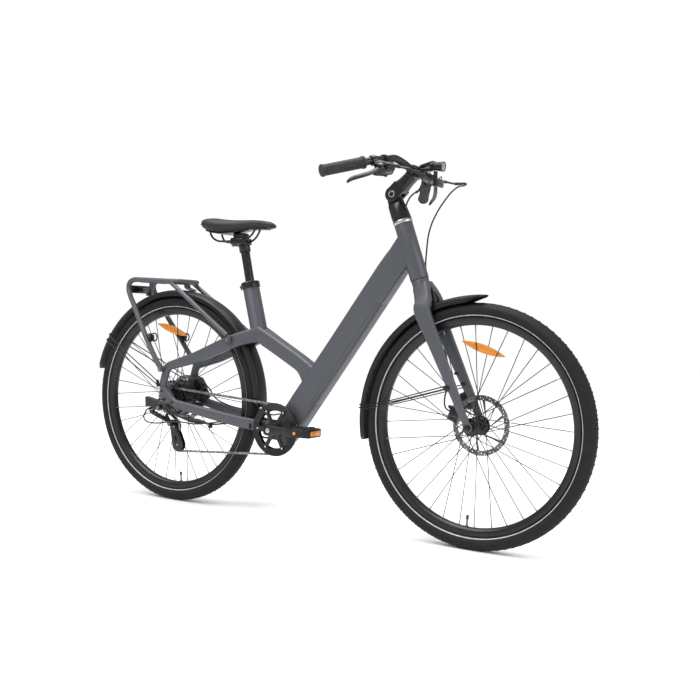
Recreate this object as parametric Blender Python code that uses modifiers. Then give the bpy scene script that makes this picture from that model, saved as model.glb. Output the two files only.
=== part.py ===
"""Electric city bicycle with a low frame, a battery in the down tube and a motor in the rear hub."""

import math

import bmesh
import bpy
from mathutils import Matrix, Vector

# Sizes in metres: x runs forward from the rear axle, y to the rider's left, z up from the ground

# Wheels
WHEELBASE = 1.150
TYRE_HEIGHT = 0.0435
TYRE_HALF_WIDTH = 0.0245
TREAD_HALF_WIDTH = 0.0120
RIM_OUTER_RADIUS = 0.3175
RIM_DEPTH = 0.0210
RIM_INNER_RADIUS = RIM_OUTER_RADIUS - RIM_DEPTH
TYRE_RADIUS = RIM_OUTER_RADIUS + TYRE_HEIGHT
RIM_HALF_WIDTH = 0.0135
RIM_LIP = 0.0017
RIM_WELL = 0.0065
WHEEL_FACETS = 40
SPOKES = 36
SPOKE_RADIUS = 0.0011
SPOKE_HUB_OFFSET = 0.0012
SPOKE_RIM_OFFSET = 0.0010
VALVE_RADIUS = 0.0033
VALVE_TIP_RADIUS = RIM_INNER_RADIUS - 0.0345
REFLECTOR_BOW = 0.2150
REFLECTOR_HALF = 0.0120
FRONT_VALVE_ANGLE = math.radians(-93)
REAR_VALVE_ANGLE = math.radians(-84)
GAP = 0.0003
FLAT_ANGLE = math.radians(0.2)
RUNNING_GAP = 0.0006

# Front hub and brake disc
FRONT_HUB_HALF = 0.0497
FRONT_AXLE_RADIUS = 0.0045
FRONT_FLANGE_RADIUS = 0.027
FRONT_RIGHT_FLANGE = -0.0300
FRONT_LEFT_FLANGE = 0.0260
FRONT_DISC_RADIUS = 0.090
FRONT_DISC_Y = 0.0401
DISC_THICKNESS = 0.0018
DISC_BAND = 0.0155
DISC_ARMS = 6
DISC_BORE = 0.0163

# Rear hub motor, axle and sprockets
REAR_DROPOUT_HALF = 0.0675
REAR_AXLE_RADIUS = 0.0060
MOTOR_RADIUS = 0.0565
REAR_FLANGE_RADIUS = 0.0630
REAR_RIGHT_FLANGE = -0.0220
REAR_LEFT_FLANGE = 0.0300
REAR_DISC_RADIUS = 0.080
REAR_DISC_Y = 0.0525
FREEHUB_RADIUS = 0.0145
SLEEVE_WALL = 0.0022
CHAIN_PITCH = 0.0127
CHAIN_LINKS = 114
CHAIN_LINE = -0.0430
CHAINRING_TEETH = 40
SPROCKET_TEETH = (28, 24, 20, 17, 15, 13, 11)
SPROCKET_IN_USE = 2
SPROCKET_SPACING = 0.0050
JOCKEY_TEETH = 11
TOOTH_THICKNESS = 0.0020
ROLLER_RADIUS = 0.0034
PLATE_HALF_HEIGHT = 0.0040
PLATE_INNER = 0.0018
PLATE_OUTER = 0.0036

# Cranks
BRACKET_X = 0.467
BRACKET_DROP = 0.067
BRACKET_Z = TYRE_RADIUS - BRACKET_DROP
BRACKET_HALF = 0.034
BRACKET_RADIUS = 0.0215
SPINDLE_RADIUS = 0.0085
CRANK_LENGTH = 0.171
CRANK_ANGLE = math.radians(5)
CRANK_Y = 0.0850
CRANK_HALF_THICKNESS = 0.0070
GUARD_RADIUS = 0.0865
GUARD_Y = 0.0495
GUARD_WINDOWS = 6
PEDAL_LENGTH = 0.094
PEDAL_WIDTH = 0.088
PEDAL_HEIGHT = 0.024

# Steering
HEAD_ANGLE = math.radians(69.5)
FORK_RAKE = 0.037
CROWN_CLEARANCE = 0.1066
FORK_LENGTH = TYRE_RADIUS + CROWN_CLEARANCE
HEAD_TUBE_LENGTH = 0.1785
HEAD_TUBE_RADIUS = 0.0268
HEAD_RING_HEIGHT = 0.0110
STEERER_RADIUS = 0.0143
STEM_PIVOT_HEIGHT = 0.098
FRONT_DROPOUT_HALF = 0.0500
FORK_LEG_Y = 0.0545

# Frame
DOWN_TUBE_JOIN = 0.11337
DOWN_TUBE_HALF_DEPTH = 0.0415
DOWN_TUBE_HALF_WIDTH = 0.0270
DOWN_TUBE_CORNER = 0.0100
DOWN_TUBE_OFFSET = 0.0200
TUBE_WALL = 0.0045
SEAT_ANGLE = math.radians(76.5)
SEAT_TUBE_TOP_X = 0.3149
SEAT_TUBE_TOP_Z = TYRE_RADIUS + 0.396
SEAT_TUBE_RADIUS = 0.0240
SEAT_POST_RADIUS = 0.0150
SEAT_POST_INSERTED = 0.100
SEAT_POST_SHOWN = 0.155
COLLAR_HEIGHT = 0.020
COLLAR_RADIUS = 0.0255
STRUT_HALF_DEPTH = 0.0250
STRUT_HALF_WIDTH = 0.0200
STRUT_FOOT = 0.2373
SEAT_TUBE_LENGTH = 0.155
DROPOUT_THICKNESS = 0.0075

# Battery, seen along the down tube from the bottom bracket end
BATTERY_START = 0.150
BATTERY_LENGTH = 0.400
BATTERY_COVER_DEPTH = 0.0150
BATTERY_PACK_DEPTH = 0.0520
BATTERY_PACK_HALF_WIDTH = 0.0200

# Mudguards and carrier
GUARD_CLEARANCE = 0.0240
MUDGUARD_HALF_WIDTH = 0.0295
MUDGUARD_DROP = 0.0130
MUDGUARD_SHEET = 0.0018
MUDGUARD_SHOULDER = 0.0020
REAR_GUARD_END = math.radians(167)
STAY_WIRE_RADIUS = 0.0020
CARRIER_HEIGHT = 2 * TYRE_RADIUS + 0.050
CARRIER_HALF_WIDTH = 0.0600
CARRIER_REAR = -0.178
CARRIER_FRONT = 0.118
CARRIER_TUBE_RADIUS = 0.0078

# Handlebar
BAR_RADIUS = 0.0112
GRIP_RADIUS = 0.0165
BAR_IN_GRIP = 0.1340
GRIP_END_WALL = 0.0055
STEM_REACH = 0.0690
STEM_RISE = 0.0650
CABLE_RADIUS = 0.0025
BRAKE_Y = 0.1750
SHIFTER_Y = 0.1290
BELL_Y = 0.1160
DISPLAY_Y = 0.0360
BUTTON_RADIUS = 0.0050
KNUCKLE_HALF = 0.0115
STEM_EYE_RADIUS = 0.0190
KICKSTAND_PIVOT = Vector((0.0880, 0.0985, TYRE_RADIUS - 0.0230))
KICKSTAND_HALF = 0.0085

COLLECTION = bpy.data.collections.new("Electric bicycle")


def clear_scene():
    for item in list(bpy.data.objects):
        bpy.data.objects.remove(item, do_unlink=True)
    bpy.context.scene.collection.children.link(COLLECTION)


def material(name, colour, roughness, metallic=0.0):
    made = bpy.data.materials.new(name)
    made.use_nodes = True
    shader = made.node_tree.nodes["Principled BSDF"]
    shader.inputs["Base Color"].default_value = (*colour, 1.0)
    shader.inputs["Roughness"].default_value = roughness
    shader.inputs["Metallic"].default_value = metallic
    made.diffuse_color = (*colour, 1.0)
    return made


PAINT = material("Satin grey paint", (0.118, 0.125, 0.142), 0.42, 0.35)
BLACK_METAL = material("Black anodised metal", (0.014, 0.014, 0.015), 0.38, 0.6)
BLACK_PLASTIC = material("Black plastic", (0.016, 0.016, 0.017), 0.5)
RUBBER = material("Black rubber", (0.020, 0.020, 0.021), 0.8)
TYRE_RUBBER = material("Tyre rubber", (0.028, 0.029, 0.031), 0.75)
SILVER = material("Silver metal", (0.55, 0.55, 0.55), 0.3, 1.0)
STEEL = material("Brake steel", (0.32, 0.32, 0.33), 0.35, 1.0)
SADDLE_COVER = material("Saddle cover", (0.022, 0.022, 0.023), 0.62)
CLEAR_LENS = material("Clear lens", (0.75, 0.77, 0.79), 0.12)
RED_LENS = material("Red lens", (0.20, 0.01, 0.01), 0.25)
ORANGE = material("Orange reflector", (0.85, 0.22, 0.01), 0.3)


# Making shapes


def add_object(name, mesh, finish=None):
    made = bpy.data.objects.new(name, mesh)
    COLLECTION.objects.link(made)
    if finish:
        mesh.materials.clear()
        mesh.materials.append(finish)
    return made


def baked(item):
    """The object with its modifiers or its curve turned into one plain mesh, its place in the mesh."""
    graph = bpy.context.evaluated_depsgraph_get()
    mesh = bpy.data.meshes.new_from_object(item.evaluated_get(graph))
    mesh.transform(item.matrix_world)
    shape = bmesh.new()
    shape.from_mesh(mesh)
    bmesh.ops.remove_doubles(shape, verts=shape.verts, dist=2e-6)
    bmesh.ops.recalc_face_normals(shape, faces=shape.faces)
    shape.to_mesh(mesh)
    shape.free()
    name = item.name
    bpy.data.objects.remove(item, do_unlink=True)
    return add_object(name, mesh)


def moved(item, matrix):
    item.data.transform(matrix)
    item.data.update()
    return item


def combined(target, tools, operation):
    for tool in tools:
        step = target.modifiers.new(operation.title(), "BOOLEAN")
        step.operation = operation
        step.solver = "EXACT"
        step.object = tool
        bpy.context.view_layer.update()
        target = baked(target)
        bpy.data.objects.remove(tool, do_unlink=True)
    return target


def united(target, *tools):
    return combined(target, tools, "UNION")


def cut(target, *tools):
    return combined(target, tools, "DIFFERENCE")


def gathered(items):
    """Shapes that don't meet, as one tool for a Boolean."""
    shape = bmesh.new()
    for item in items:
        shape.from_mesh(item.data)
        bpy.data.objects.remove(item, do_unlink=True)
    mesh = bpy.data.meshes.new("Group")
    shape.to_mesh(mesh)
    shape.free()
    return add_object("Group", mesh)


def bevelled(item, width, segments=1, angle=math.radians(35)):
    step = item.modifiers.new("Bevel", "BEVEL")
    step.width = width
    step.segments = segments
    step.limit_method = "ANGLE"
    step.angle_limit = angle
    bpy.context.view_layer.update()
    return baked(item)


def box(centre, size, turn=None, name="Box"):
    """A box of these full sizes, turned about its own centre."""
    shape = bmesh.new()
    bmesh.ops.create_cube(shape, size=1.0, matrix=Matrix.Diagonal((*size, 1.0)))
    mesh = bpy.data.meshes.new(name)
    shape.to_mesh(mesh)
    shape.free()
    if turn:
        mesh.transform(turn)
    mesh.transform(Matrix.Translation(centre))
    return add_object(name, mesh)


def rod(start, end, radius, sides=12, end_radius=None, name="Rod"):
    """A round bar, or a cone where the end radius differs."""
    start = Vector(start)
    along = Vector(end) - start
    shape = bmesh.new()
    bmesh.ops.create_cone(
        shape,
        cap_ends=True,
        segments=sides,
        radius1=radius,
        radius2=radius if end_radius is None else end_radius,
        depth=along.length,
    )
    mesh = bpy.data.meshes.new(name)
    shape.to_mesh(mesh)
    shape.free()
    turn = Vector((0, 0, 1)).rotation_difference(along).to_matrix().to_4x4()
    mesh.transform(Matrix.Translation(start + along / 2) @ turn)
    return add_object(name, mesh)


def cross_rod(x, z, y_from, y_to, radius, sides=16):
    """A round bar along y."""
    return rod((x, y_from, z), (x, y_to, z), radius, sides)


def smooth_route(points, steps):
    """Points along a Catmull-Rom curve through the given ones."""
    points = [Vector(p) for p in points]
    ends = [2 * points[0] - points[1], *points, 2 * points[-1] - points[-2]]
    route = []
    for a, b, c, d in zip(ends, ends[1:], ends[2:], ends[3:]):
        for step in range(steps):
            t = step / steps
            route.append(
                0.5 * (2 * b + (c - a) * t + (2 * a - 5 * b + 4 * c - d) * t * t)
                + 0.5 * (3 * b - 3 * c + d - a) * t**3
            )
    return [*route, points[-1]]


def tube(points, radius, steps=0, roundness=2, name="Tube", closed=False):
    """A tube along the points, or along a smooth curve through them where steps is set."""
    route = smooth_route(points, steps) if steps else [Vector(p) for p in points]
    curve = bpy.data.curves.new(name, "CURVE")
    curve.dimensions = "3D"
    curve.bevel_depth = radius
    curve.bevel_resolution = roundness
    curve.use_fill_caps = not closed
    spline = curve.splines.new("POLY")
    spline.points.add(len(route) - 1)
    for spot, place in zip(spline.points, route):
        spot.co = (*place, 1.0)
    spline.use_cyclic_u = closed
    bpy.context.view_layer.update()
    return baked(add_object(name, curve))


def plate(outline, y_from, y_to, holes=(), name="Plate"):
    """A flat piece whose outline and holes are given as x and z, between two values of y."""
    curve = bpy.data.curves.new(name, "CURVE")
    curve.dimensions = "2D"
    curve.fill_mode = "BOTH"
    curve.extrude = abs(y_to - y_from) / 2
    for ring in (outline, *holes):
        spline = curve.splines.new("POLY")
        spline.points.add(len(ring) - 1)
        for spot, (x, z) in zip(spline.points, ring):
            spot.co = (x, z, 0.0, 1.0)
        spline.use_cyclic_u = True
    item = add_object(name, curve)
    item.matrix_world = Matrix.Translation((0, (y_from + y_to) / 2, 0)) @ Matrix.Rotation(math.pi / 2, 4, "X")
    bpy.context.view_layer.update()
    return baked(item)


def turned(profile, steps, centre=(0, 0, 0), start=0.0, sweep=math.tau, closed=True, name="Turned"):
    """A profile of radius and y, swept about an axis along y through the centre."""
    mesh = bpy.data.meshes.new(name)
    spots = [(r * math.cos(start), r * math.sin(start), -y) for r, y in profile]
    edges = [(i, i + 1) for i in range(len(spots) - 1)]
    if closed:
        edges.append((len(spots) - 1, 0))
    mesh.from_pydata(spots, edges, [])
    item = add_object(name, mesh)
    screw = item.modifiers.new("Screw", "SCREW")
    screw.axis = "Z"
    screw.angle = sweep
    screw.steps = steps
    screw.render_steps = steps
    screw.use_merge_vertices = True
    screw.merge_threshold = 0.00001
    item.matrix_world = Matrix.Translation(centre) @ Matrix.Rotation(math.pi / 2, 4, "X")
    bpy.context.view_layer.update()
    return baked(item)


def section(centre, depth, width, corner, arc=1):
    """A rounded rectangle spanned by two half vectors, each corner an arc of the given number of steps."""
    corner = min(corner, 0.98 * depth.length, 0.98 * width.length)
    along, across = depth.normalized(), width.normalized()
    ring = []
    for quarter, (sx, sy) in enumerate(((1, 1), (-1, 1), (-1, -1), (1, -1))):
        middle = (
            centre
            + along * sx * (depth.length - corner)
            + across * sy * (width.length - corner)
        )
        for step in range(arc + 1):
            turn = math.pi / 2 * (quarter + step / arc)
            ring.append(middle + corner * (along * math.cos(turn) + across * math.sin(turn)))
    return ring


def loft(rings, closed=False, name="Loft"):
    """A skin through rings of as many points each, capped at both ends or joined end to start."""
    shape = bmesh.new()
    rows = [[shape.verts.new(p) for p in ring] for ring in rings]
    count = len(rows[0])
    pairs = list(zip(rows, rows[1:]))
    if closed:
        pairs.append((rows[-1], rows[0]))
    for first, second in pairs:
        for i in range(count):
            j = (i + 1) % count
            shape.faces.new((first[i], first[j], second[j], second[i]))
    if not closed:
        shape.faces.new(rows[0])
        shape.faces.new(rows[-1])
    bmesh.ops.recalc_face_normals(shape, faces=shape.faces)
    mesh = bpy.data.meshes.new(name)
    shape.to_mesh(mesh)
    shape.free()
    return add_object(name, mesh)


def limb(stations, corner, arc=1, name="Limb"):
    """A bent bar of rounded rectangular section. Each station is x, y, z, half depth and half width."""
    rings = []
    for i, (x, y, z, half_depth, half_width) in enumerate(stations):
        before = stations[max(i - 1, 0)]
        after = stations[min(i + 1, len(stations) - 1)]
        first = Vector((x - before[0], 0, z - before[2]))
        second = Vector((after[0] - x, 0, after[2] - z))
        along = first.normalized() + second.normalized()
        along.normalize()
        depth = Vector((along.z, 0, -along.x)) * half_depth
        rings.append(section(Vector((x, y, z)), depth, Vector((0, half_width, 0)), corner, arc))
    return loft(rings, name=name)


def mirrored(item):
    """A copy across the middle plane of the bicycle."""
    mesh = item.data.copy()
    mesh.transform(Matrix.Diagonal((1, -1, 1, 1)))
    mesh.flip_normals()
    return add_object(item.name, mesh)


def cleaned(item):
    """The mesh without the spare corners and edges that joins and cuts leave on flat faces."""
    shape = bmesh.new()
    shape.from_mesh(item.data)
    bmesh.ops.dissolve_limit(shape, angle_limit=FLAT_ANGLE, verts=shape.verts, edges=shape.edges)
    bmesh.ops.triangulate(shape, faces=[f for f in shape.faces if len(f.verts) > 4])
    shape.to_mesh(item.data)
    shape.free()


def named(item, name, finish):
    cleaned(item)
    item.name = name
    item.data.name = name
    item.data.materials.clear()
    item.data.materials.append(finish)
    for face in item.data.polygons:
        face.use_smooth = True
    item.data.set_sharp_from_angle(angle=math.radians(32))
    return item


def arc_points(centre, radius, start, end, count):
    """Points on an arc, as x and z."""
    return [
        (
            centre[0] + radius * math.cos(start + (end - start) * i / (count - 1)),
            centre[1] + radius * math.sin(start + (end - start) * i / (count - 1)),
        )
        for i in range(count)
    ]


def circle(centre, radius, count, start=0.0):
    return arc_points(centre, radius, start, start + math.tau, count + 1)[:-1]


def around(radius, sides):
    """The corner radius of a many-sided hole that a round bar of this radius just fits in."""
    return radius / math.cos(math.pi / sides)


# Places that the pieces share

REAR_AXLE = Vector((0, 0, TYRE_RADIUS))
FRONT_AXLE = Vector((WHEELBASE, 0, TYRE_RADIUS))
BRACKET = Vector((BRACKET_X, 0, BRACKET_Z))
STEER_UP = Vector((-math.cos(HEAD_ANGLE), 0, math.sin(HEAD_ANGLE)))
STEER_AHEAD = Vector((math.sin(HEAD_ANGLE), 0, math.cos(HEAD_ANGLE)))
STEER_FOOT = FRONT_AXLE - FORK_RAKE * STEER_AHEAD
CROWN = STEER_FOOT + FORK_LENGTH * STEER_UP
HEAD_TOP = CROWN + HEAD_TUBE_LENGTH * STEER_UP
STEM_PIVOT = HEAD_TOP + STEM_PIVOT_HEIGHT * STEER_UP
CLAMP = STEM_PIVOT + Vector((STEM_REACH, 0, STEM_RISE))
TO_JOIN = CROWN + DOWN_TUBE_JOIN * STEER_UP - BRACKET
DOWN_TUBE_ANGLE = math.atan2(TO_JOIN.z, TO_JOIN.x) + math.asin(DOWN_TUBE_OFFSET / TO_JOIN.length)
TUBE_UP = Vector((math.cos(DOWN_TUBE_ANGLE), 0, math.sin(DOWN_TUBE_ANGLE)))
TUBE_OUT = Vector((math.sin(DOWN_TUBE_ANGLE), 0, -math.cos(DOWN_TUBE_ANGLE)))
TUBE_FOOT = BRACKET + DOWN_TUBE_OFFSET * TUBE_OUT
SEAT_UP = Vector((-math.cos(SEAT_ANGLE), 0, math.sin(SEAT_ANGLE)))
SEAT_TUBE_TOP = Vector((SEAT_TUBE_TOP_X, 0, SEAT_TUBE_TOP_Z))
MUDGUARD_RADIUS = TYRE_RADIUS + GUARD_CLEARANCE
REAR_REACH = -(MUDGUARD_RADIUS - MUDGUARD_SHOULDER) * math.cos(REAR_GUARD_END)
REAR_X = -(WHEELBASE + TYRE_RADIUS - REAR_REACH) / 2
GRIP_END = CLAMP + Vector((-0.1328, 0.3145, -0.0360))
GRIP_START = CLAMP + Vector((-0.0618, 0.2000, 0.0020))
GRIP_ALONG = (GRIP_END - GRIP_START).normalized()
LEFT_CABLE_STOP = CLAMP + Vector((0.0642, 0.1460, -0.0175))
CABLE_ENTRY = CLAMP + Vector((-0.0253, -0.0060, -0.1000))


def by_clamp(ahead, left, above):
    """The place this far ahead of, left of and above the middle of the handlebar's clamp."""
    return CLAMP + Vector((ahead, left, above))


def by_front(ahead, left, above):
    """The place this far ahead of, left of and above the front axle's middle."""
    return FRONT_AXLE + Vector((ahead, left, above))


def by_rear(ahead, left, above):
    """The place this far ahead of, left of and above the rear axle's middle."""
    return REAR_AXLE + Vector((ahead, left, above))


def on_steerer(height):
    """The point of the steering axis this far above the fork's crown."""
    return CROWN + height * STEER_UP


def along_tube(distance, out=0.0):
    """A point of the down tube, this far up from its foot and this far out of its middle."""
    return TUBE_FOOT + distance * TUBE_UP + out * TUBE_OUT


def front_points(*offsets):
    """Places in the side view, each this far ahead of and above the front axle."""
    return [(FRONT_AXLE.x + x, FRONT_AXLE.z + z) for x, z in offsets]


def head_meeting():
    """How far up the down tube its middle line meets the steering axis."""
    to_crown = CROWN - TUBE_FOOT
    return (to_crown.x * STEER_AHEAD.x + to_crown.z * STEER_AHEAD.z) / TUBE_UP.dot(STEER_AHEAD)


# Wheels


def make_rim(name, axle, valve_angle):
    r0, r1, half = RIM_INNER_RADIUS, RIM_OUTER_RADIUS, RIM_HALF_WIDTH
    side = [(r0, half * 0.7), (r1, half), (r1 - RIM_WELL, half - RIM_LIP - 0.0020)]
    profile = side + [(r, -y) for r, y in reversed(side)]
    step = math.tau / WHEEL_FACETS
    rim = turned(profile, WHEEL_FACETS, axle, step / 2)
    way = Vector((math.cos(valve_angle), 0, math.sin(valve_angle)))
    hole = rod(axle + way * (r0 - 0.010), axle + way * (r1 + 0.010), VALVE_RADIUS + RUNNING_GAP, 8)
    return named(cut(rim, hole), name, BLACK_METAL)


def make_tyre(name, axle, valve_angle):
    """The tyre with the tube that fills it, and the valve that passes through the rim."""
    step = math.tau / WHEEL_FACETS
    flat = 1 / math.cos(step / 2)
    crown = TYRE_RADIUS * flat
    seat = RIM_OUTER_RADIUS - RIM_WELL
    bead = RIM_HALF_WIDTH - RIM_LIP - 0.0015
    bulge = seat + 0.45 * (TYRE_RADIUS - seat)
    side = [
        (seat + 0.0012, bead - 0.0012),
        (bulge, TYRE_HALF_WIDTH),
        (crown - 0.0065, TYRE_HALF_WIDTH - 0.0045),
        (crown, TREAD_HALF_WIDTH),
    ]
    profile = side + [(r, -y) for r, y in reversed(side)]
    tyre = turned(profile, WHEEL_FACETS, axle, step / 2)
    way = Vector((math.cos(valve_angle), 0, math.sin(valve_angle)))
    stem = rod(axle + way * VALVE_TIP_RADIUS, axle + way * bulge, VALVE_RADIUS, 8)
    return named(united(tyre, stem), name, TYRE_RUBBER)


def spokes(axle, flanges, hole_radius, crossings, start):
    """Laced spokes, from both flanges to just inside the rim."""
    made = []
    step = math.tau / SPOKES
    for i in range(SPOKES):
        rim_angle = start + i * step
        leads = 1 if (i // 2) % 2 else -1
        hub_angle = rim_angle - leads * crossings * 2 * step
        flange = flanges[i % 2]
        rim_y = (0.0040 if flange > 0 else -0.0040) + leads * SPOKE_RIM_OFFSET
        hub_y = flange + leads * SPOKE_HUB_OFFSET
        hub = Vector((hole_radius * math.cos(hub_angle), hub_y, hole_radius * math.sin(hub_angle)))
        reach = RIM_INNER_RADIUS - RUNNING_GAP - 0.0008
        end = Vector((reach * math.cos(rim_angle), rim_y, reach * math.sin(rim_angle)))
        made.append(rod(axle + hub, axle + end, SPOKE_RADIUS, 3))
    return gathered(made)


def make_front_hub():
    bore = FRONT_AXLE_RADIUS + RUNNING_GAP
    edge = FRONT_FLANGE_RADIUS
    seat = FRONT_DISC_Y - DISC_THICKNESS / 2 - GAP
    profile = [
        (bore, -FRONT_HUB_HALF),
        (0.0115, -FRONT_HUB_HALF),
        (0.0125, FRONT_RIGHT_FLANGE - 0.003),
        (edge, FRONT_RIGHT_FLANGE - 0.0015),
        (edge, FRONT_RIGHT_FLANGE + 0.0015),
        (0.0145, FRONT_RIGHT_FLANGE + 0.0045),
        (0.0145, FRONT_LEFT_FLANGE - 0.0045),
        (edge, FRONT_LEFT_FLANGE - 0.0015),
        (edge, FRONT_LEFT_FLANGE + 0.0015),
        (0.0215, seat),
        (DISC_BORE - GAP, seat),
        (DISC_BORE - GAP, FRONT_DISC_Y + 0.0030),
        (0.0105, FRONT_HUB_HALF),
        (bore, FRONT_HUB_HALF),
    ]
    hub = turned(profile, 15, FRONT_AXLE)
    flanges = (FRONT_RIGHT_FLANGE, FRONT_LEFT_FLANGE)
    hub = united(hub, spokes(FRONT_AXLE, flanges, edge - 0.0025, 3, math.radians(-88)))
    return named(hub, "front_hub", BLACK_METAL)


def make_motor_hub():
    bore = REAR_AXLE_RADIUS + RUNNING_GAP
    edge, shell = REAR_FLANGE_RADIUS, MOTOR_RADIUS
    seat = REAR_DISC_Y - DISC_THICKNESS / 2 - GAP
    profile = [
        (bore, -REAR_DROPOUT_HALF + 0.0035),
        (FREEHUB_RADIUS, -REAR_DROPOUT_HALF + 0.0035),
        (FREEHUB_RADIUS, REAR_RIGHT_FLANGE - 0.0055),
        (edge, REAR_RIGHT_FLANGE - 0.0018),
        (edge, REAR_RIGHT_FLANGE + 0.0018),
        (shell, REAR_RIGHT_FLANGE + 0.0030),
        (shell, REAR_LEFT_FLANGE - 0.0030),
        (edge, REAR_LEFT_FLANGE - 0.0018),
        (edge, REAR_LEFT_FLANGE + 0.0018),
        (0.0300, REAR_LEFT_FLANGE + 0.0110),
        (0.0215, seat),
        (DISC_BORE - GAP, seat),
        (DISC_BORE - GAP, REAR_DISC_Y + 0.0030),
        (0.0110, REAR_DROPOUT_HALF - 0.0010),
        (bore, REAR_DROPOUT_HALF - 0.0010),
    ]
    hub = turned(profile, 20, REAR_AXLE)
    flanges = (REAR_RIGHT_FLANGE, REAR_LEFT_FLANGE)
    hub = united(hub, spokes(REAR_AXLE, flanges, edge - 0.0030, 1, math.radians(-89)))
    return named(hub, "rear_hub_motor", BLACK_METAL)


def make_disc(name, axle, y, radius):
    """A brake disc: a braking band on swept arms."""
    rings = []
    for i in range(DISC_ARMS):
        start = i * math.tau / DISC_ARMS
        end = start + 0.74 * math.tau / DISC_ARMS
        outer = arc_points((axle.x, axle.z), radius - DISC_BAND, start + 0.5, end + 0.5, 4)
        inner = arc_points((axle.x, axle.z), 0.0290, end + 0.05, start + 0.02, 2)
        rings.append(outer + inner)
    rings.append(circle((axle.x, axle.z), around(DISC_BORE, 12), 12))
    half = DISC_THICKNESS / 2
    disc = plate(circle((axle.x, axle.z), radius, 30), y - half, y + half, rings)
    return named(disc, name, STEEL)


def make_wheel_reflector(name, axle, angle, lean):
    """A long orange reflector held on two spokes inside the wheel."""
    middle = axle + Vector((math.cos(angle), 0, math.sin(angle))) * 0.228
    outline = arc_points((0, -REFLECTOR_BOW), REFLECTOR_BOW + REFLECTOR_HALF, math.radians(72), math.radians(108), 5)
    outline += [(-x, -z) for x, z in outline]
    lens = plate(outline, -0.0060, 0.0060)
    turn = Matrix.Translation(middle) @ Matrix.Rotation(lean, 4, "Y")
    lens = moved(lens, turn)
    return named(lens, name, ORANGE)


# Chain, sprockets and rear derailleur


def pitch_radius(teeth):
    """The radius on which a sprocket carries the chain's pins."""
    return teeth * CHAIN_PITCH / math.tau


CAGE_PIVOT = Vector((0.0270, 0, 0.2780))
CAGE_TO_UPPER = Vector((0.0070, 0, -0.0110))
CAGE_TO_LOWER = Vector((0.0250, 0, -0.0740))


def drive_circles(cage_turn):
    """Each wheel that the chain runs on: its middle as x and z, radius, and 1 where the chain runs clockwise."""
    turn = Matrix.Rotation(cage_turn, 4, "Y")
    upper = CAGE_PIVOT + turn @ CAGE_TO_UPPER
    lower = CAGE_PIVOT + turn @ CAGE_TO_LOWER
    ring = pitch_radius(CHAINRING_TEETH)
    sprocket = pitch_radius(SPROCKET_TEETH[SPROCKET_IN_USE])
    jockey = pitch_radius(JOCKEY_TEETH)
    return [
        (Vector((BRACKET.x, BRACKET.z)), ring, 1),
        (Vector((lower.x, lower.z)), jockey, 1),
        (Vector((upper.x, upper.z)), jockey, -1),
        (Vector((REAR_AXLE.x, REAR_AXLE.z)), sprocket, 1),
    ]


def chain_course(cage_turn):
    """The chain's straight runs and the arcs between them, and its whole length."""
    wheels = drive_circles(cage_turn)
    headings = []
    runs = []
    for (c1, r1, s1), (c2, r2, s2) in zip(wheels, wheels[1:] + wheels[:1]):
        across = c2 - c1
        swing = s2 * r2 - s1 * r1
        heading = math.atan2(across.y, across.x) + math.asin(swing / across.length)
        left = Vector((-math.sin(heading), math.cos(heading)))
        headings.append(heading)
        runs.append((c1 + s1 * r1 * left, c2 + s2 * r2 * left))
    length = 0.0
    course = []
    for i, (centre, radius, way) in enumerate(wheels):
        turn = (way * (headings[i - 1] - headings[i])) % math.tau
        start = headings[i - 1] + way * math.pi / 2
        course.append((centre, radius, way, start, turn, runs[i]))
        length += radius * turn + (runs[i][1] - runs[i][0]).length
    return course, length


def taut_cage_turn():
    """The turn of the derailleur cage at which the chain's links just fill its course."""
    target = CHAIN_LINKS * CHAIN_PITCH
    low, high = math.radians(-75), math.radians(75)
    for _ in range(60):
        middle = (low + high) / 2
        if (chain_course(low)[1] - target) * (chain_course(middle)[1] - target) <= 0:
            high = middle
        else:
            low = middle
    return (low + high) / 2


CAGE_TURN = taut_cage_turn()
COURSE, COURSE_LENGTH = chain_course(CAGE_TURN)


def course_stretches():
    """Each stretch of the course in turn: where it starts along the chain, its length and its point function."""
    found = []
    travelled = 0.0
    for centre, radius, way, start, turn, run in COURSE:

        def on_arc(s, c=centre, r=radius, w=way, a=start):
            angle = a - w * s / r
            return c + r * Vector((math.cos(angle), math.sin(angle)))

        def on_run(s, a=run[0], b=run[1]):
            return a + (b - a).normalized() * s

        found.append((travelled, radius * turn, on_arc))
        travelled += radius * turn
        found.append((travelled, (run[1] - run[0]).length, on_run))
        travelled += (run[1] - run[0]).length
    return found


def chain_point(distance):
    """The place of the chain's middle line this far along its course, as x and z."""
    distance %= COURSE_LENGTH
    for start, length, point in reversed(course_stretches()):
        if distance >= start - 1e-9:
            return point(distance - start)
    return course_stretches()[0][2](distance)


def valley_angle(wheel):
    """The angle at which a chain pin sits in this wheel, with its teeth between the pins."""
    centre, radius, way, start, turn, _ = COURSE[wheel]
    travelled = sum(r * t + (run[1] - run[0]).length for _, r, _, _, t, run in COURSE[:wheel])
    first = math.ceil(travelled / CHAIN_PITCH) * CHAIN_PITCH - travelled
    return start - way * first / radius


def toothed(teeth, centre, valley, plain=False):
    """A sprocket's outline with valleys for the rollers, or only with a corner at each tooth."""
    radius = pitch_radius(teeth)
    root, tip = radius - ROLLER_RADIUS - 0.0005, radius + 0.0030
    step = math.tau / teeth
    floor = 0.0022 / root
    ring = []
    for i in range(teeth):
        angle = valley + i * step
        if plain:
            spots = [(tip, angle + step / 2)]
        else:
            spots = [(root, angle - floor), (root, angle + floor), (tip, angle + step / 2)]
        ring += [(centre.x + r * math.cos(a), centre.z + r * math.sin(a)) for r, a in spots]
    return ring


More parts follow.
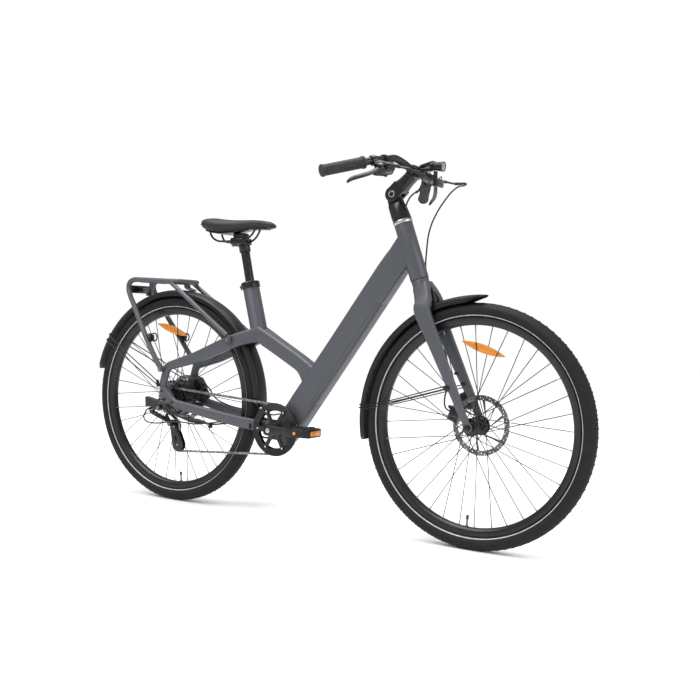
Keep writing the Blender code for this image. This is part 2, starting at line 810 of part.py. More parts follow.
def make_chain():
    """Two rows of side plates along the course, joined by a roller at every second pin."""
    spots = []
    for start, length, point in course_stretches():
        curved = (point(0) - point(length / 2)).length < 0.4999 * length
        pieces = max(1, round(length / CHAIN_PITCH / 1.25)) if curved else 1
        spots += [(point(length * i / pieces), point(length * i / pieces + 1e-5)) for i in range(pieces)]
    bands = []
    for near, far in ((PLATE_INNER, PLATE_OUTER), (-PLATE_OUTER, -PLATE_INNER)):
        rings = []
        for place, ahead in spots:
            along = (ahead - place).normalized()
            side = Vector((-along.y, along.x)) * PLATE_HALF_HEIGHT
            corners = ((side, near), (side, far), (-side, far), (-side, near))
            rings.append([Vector((place.x + s.x, CHAIN_LINE + y, place.y + s.y)) for s, y in corners])
        bands.append(loft(rings, closed=True))
    rollers = []
    reach = (PLATE_INNER + PLATE_OUTER) / 2
    for i in range(0, CHAIN_LINKS, 2):
        place = chain_point(i * CHAIN_PITCH)
        rollers.append(cross_rod(place.x, place.y, CHAIN_LINE - reach, CHAIN_LINE + reach, ROLLER_RADIUS, 4))
    chain = united(gathered(bands), gathered(rollers))
    return named(chain, "chain", SILVER)


def make_cassette():
    """Sprockets of falling size on one sleeve that turns on the motor hub."""
    inner = FREEHUB_RADIUS + RUNNING_GAP
    outer = inner + SLEEVE_WALL
    first = CHAIN_LINE + SPROCKET_IN_USE * SPROCKET_SPACING
    last = first - (len(SPROCKET_TEETH) - 1) * SPROCKET_SPACING
    half = TOOTH_THICKNESS / 2
    ends = (first + half + 0.0008, last - half - 0.0004)
    sleeve = turned([(inner, ends[0]), (outer, ends[0]), (outer, ends[1]), (inner, ends[1])], 14, REAR_AXLE)
    plates = []
    for i, teeth in enumerate(SPROCKET_TEETH):
        y = first - i * SPROCKET_SPACING
        used = i == SPROCKET_IN_USE
        outline = toothed(teeth, REAR_AXLE, valley_angle(3) if used else 0.0, plain=not used)
        bore = circle((REAR_AXLE.x, REAR_AXLE.z), (inner + outer) / 2, 14, math.pi / 14)
        plates.append(plate(outline, y - half, y + half, [bore]))
    return named(united(sleeve, gathered(plates)), "cassette", BLACK_METAL)


def wheel_centre(wheel):
    """The middle of a wheel of the chain's course, in the plane of the bicycle."""
    return Vector((COURSE[wheel][0].x, 0, COURSE[wheel][0].y))


def make_jockey(name, wheel):
    centre = wheel_centre(wheel)
    bore = circle((centre.x, centre.z), 0.0050, 8, 0.3)
    half = TOOTH_THICKNESS / 2
    jockey = plate(toothed(JOCKEY_TEETH, centre, valley_angle(wheel)), CHAIN_LINE - half, CHAIN_LINE + half, [bore])
    ring = [(0.0032 + GAP, -0.0042), (0.0085, -0.0042), (0.0085, 0.0042), (0.0032 + GAP, 0.0042)]
    hub = turned([(r, CHAIN_LINE + y) for r, y in ring], 8, centre)
    return named(united(jockey, hub), name, BLACK_PLASTIC)


def rounded_link(a, b, radius_a, radius_b, count=4):
    """The outline, as x and z, of a strap with a round end at each of two points."""
    way = math.atan2(b.z - a.z, b.x - a.x)
    quarter = math.pi / 2
    outline = arc_points((b.x, b.z), radius_b, way - quarter, way + quarter, count)
    return outline + arc_points((a.x, a.z), radius_a, way + quarter, way + 3 * quarter, count)


CAGE_OUTER_Y = CHAIN_LINE - 0.0068
CAGE_INNER_Y = CHAIN_LINE + 0.0068
CAGE_SHEET = 0.0016
LINK_FAR = Vector((0.0110, -0.0660, 0.3000))
LINK_NEAR = Vector((-0.0340, -0.0800, 0.3210))
LINK_SPAN = LINK_FAR - LINK_NEAR
LINK_AXIS = Vector((-LINK_SPAN.z, 0, LINK_SPAN.x)).normalized()
HANGER_BOLT = Vector((-0.0080, 0, 0.3320))
GEAR_STOP_ROOT = Vector((-0.0330, -0.0808, 0.3300))
GEAR_STOP_END = Vector((-0.0600, -0.0808, 0.3220))


def make_cage():
    """Two plates that hold the jockey wheels on their pins, with the boss of the cage pivot."""
    upper, lower = wheel_centre(2), wheel_centre(1)
    plates = []
    for y, top in ((CAGE_OUTER_Y, CAGE_PIVOT), (CAGE_INNER_Y, upper)):
        outline = rounded_link(lower, top, 0.0085, 0.0100)
        plates.append(plate(outline, y - CAGE_SHEET / 2, y + CAGE_SHEET / 2))
    cage = gathered(plates)
    pins = [cross_rod(c.x, c.z, CAGE_OUTER_Y - 0.0016, CAGE_INNER_Y + 0.0016, 0.0032, 8) for c in (upper, lower)]
    cage = united(cage, gathered(pins))
    tab = plate(rounded_link(upper, CAGE_PIVOT, 0.0075, 0.0090), CAGE_OUTER_Y - 0.0010, CAGE_OUTER_Y + 0.0010)
    return named(united(cage, tab), "derailleur_cage", BLACK_METAL)


def make_pivot_knuckle():
    """The knuckle at the end of the links, which holds the cage's pivot."""
    face = CAGE_OUTER_Y - 0.0016 - GAP
    body = cross_rod(CAGE_PIVOT.x, CAGE_PIVOT.z, face - 0.0160, face, 0.0105, 12)
    lug = rod(LINK_FAR - LINK_AXIS * 0.0050, LINK_FAR + LINK_AXIS * 0.0090, 0.0045, 8)
    web = rod(LINK_FAR + LINK_AXIS * 0.0060, CAGE_PIVOT + Vector((0, face - 0.0090, 0)), 0.0038, 8)
    return named(united(body, lug, web), "derailleur_pivot_knuckle", BLACK_METAL)


def make_link():
    """The parallelogram's outer link."""
    along = LINK_SPAN.normalized()
    across = LINK_AXIS.cross(along)
    lift = -LINK_AXIS * (0.0050 + GAP + 0.0020)
    start, end = LINK_NEAR + lift, LINK_FAR + lift
    rings = [
        section(spot, LINK_AXIS * 0.0020, across * 0.0048, 0.0015)
        for spot in (start - along * 0.0055, end + along * 0.0055)
    ]
    return named(loft(rings), "derailleur_link", BLACK_METAL)


def make_hanger_knuckle():
    """The knuckle bolted to the frame's hanger, with its cable stop."""
    y = -(REAR_DROPOUT_HALF + 0.0075 + GAP)
    body = cross_rod(HANGER_BOLT.x, HANGER_BOLT.z, y - 0.0130, y, 0.0105, 12)
    arm = plate(
        rounded_link(HANGER_BOLT, Vector((-0.0310, 0, 0.3290)), 0.0095, 0.0062), y - 0.0105, y - 0.0005
    )
    lug = rod(LINK_NEAR - LINK_AXIS * 0.0050, LINK_NEAR + LINK_AXIS * 0.0120, 0.0045, 8)
    stop = rod(GEAR_STOP_ROOT, GEAR_STOP_END, 0.0040, 8, 0.0030)
    return named(united(body, arm, lug, stop), "derailleur_hanger_knuckle", BLACK_METAL)


# Cranks and pedals


def crank_end(side):
    """The middle of a crank's pedal eye: side is -1 on the right, where the crank points ahead."""
    way = Vector((math.cos(CRANK_ANGLE), 0, math.sin(CRANK_ANGLE))) * CRANK_LENGTH
    return BRACKET - side * way + Vector((0, side * CRANK_Y, 0))


def chainring():
    """The toothed ring, with its opening."""
    bore = circle((BRACKET.x, BRACKET.z), 0.0610, 15)
    half = TOOTH_THICKNESS / 2
    outline = toothed(CHAINRING_TEETH, BRACKET, valley_angle(0))
    return plate(outline, CHAIN_LINE - half, CHAIN_LINE + half, [bore])


def crank_arm(side):
    """A tapering arm from the spindle to the pedal eye, without its bores."""
    end = crank_end(side)
    start = BRACKET + Vector((0, side * CRANK_Y, 0))
    stations = []
    for share, depth in ((-0.10, 0.013), (0.0, 0.0165), (0.25, 0.0125), (0.8, 0.0105), (1.0, 0.0135), (1.07, 0.0100)):
        spot = start.lerp(end, share)
        stations.append((spot.x, spot.y, spot.z, depth, CRANK_HALF_THICKNESS))
    return limb(stations, 0.003)


def make_right_crank():
    """The right crank with the chain guard and the chainring that are riveted to it."""
    arm = crank_arm(-1)
    windows = []
    for i in range(GUARD_WINDOWS):
        middle = math.radians(90) + i * math.tau / GUARD_WINDOWS
        outer = arc_points((BRACKET.x, BRACKET.z), 0.0640, middle - 0.36, middle + 0.36, 4)
        inner = arc_points((BRACKET.x, BRACKET.z), 0.0330, middle + 0.26, middle - 0.26, 2)
        windows.append(outer + inner)
    guard = plate(circle((BRACKET.x, BRACKET.z), GUARD_RADIUS, 32), -GUARD_Y - 0.0015, -GUARD_Y + 0.0015, windows)
    boss = cross_rod(BRACKET.x, BRACKET.z, -CRANK_Y, -GUARD_Y + 0.0010, 0.0190, 16)
    posts = []
    for i in range(GUARD_WINDOWS):
        angle = math.radians(90) + (i + 0.5) * math.tau / GUARD_WINDOWS
        x, z = BRACKET.x + 0.0668 * math.cos(angle), BRACKET.z + 0.0668 * math.sin(angle)
        posts.append(cross_rod(x, z, -GUARD_Y, CHAIN_LINE, 0.0044, 8))
    crank = united(arm, guard, boss, gathered(posts), chainring())
    far = crank_end(-1)
    spindle_bore = cross_rod(BRACKET.x, BRACKET.z, -CRANK_Y - 0.0040, -0.030, SPINDLE_RADIUS + GAP, 12)
    eye = cross_rod(far.x, far.z, -CRANK_Y - 0.020, -CRANK_Y + 0.020, around(0.0065 + GAP, 10), 10)
    return named(cut(crank, spindle_bore, eye), "right_crank", BLACK_METAL)


def make_left_crank():
    """The left crank with the spindle that carries both cranks."""
    arm = crank_arm(1)
    spindle = cross_rod(BRACKET.x, BRACKET.z, -CRANK_Y - 0.0030, CRANK_Y, SPINDLE_RADIUS, 12)
    boss = cross_rod(BRACKET.x, BRACKET.z, BRACKET_HALF + 0.0080, CRANK_Y, 0.0150, 14)
    crank = united(arm, spindle, boss)
    far = crank_end(1)
    eye = cross_rod(far.x, far.z, CRANK_Y - 0.020, CRANK_Y + 0.020, around(0.0065 + GAP, 10), 10)
    return named(cut(crank, eye), "left_crank", BLACK_METAL)


def make_pedal(name, side):
    """A platform with two windows and a reflector at its front and back, round its spindle."""
    eye = crank_end(side)
    first = CRANK_Y + CRANK_HALF_THICKNESS + 0.0035
    last = first + PEDAL_WIDTH
    half = PEDAL_LENGTH / 2
    outline = [
        (-half, first + 0.012),
        (-half + 0.014, first),
        (half - 0.014, first),
        (half, first + 0.012),
        (half, last - 0.010),
        (half - 0.010, last),
        (-half + 0.010, last),
        (-half, last - 0.010),
    ]
    windows = []
    for sign in (-1, 1):
        near, far = sign * 0.0135, sign * (half - 0.011)
        windows.append([(near, first + 0.013), (far, first + 0.013), (far, last - 0.011), (near, last - 0.011)])
    body = plate(outline, -PEDAL_HEIGHT / 2, PEDAL_HEIGHT / 2, windows)
    body = moved(body, Matrix.Rotation(math.pi / 2, 4, "X"))
    body = moved(body, Matrix.Diagonal((1, -1, 1, 1)))
    body.data.flip_normals()
    body = moved(body, Matrix.Translation((eye.x, 0, eye.z)))
    if body.data.vertices[0].co.y < 0:
        body = moved(body, Matrix.Diagonal((1, -1, 1, 1)))
        body.data.flip_normals()
    body = united(body, cross_rod(eye.x, eye.z, CRANK_Y - 0.0060, last - 0.004, 0.0065, 10))
    if side < 0:
        body = moved(body, Matrix.Diagonal((1, -1, 1, 1)))
        body.data.flip_normals()
    return named(body, name, BLACK_PLASTIC)


def make_bottom_bracket():
    """The cartridge with its bearings in the frame's shell."""
    bore = SPINDLE_RADIUS + RUNNING_GAP
    outer = BRACKET_RADIUS - 0.0045 - GAP
    flange = BRACKET_RADIUS - 0.0015
    reach = BRACKET_HALF + GAP
    profile = [
        (bore, -reach - 0.0025),
        (flange, -reach - 0.0025),
        (flange, -reach),
        (outer, -reach),
        (outer, reach - 0.0050),
        (bore, reach - 0.0050),
    ]
    return named(turned(profile, 14, BRACKET), "bottom_bracket", STEEL)


# Frame


def down_tube():
    """The big tube from the bottom bracket to the head tube, narrowing where it meets the head."""
    meeting = head_meeting()
    rings = []
    for distance, depth, width in (
        (-0.0350, 0.60, 0.80),
        (-0.0150, 0.88, 0.95),
        (0.0200, 1.0, 1.0),
        (meeting - 0.1100, 1.0, 1.0),
        (meeting - 0.0500, 1.0, 0.90),
    ):
        spot = along_tube(distance)
        out = TUBE_OUT * DOWN_TUBE_HALF_DEPTH * depth
        side = Vector((0, DOWN_TUBE_HALF_WIDTH * width, 0))
        rings.append(section(spot, out, side, DOWN_TUBE_CORNER, 1))
    slope = abs(TUBE_UP.dot(STEER_AHEAD))
    end = -STEER_UP * DOWN_TUBE_HALF_DEPTH / slope
    side = Vector((0, HEAD_TUBE_RADIUS - 0.0050, 0))
    rings.append(section(along_tube(meeting), end, side, DOWN_TUBE_CORNER, 1))
    return loft(rings)


def elbow():
    """The middle of the bend where seat tube, strut and seat stays meet."""
    return SEAT_TUBE_TOP - SEAT_UP * SEAT_TUBE_LENGTH


def strut():
    """The flat tube from the seat tube's foot down to the down tube, with its gusset."""
    top = elbow()
    foot = along_tube(STRUT_FOOT)
    way = (foot - top).normalized()
    down = Vector((way.z, 0, -way.x))
    rings = []
    for share, shift, depth, width in (
        (-0.015, 0.0, 0.90, 1.0),
        (0.10, 0.0, 1.0, 1.0),
        (0.52, 0.0, 1.0, 1.02),
        (0.66, 0.003, 1.10, 1.05),
        (0.86, 0.012, 1.40, 1.15),
        (1.0, 0.026, 1.90, 1.15),
    ):
        half = down * STRUT_HALF_DEPTH * depth
        side = Vector((0, STRUT_HALF_WIDTH * width, 0))
        rings.append(section(top.lerp(foot, share) + down * shift, half, side, 0.006, 1))
    return loft(rings)


def tube_block(half_width, half_length, out_from, out_to):
    """A box lying in the down tube at the battery's place, between two distances out of its middle."""
    middle = along_tube(BATTERY_START + BATTERY_LENGTH / 2, (out_from + out_to) / 2)
    turn = Matrix.Rotation(math.pi / 2 - DOWN_TUBE_ANGLE, 4, "Y")
    return box(middle, (out_to - out_from, 2 * half_width, 2 * half_length), turn)


def stay_stations():
    """The left seat stay, dropout bend and chain stay as one bent bar, from the elbow to the bracket."""
    top = elbow()
    axle = REAR_AXLE
    y = REAR_DROPOUT_HALF
    return [
        (top.x + 0.002, 0.0200, top.z - 0.014, 0.0230, 0.0150),
        (top.x - 0.040, 0.0450, top.z - 0.032, 0.0225, 0.0120),
        (top.x - 0.084, 0.0550, top.z - 0.050, 0.0220, 0.0105),
        (axle.x + 0.120, 0.0650, axle.z + 0.1375, 0.0220, 0.0095),
        (axle.x + 0.048, y + 0.0060, axle.z + 0.1110, 0.0210, 0.0095),
        (axle.x + 0.013, y + 0.0085, axle.z + 0.0880, 0.0200, 0.0090),
        (axle.x + 0.001, y + 0.0090, axle.z + 0.0480, 0.0180, 0.0085),
        (axle.x + 0.034, y + 0.0090, axle.z + 0.0130, 0.0165, 0.0085),
        (axle.x + 0.085, y + 0.0060, axle.z - 0.0180, 0.0170, 0.0090),
        (axle.x + 0.190, 0.0600, axle.z - 0.0345, 0.0175, 0.0090),
        (axle.x + 0.320, 0.0430, axle.z - 0.0550, 0.0190, 0.0080),
        (BRACKET.x - 0.098, 0.0300, BRACKET.z + 0.0060, 0.0195, 0.0080),
        (BRACKET.x - 0.040, 0.0240, BRACKET.z + 0.0020, 0.0170, 0.0090),
        (BRACKET.x - 0.012, 0.0230, BRACKET.z, 0.0130, 0.0090),
    ]


def dropout_plate(side):
    """The plate that takes the axle, inside the bend of the stays, with the hanger or the brake's tab."""
    x, z = REAR_AXLE.x, REAR_AXLE.z
    if side < 0:
        hanger = (HANGER_BOLT.x, HANGER_BOLT.z)
        outline = [(x + 0.052, z + 0.010), (x + 0.010, z + 0.055), (x - 0.012, z + 0.050), (x - 0.015, z + 0.002)]
        outline += arc_points(hanger, 0.0110, math.radians(165), math.radians(350), 5)
        outline += [(x + 0.012, z - 0.016), (x + 0.040, z - 0.012)]
    else:
        outline = [(x + 0.092, z + 0.004), (x + 0.078, z + 0.034), (x + 0.046, z + 0.074), (x + 0.020, z + 0.086)]
        outline += [(x - 0.010, z + 0.050), (x - 0.015, z + 0.002), (x - 0.013, z - 0.014), (x + 0.012, z - 0.016)]
        outline += [(x + 0.060, z - 0.014)]
    faces = sorted((side * REAR_DROPOUT_HALF, side * (REAR_DROPOUT_HALF + DROPOUT_THICKNESS)))
    return plate(outline, *faces)


def make_frame():
    """Down tube, head tube, strut, seat tube, stays, dropouts and brackets, welded into one."""
    head = rod(CROWN + STEER_UP * GAP, HEAD_TOP, HEAD_TUBE_RADIUS, 20)
    seat = rod(SEAT_TUBE_TOP, elbow() - SEAT_UP * 0.012, SEAT_TUBE_RADIUS, 16)
    shell = cross_rod(BRACKET.x, BRACKET.z, -BRACKET_HALF, BRACKET_HALF, BRACKET_RADIUS, 16)
    left = limb(stay_stations(), 0.0050, 1)
    right = mirrored(left)
    bridge = rod(BRACKET + Vector((-0.0650, -0.0300, 0.0120)), BRACKET + Vector((-0.0650, 0.0300, 0.0120)), 0.0085, 8)
    boss_y = KICKSTAND_PIVOT.y - KICKSTAND_HALF - GAP
    stand = plate(
        rounded_link(KICKSTAND_PIVOT, KICKSTAND_PIVOT + Vector((0.0420, 0, -0.0040)), 0.0150, 0.0130), boss_y - 0.0060, boss_y
    )
    stand_bolt = cross_rod(KICKSTAND_PIVOT.x, KICKSTAND_PIVOT.z, boss_y - 0.010, KICKSTAND_PIVOT.y + 0.0110, 0.0040, 8)
    stand_foot = box((0.1150, boss_y - 0.0100, KICKSTAND_PIVOT.z - 0.0030), (0.0400, 0.0160, 0.0180))
    frame = united(down_tube(), head, strut(), seat, shell, left, right, bridge)
    frame = united(frame, dropout_plate(1), dropout_plate(-1), united(stand, stand_foot, stand_bolt))
    bore = rod(CROWN - STEER_UP * 0.05, HEAD_TOP + STEER_UP * 0.05, STEERER_RADIUS + RUNNING_GAP, 12)
    post_foot = SEAT_TUBE_TOP - SEAT_UP * (SEAT_TUBE_LENGTH - 0.015)
    post_bore = rod(post_foot, SEAT_TUBE_TOP + SEAT_UP * 0.05, SEAT_POST_RADIUS + GAP, 16)
    cartridge = cross_rod(BRACKET.x, BRACKET.z, -0.05, 0.05, around(BRACKET_RADIUS - 0.0045, 14), 14)
    seam = DOWN_TUBE_HALF_DEPTH - BATTERY_COVER_DEPTH - GAP
    reach = BATTERY_LENGTH / 2
    mouth = tube_block(DOWN_TUBE_HALF_WIDTH + 0.010, reach, seam, DOWN_TUBE_HALF_DEPTH + 0.020)
    bay_half = BATTERY_PACK_HALF_WIDTH + 0.0020
    bay_floor = -DOWN_TUBE_HALF_DEPTH + TUBE_WALL
    bay = tube_block(bay_half, reach - 0.008, bay_floor, seam + 0.005)
    axle_bore = cross_rod(REAR_AXLE.x, REAR_AXLE.z, -0.10, 0.10, REAR_AXLE_RADIUS + GAP, 12)
    frame = cut(frame, bore, post_bore, cartridge, mouth, bay, axle_bore)
    return named(frame, "frame", PAINT)


def make_battery():
    """The pack with the cover that closes the front of the down tube."""
    side = Vector((0, DOWN_TUBE_HALF_WIDTH, 0))
    out = TUBE_OUT * DOWN_TUBE_HALF_DEPTH
    ends = (BATTERY_START + GAP, BATTERY_START + BATTERY_LENGTH - GAP)
    cover = loft([section(along_tube(d), out, side, DOWN_TUBE_CORNER, 1) for d in ends])
    seam = DOWN_TUBE_HALF_DEPTH - BATTERY_COVER_DEPTH
    cover = cut(cover, tube_block(DOWN_TUBE_HALF_WIDTH + 0.02, BATTERY_LENGTH, -DOWN_TUBE_HALF_DEPTH - 0.02, seam))
    reach = BATTERY_LENGTH / 2 - 0.0095
    pack = tube_block(BATTERY_PACK_HALF_WIDTH, reach, seam - BATTERY_PACK_DEPTH, seam + 0.004)
    return named(united(cover, pack), "battery", PAINT)


def make_seat_collar():
    """A clamp round the top of the seat tube, with its bolt at the back."""
    low, high = -0.0130, COLLAR_HEIGHT - 0.0130
    inner = SEAT_TUBE_RADIUS + GAP
    lip = SEAT_POST_RADIUS + RUNNING_GAP
    ring = rod(SEAT_TUBE_TOP + SEAT_UP * low, SEAT_TUBE_TOP + SEAT_UP * high, COLLAR_RADIUS + 0.0020, 20)
    ear = box(SEAT_TUBE_TOP + Vector((-0.0310, 0, 0.0050)), (0.0200, 0.0180, 0.0140))
    bore = rod(SEAT_TUBE_TOP + SEAT_UP * (low - 0.01), SEAT_TUBE_TOP + SEAT_UP * GAP, inner, 20)
    hole = rod(SEAT_TUBE_TOP - SEAT_UP * 0.03, SEAT_TUBE_TOP + SEAT_UP * 0.03, lip, 16)
    return named(cut(united(ring, ear), bore, hole), "seat_collar", BLACK_METAL)


def make_headset_ring():
    low, high = HEAD_TOP + STEER_UP * GAP, HEAD_TOP + STEER_UP * HEAD_RING_HEIGHT
    ring = rod(low, high, HEAD_TUBE_RADIUS + 0.0007, 20)
    hole = rod(low - STEER_UP * 0.02, high + STEER_UP * 0.02, STEERER_RADIUS + RUNNING_GAP, 12)
    return named(cut(ring, hole), "headset_ring", SILVER)


def axle_with_nuts(name, axle, radius, dropout, thickness, nut_radius, finish):
    """A threaded axle with a nut and washer outside each dropout."""
    face = dropout + thickness + GAP
    body = cross_rod(axle.x, axle.z, -face - 0.0130, face + 0.0130, radius, 10)
    for side in (-1, 1):
        washer = cross_rod(axle.x, axle.z, side * face, side * (face + 0.0020), nut_radius + 0.0015, 12)
        nut = cross_rod(axle.x, axle.z, side * (face + 0.0015), side * (face + 0.0095), nut_radius, 6)
        body = united(body, washer, nut)
    return named(body, name, finish)


# Fork and stem


def fork_leg():
    """The left fork leg from the crown to the dropout."""
    stations = []
    for drop, y, depth, width in (
        (0.0180, 0.0120, 0.0255, 0.0130),
        (0.0500, 0.0330, 0.0240, 0.0135),
        (0.0780, 0.0440, 0.0215, 0.0120),
        (0.1050, 0.0465, 0.0195, 0.0110),
    ):
        spot = on_steerer(-drop)
        stations.append((spot.x, y, spot.z, depth, width))
    knee = on_steerer(-0.1050)
    for share, y, depth, width in (
        (0.45, 0.0500, 0.0160, 0.0092),
        (0.85, 0.0545, 0.0120, 0.0065),
        (0.955, 0.0535, 0.0110, 0.0033),
        (0.99, 0.0535, 0.0100, 0.0032),
    ):
        spot = knee.lerp(FRONT_AXLE, share)
        stations.append((spot.x, y, spot.z, depth, width))
    leg = limb(stations, 0.0060)
    tip = plate(circle((FRONT_AXLE.x, FRONT_AXLE.z), 0.0135, 14), FRONT_DROPOUT_HALF, FRONT_DROPOUT_HALF + 0.0070)
    return united(leg, tip)


def make_fork():
    left = fork_leg()
    right = mirrored(left)
    crown = rod(on_steerer(-0.070), on_steerer(-GAP), HEAD_TUBE_RADIUS, 20)
    steerer_top = HEAD_TOP + STEER_UP * (HEAD_RING_HEIGHT + 0.045)
    steerer = rod(on_steerer(-0.02), steerer_top, STEERER_RADIUS, 12)
    mount = plate(
        front_points((-0.0740, 0.0830), (-0.0480, 0.0410), (-0.0350, 0.0470), (-0.0280, 0.0650), (-0.0540, 0.1090)),
        FRONT_DROPOUT_HALF - 0.0005,
        FRONT_DROPOUT_HALF + 0.0060,
    )
    fork = united(crown, left, right, steerer, mount)
    axle = cross_rod(FRONT_AXLE.x, FRONT_AXLE.z, -0.08, 0.08, FRONT_AXLE_RADIUS + GAP, 12)
    return named(cut(fork, axle), "fork", PAINT)


def make_stem_base():
    """The stem's quill cover with the knuckle that the stem's arm turns on."""
    foot = HEAD_TOP + STEER_UP * (HEAD_RING_HEIGHT + GAP)
    knuckle = cross_rod(STEM_PIVOT.x, STEM_PIVOT.z, -KNUCKLE_HALF, KNUCKLE_HALF, STEM_EYE_RADIUS, 14)
    trunk = rod(foot, foot + STEER_UP * 0.058, 0.0262, 16, 0.0225)
    neck = loft(
        [
            section(foot + STEER_UP * 0.050, STEER_AHEAD * 0.0195, Vector((0, 0.0190, 0)), 0.0090, 1),
            section(foot + STEER_UP * 0.068, STEER_AHEAD * 0.0180, Vector((0, KNUCKLE_HALF - 0.0004, 0)), 0.0040, 1),
            section(STEM_PIVOT, STEER_AHEAD * 0.0165, Vector((0, KNUCKLE_HALF - 0.0004, 0)), 0.0020, 1),
        ]
    )
    base = united(trunk, neck, knuckle)
    steerer_hole = rod(foot - STEER_UP * 0.01, foot + STEER_UP * 0.0450, STEERER_RADIUS + GAP, 12)
    bolt_hole = cross_rod(STEM_PIVOT.x, STEM_PIVOT.z, -0.05, 0.05, around(0.0045 + GAP, 8), 8)
    return named(cut(base, steerer_hole, bolt_hole), "stem_base", BLACK_METAL)


def make_stem_arm():
    """The stem's arm: two ears at the pivot, its bolt, and the split clamp round the handlebar."""
    reach = (CLAMP - STEM_PIVOT).normalized()
    over = Vector((-reach.z, 0, reach.x))
    inner, outer = KNUCKLE_HALF + GAP, KNUCKLE_HALF + 0.0090
    ears = []
    middle = Vector((0, (inner + outer) / 2, 0))
    thick = Vector((0, (outer - inner) / 2 - 0.0003, 0))
    for side in (-1, 1):
        ears.append(cross_rod(STEM_PIVOT.x, STEM_PIVOT.z, side * inner, side * outer, STEM_EYE_RADIUS, 14))
        ears[-1] = united(
            ears[-1],
            loft(
                [
                    section(STEM_PIVOT + reach * d + middle * side, over * h, thick, 0.001)
                    for d, h in ((0.0, 0.0180), (0.0300, 0.0165))
                ]
            ),
        )
    arm = loft(
        [
            section(STEM_PIVOT + reach * d, over * h, Vector((0, w, 0)), 0.006)
            for d, h, w in ((0.0225, 0.0172, outer), (0.0480, 0.0155, 0.0190), (0.0720, 0.0160, 0.0190), (0.0920, 0.0170, 0.0200))
        ]
    )
    clamp = cross_rod(CLAMP.x, CLAMP.z, -0.0230, 0.0230, 0.0205, 16)
    lug = box(CLAMP + Vector((0.0180, 0, -0.0090)), (0.0140, 0.0400, 0.0220))
    arm = united(arm, clamp, lug, *ears)
    bolt = cross_rod(STEM_PIVOT.x, STEM_PIVOT.z, -outer - 0.0020, outer + 0.0020, 0.0045, 8)
    heads = [
        cross_rod(STEM_PIVOT.x, STEM_PIVOT.z, side * (outer - 0.001), side * (outer + 0.0022), 0.0085, 10)
        for side in (-1, 1)
    ]
    return named(cut(united(arm, bolt, *heads), whole_bar(GAP)), "stem_arm", BLACK_METAL)


# Mudguards, brakes and cables


def mudguard(axle, start, end, count, lift=0.0):
    """A curved sheet over the wheel between two angles, its first end lifted away from the tyre."""
    rings = []
    for i in range(count):
        share = i / (count - 1)
        angle = start + (end - start) * share
        rise = lift * max(0.0, 1 - share * 5) ** 2
        way = Vector((math.cos(angle), 0, math.sin(angle)))
        top = MUDGUARD_RADIUS + rise
        half = MUDGUARD_HALF_WIDTH
        outer = [(top - MUDGUARD_DROP, half), (top - MUDGUARD_SHOULDER, 0.62 * half)]
        inner = [(r - MUDGUARD_SHEET, y - MUDGUARD_SHEET) for r, y in outer]
        inner[0] = (top - MUDGUARD_DROP, half - MUDGUARD_SHEET)
        side = outer + [(r, -y) for r, y in reversed(outer)]
        side += [(r, -y) for r, y in inner] + [(r, y) for r, y in reversed(inner)]
        rings.append([axle + way * r + Vector((0, y, 0)) for r, y in side])
    return loft(rings)


def stay_wire(axle, angle, foot):
    """A wire round the outside of the mudguard, with its two ends at eyelets on the legs."""
    way = Vector((math.cos(angle), 0, math.sin(angle)))
    rim = MUDGUARD_RADIUS
    half = MUDGUARD_HALF_WIDTH
    side = [
        axle + way * (rim + 0.0005) + Vector((0, 0.50 * half, 0)),
        axle + way * (rim - 0.0060) + Vector((0, 0.92 * half, 0)),
        axle + way * (rim - 0.0180) + Vector((0, half + 0.0040, 0)),
        foot,
    ]
    other = [Vector((p.x, -p.y, p.z)) for p in side]
    return tube([*reversed(side), *other], STAY_WIRE_RADIUS, roundness=1)


def make_front_mudguard():
    guard = mudguard(FRONT_AXLE, math.radians(86.5), math.radians(191), 15, 0.0050)
    foot = FRONT_AXLE + Vector((-0.0755, FORK_LEG_Y + 0.0090, 0.1010))
    upper = stay_wire(FRONT_AXLE, math.radians(172), foot)
    lower = stay_wire(FRONT_AXLE, math.radians(178), foot + Vector((0.0050, 0, -0.0110)))
    eyes = [
        cross_rod(foot.x + 0.0025, foot.z - 0.0055, side * (foot.y - 0.0022), side * (foot.y + 0.0024), 0.0085, 10)
        for side in (-1, 1)
    ]
    front = on_steerer(-0.046) + STEER_AHEAD * (HEAD_TUBE_RADIUS + 0.0024)
    top = FRONT_AXLE + Vector((math.cos(math.radians(111.5)), 0, math.sin(math.radians(111.5)))) * (MUDGUARD_RADIUS - 0.0035)
    bracket = loft(
        [
            section(spot, turn * 0.0016, Vector((0, 0.0080, 0)), 0.0004)
            for spot, turn in (
                (front + STEER_UP * 0.0100, STEER_AHEAD),
                (front - STEER_UP * 0.0180, STEER_AHEAD),
                (top, Vector((0.6, 0, 0.8))),
            )
        ]
    )
    bolt = rod(front, front + STEER_AHEAD * 0.0060, 0.0050, 6)
    guard = united(guard, upper, lower, gathered(eyes), united(bracket, bolt))
    return named(guard, "front_mudguard", BLACK_PLASTIC)


def make_rear_mudguard():
    guard = mudguard(REAR_AXLE, REAR_GUARD_END, math.radians(-0.5), 21)
    y = REAR_DROPOUT_HALF + 0.0175 + 0.0020 + 2 * GAP
    feet = (by_rear(-0.0180, y, 0.0950), by_rear(-0.0150, y, 0.0470))
    wires = [stay_wire(REAR_AXLE, math.radians(a), f) for a, f in ((145.5, feet[0]), (149.0, feet[1]))]
    tabs = []
    for side in (-1, 1):
        outline = rounded_link(feet[0], feet[1], 0.0060, 0.0060)
        faces = sorted((side * (y - 0.0020), side * (y + 0.0020)))
        tabs.append(plate(outline, *faces))
    return named(united(guard, *wires, gathered(tabs)), "rear_mudguard", BLACK_PLASTIC)


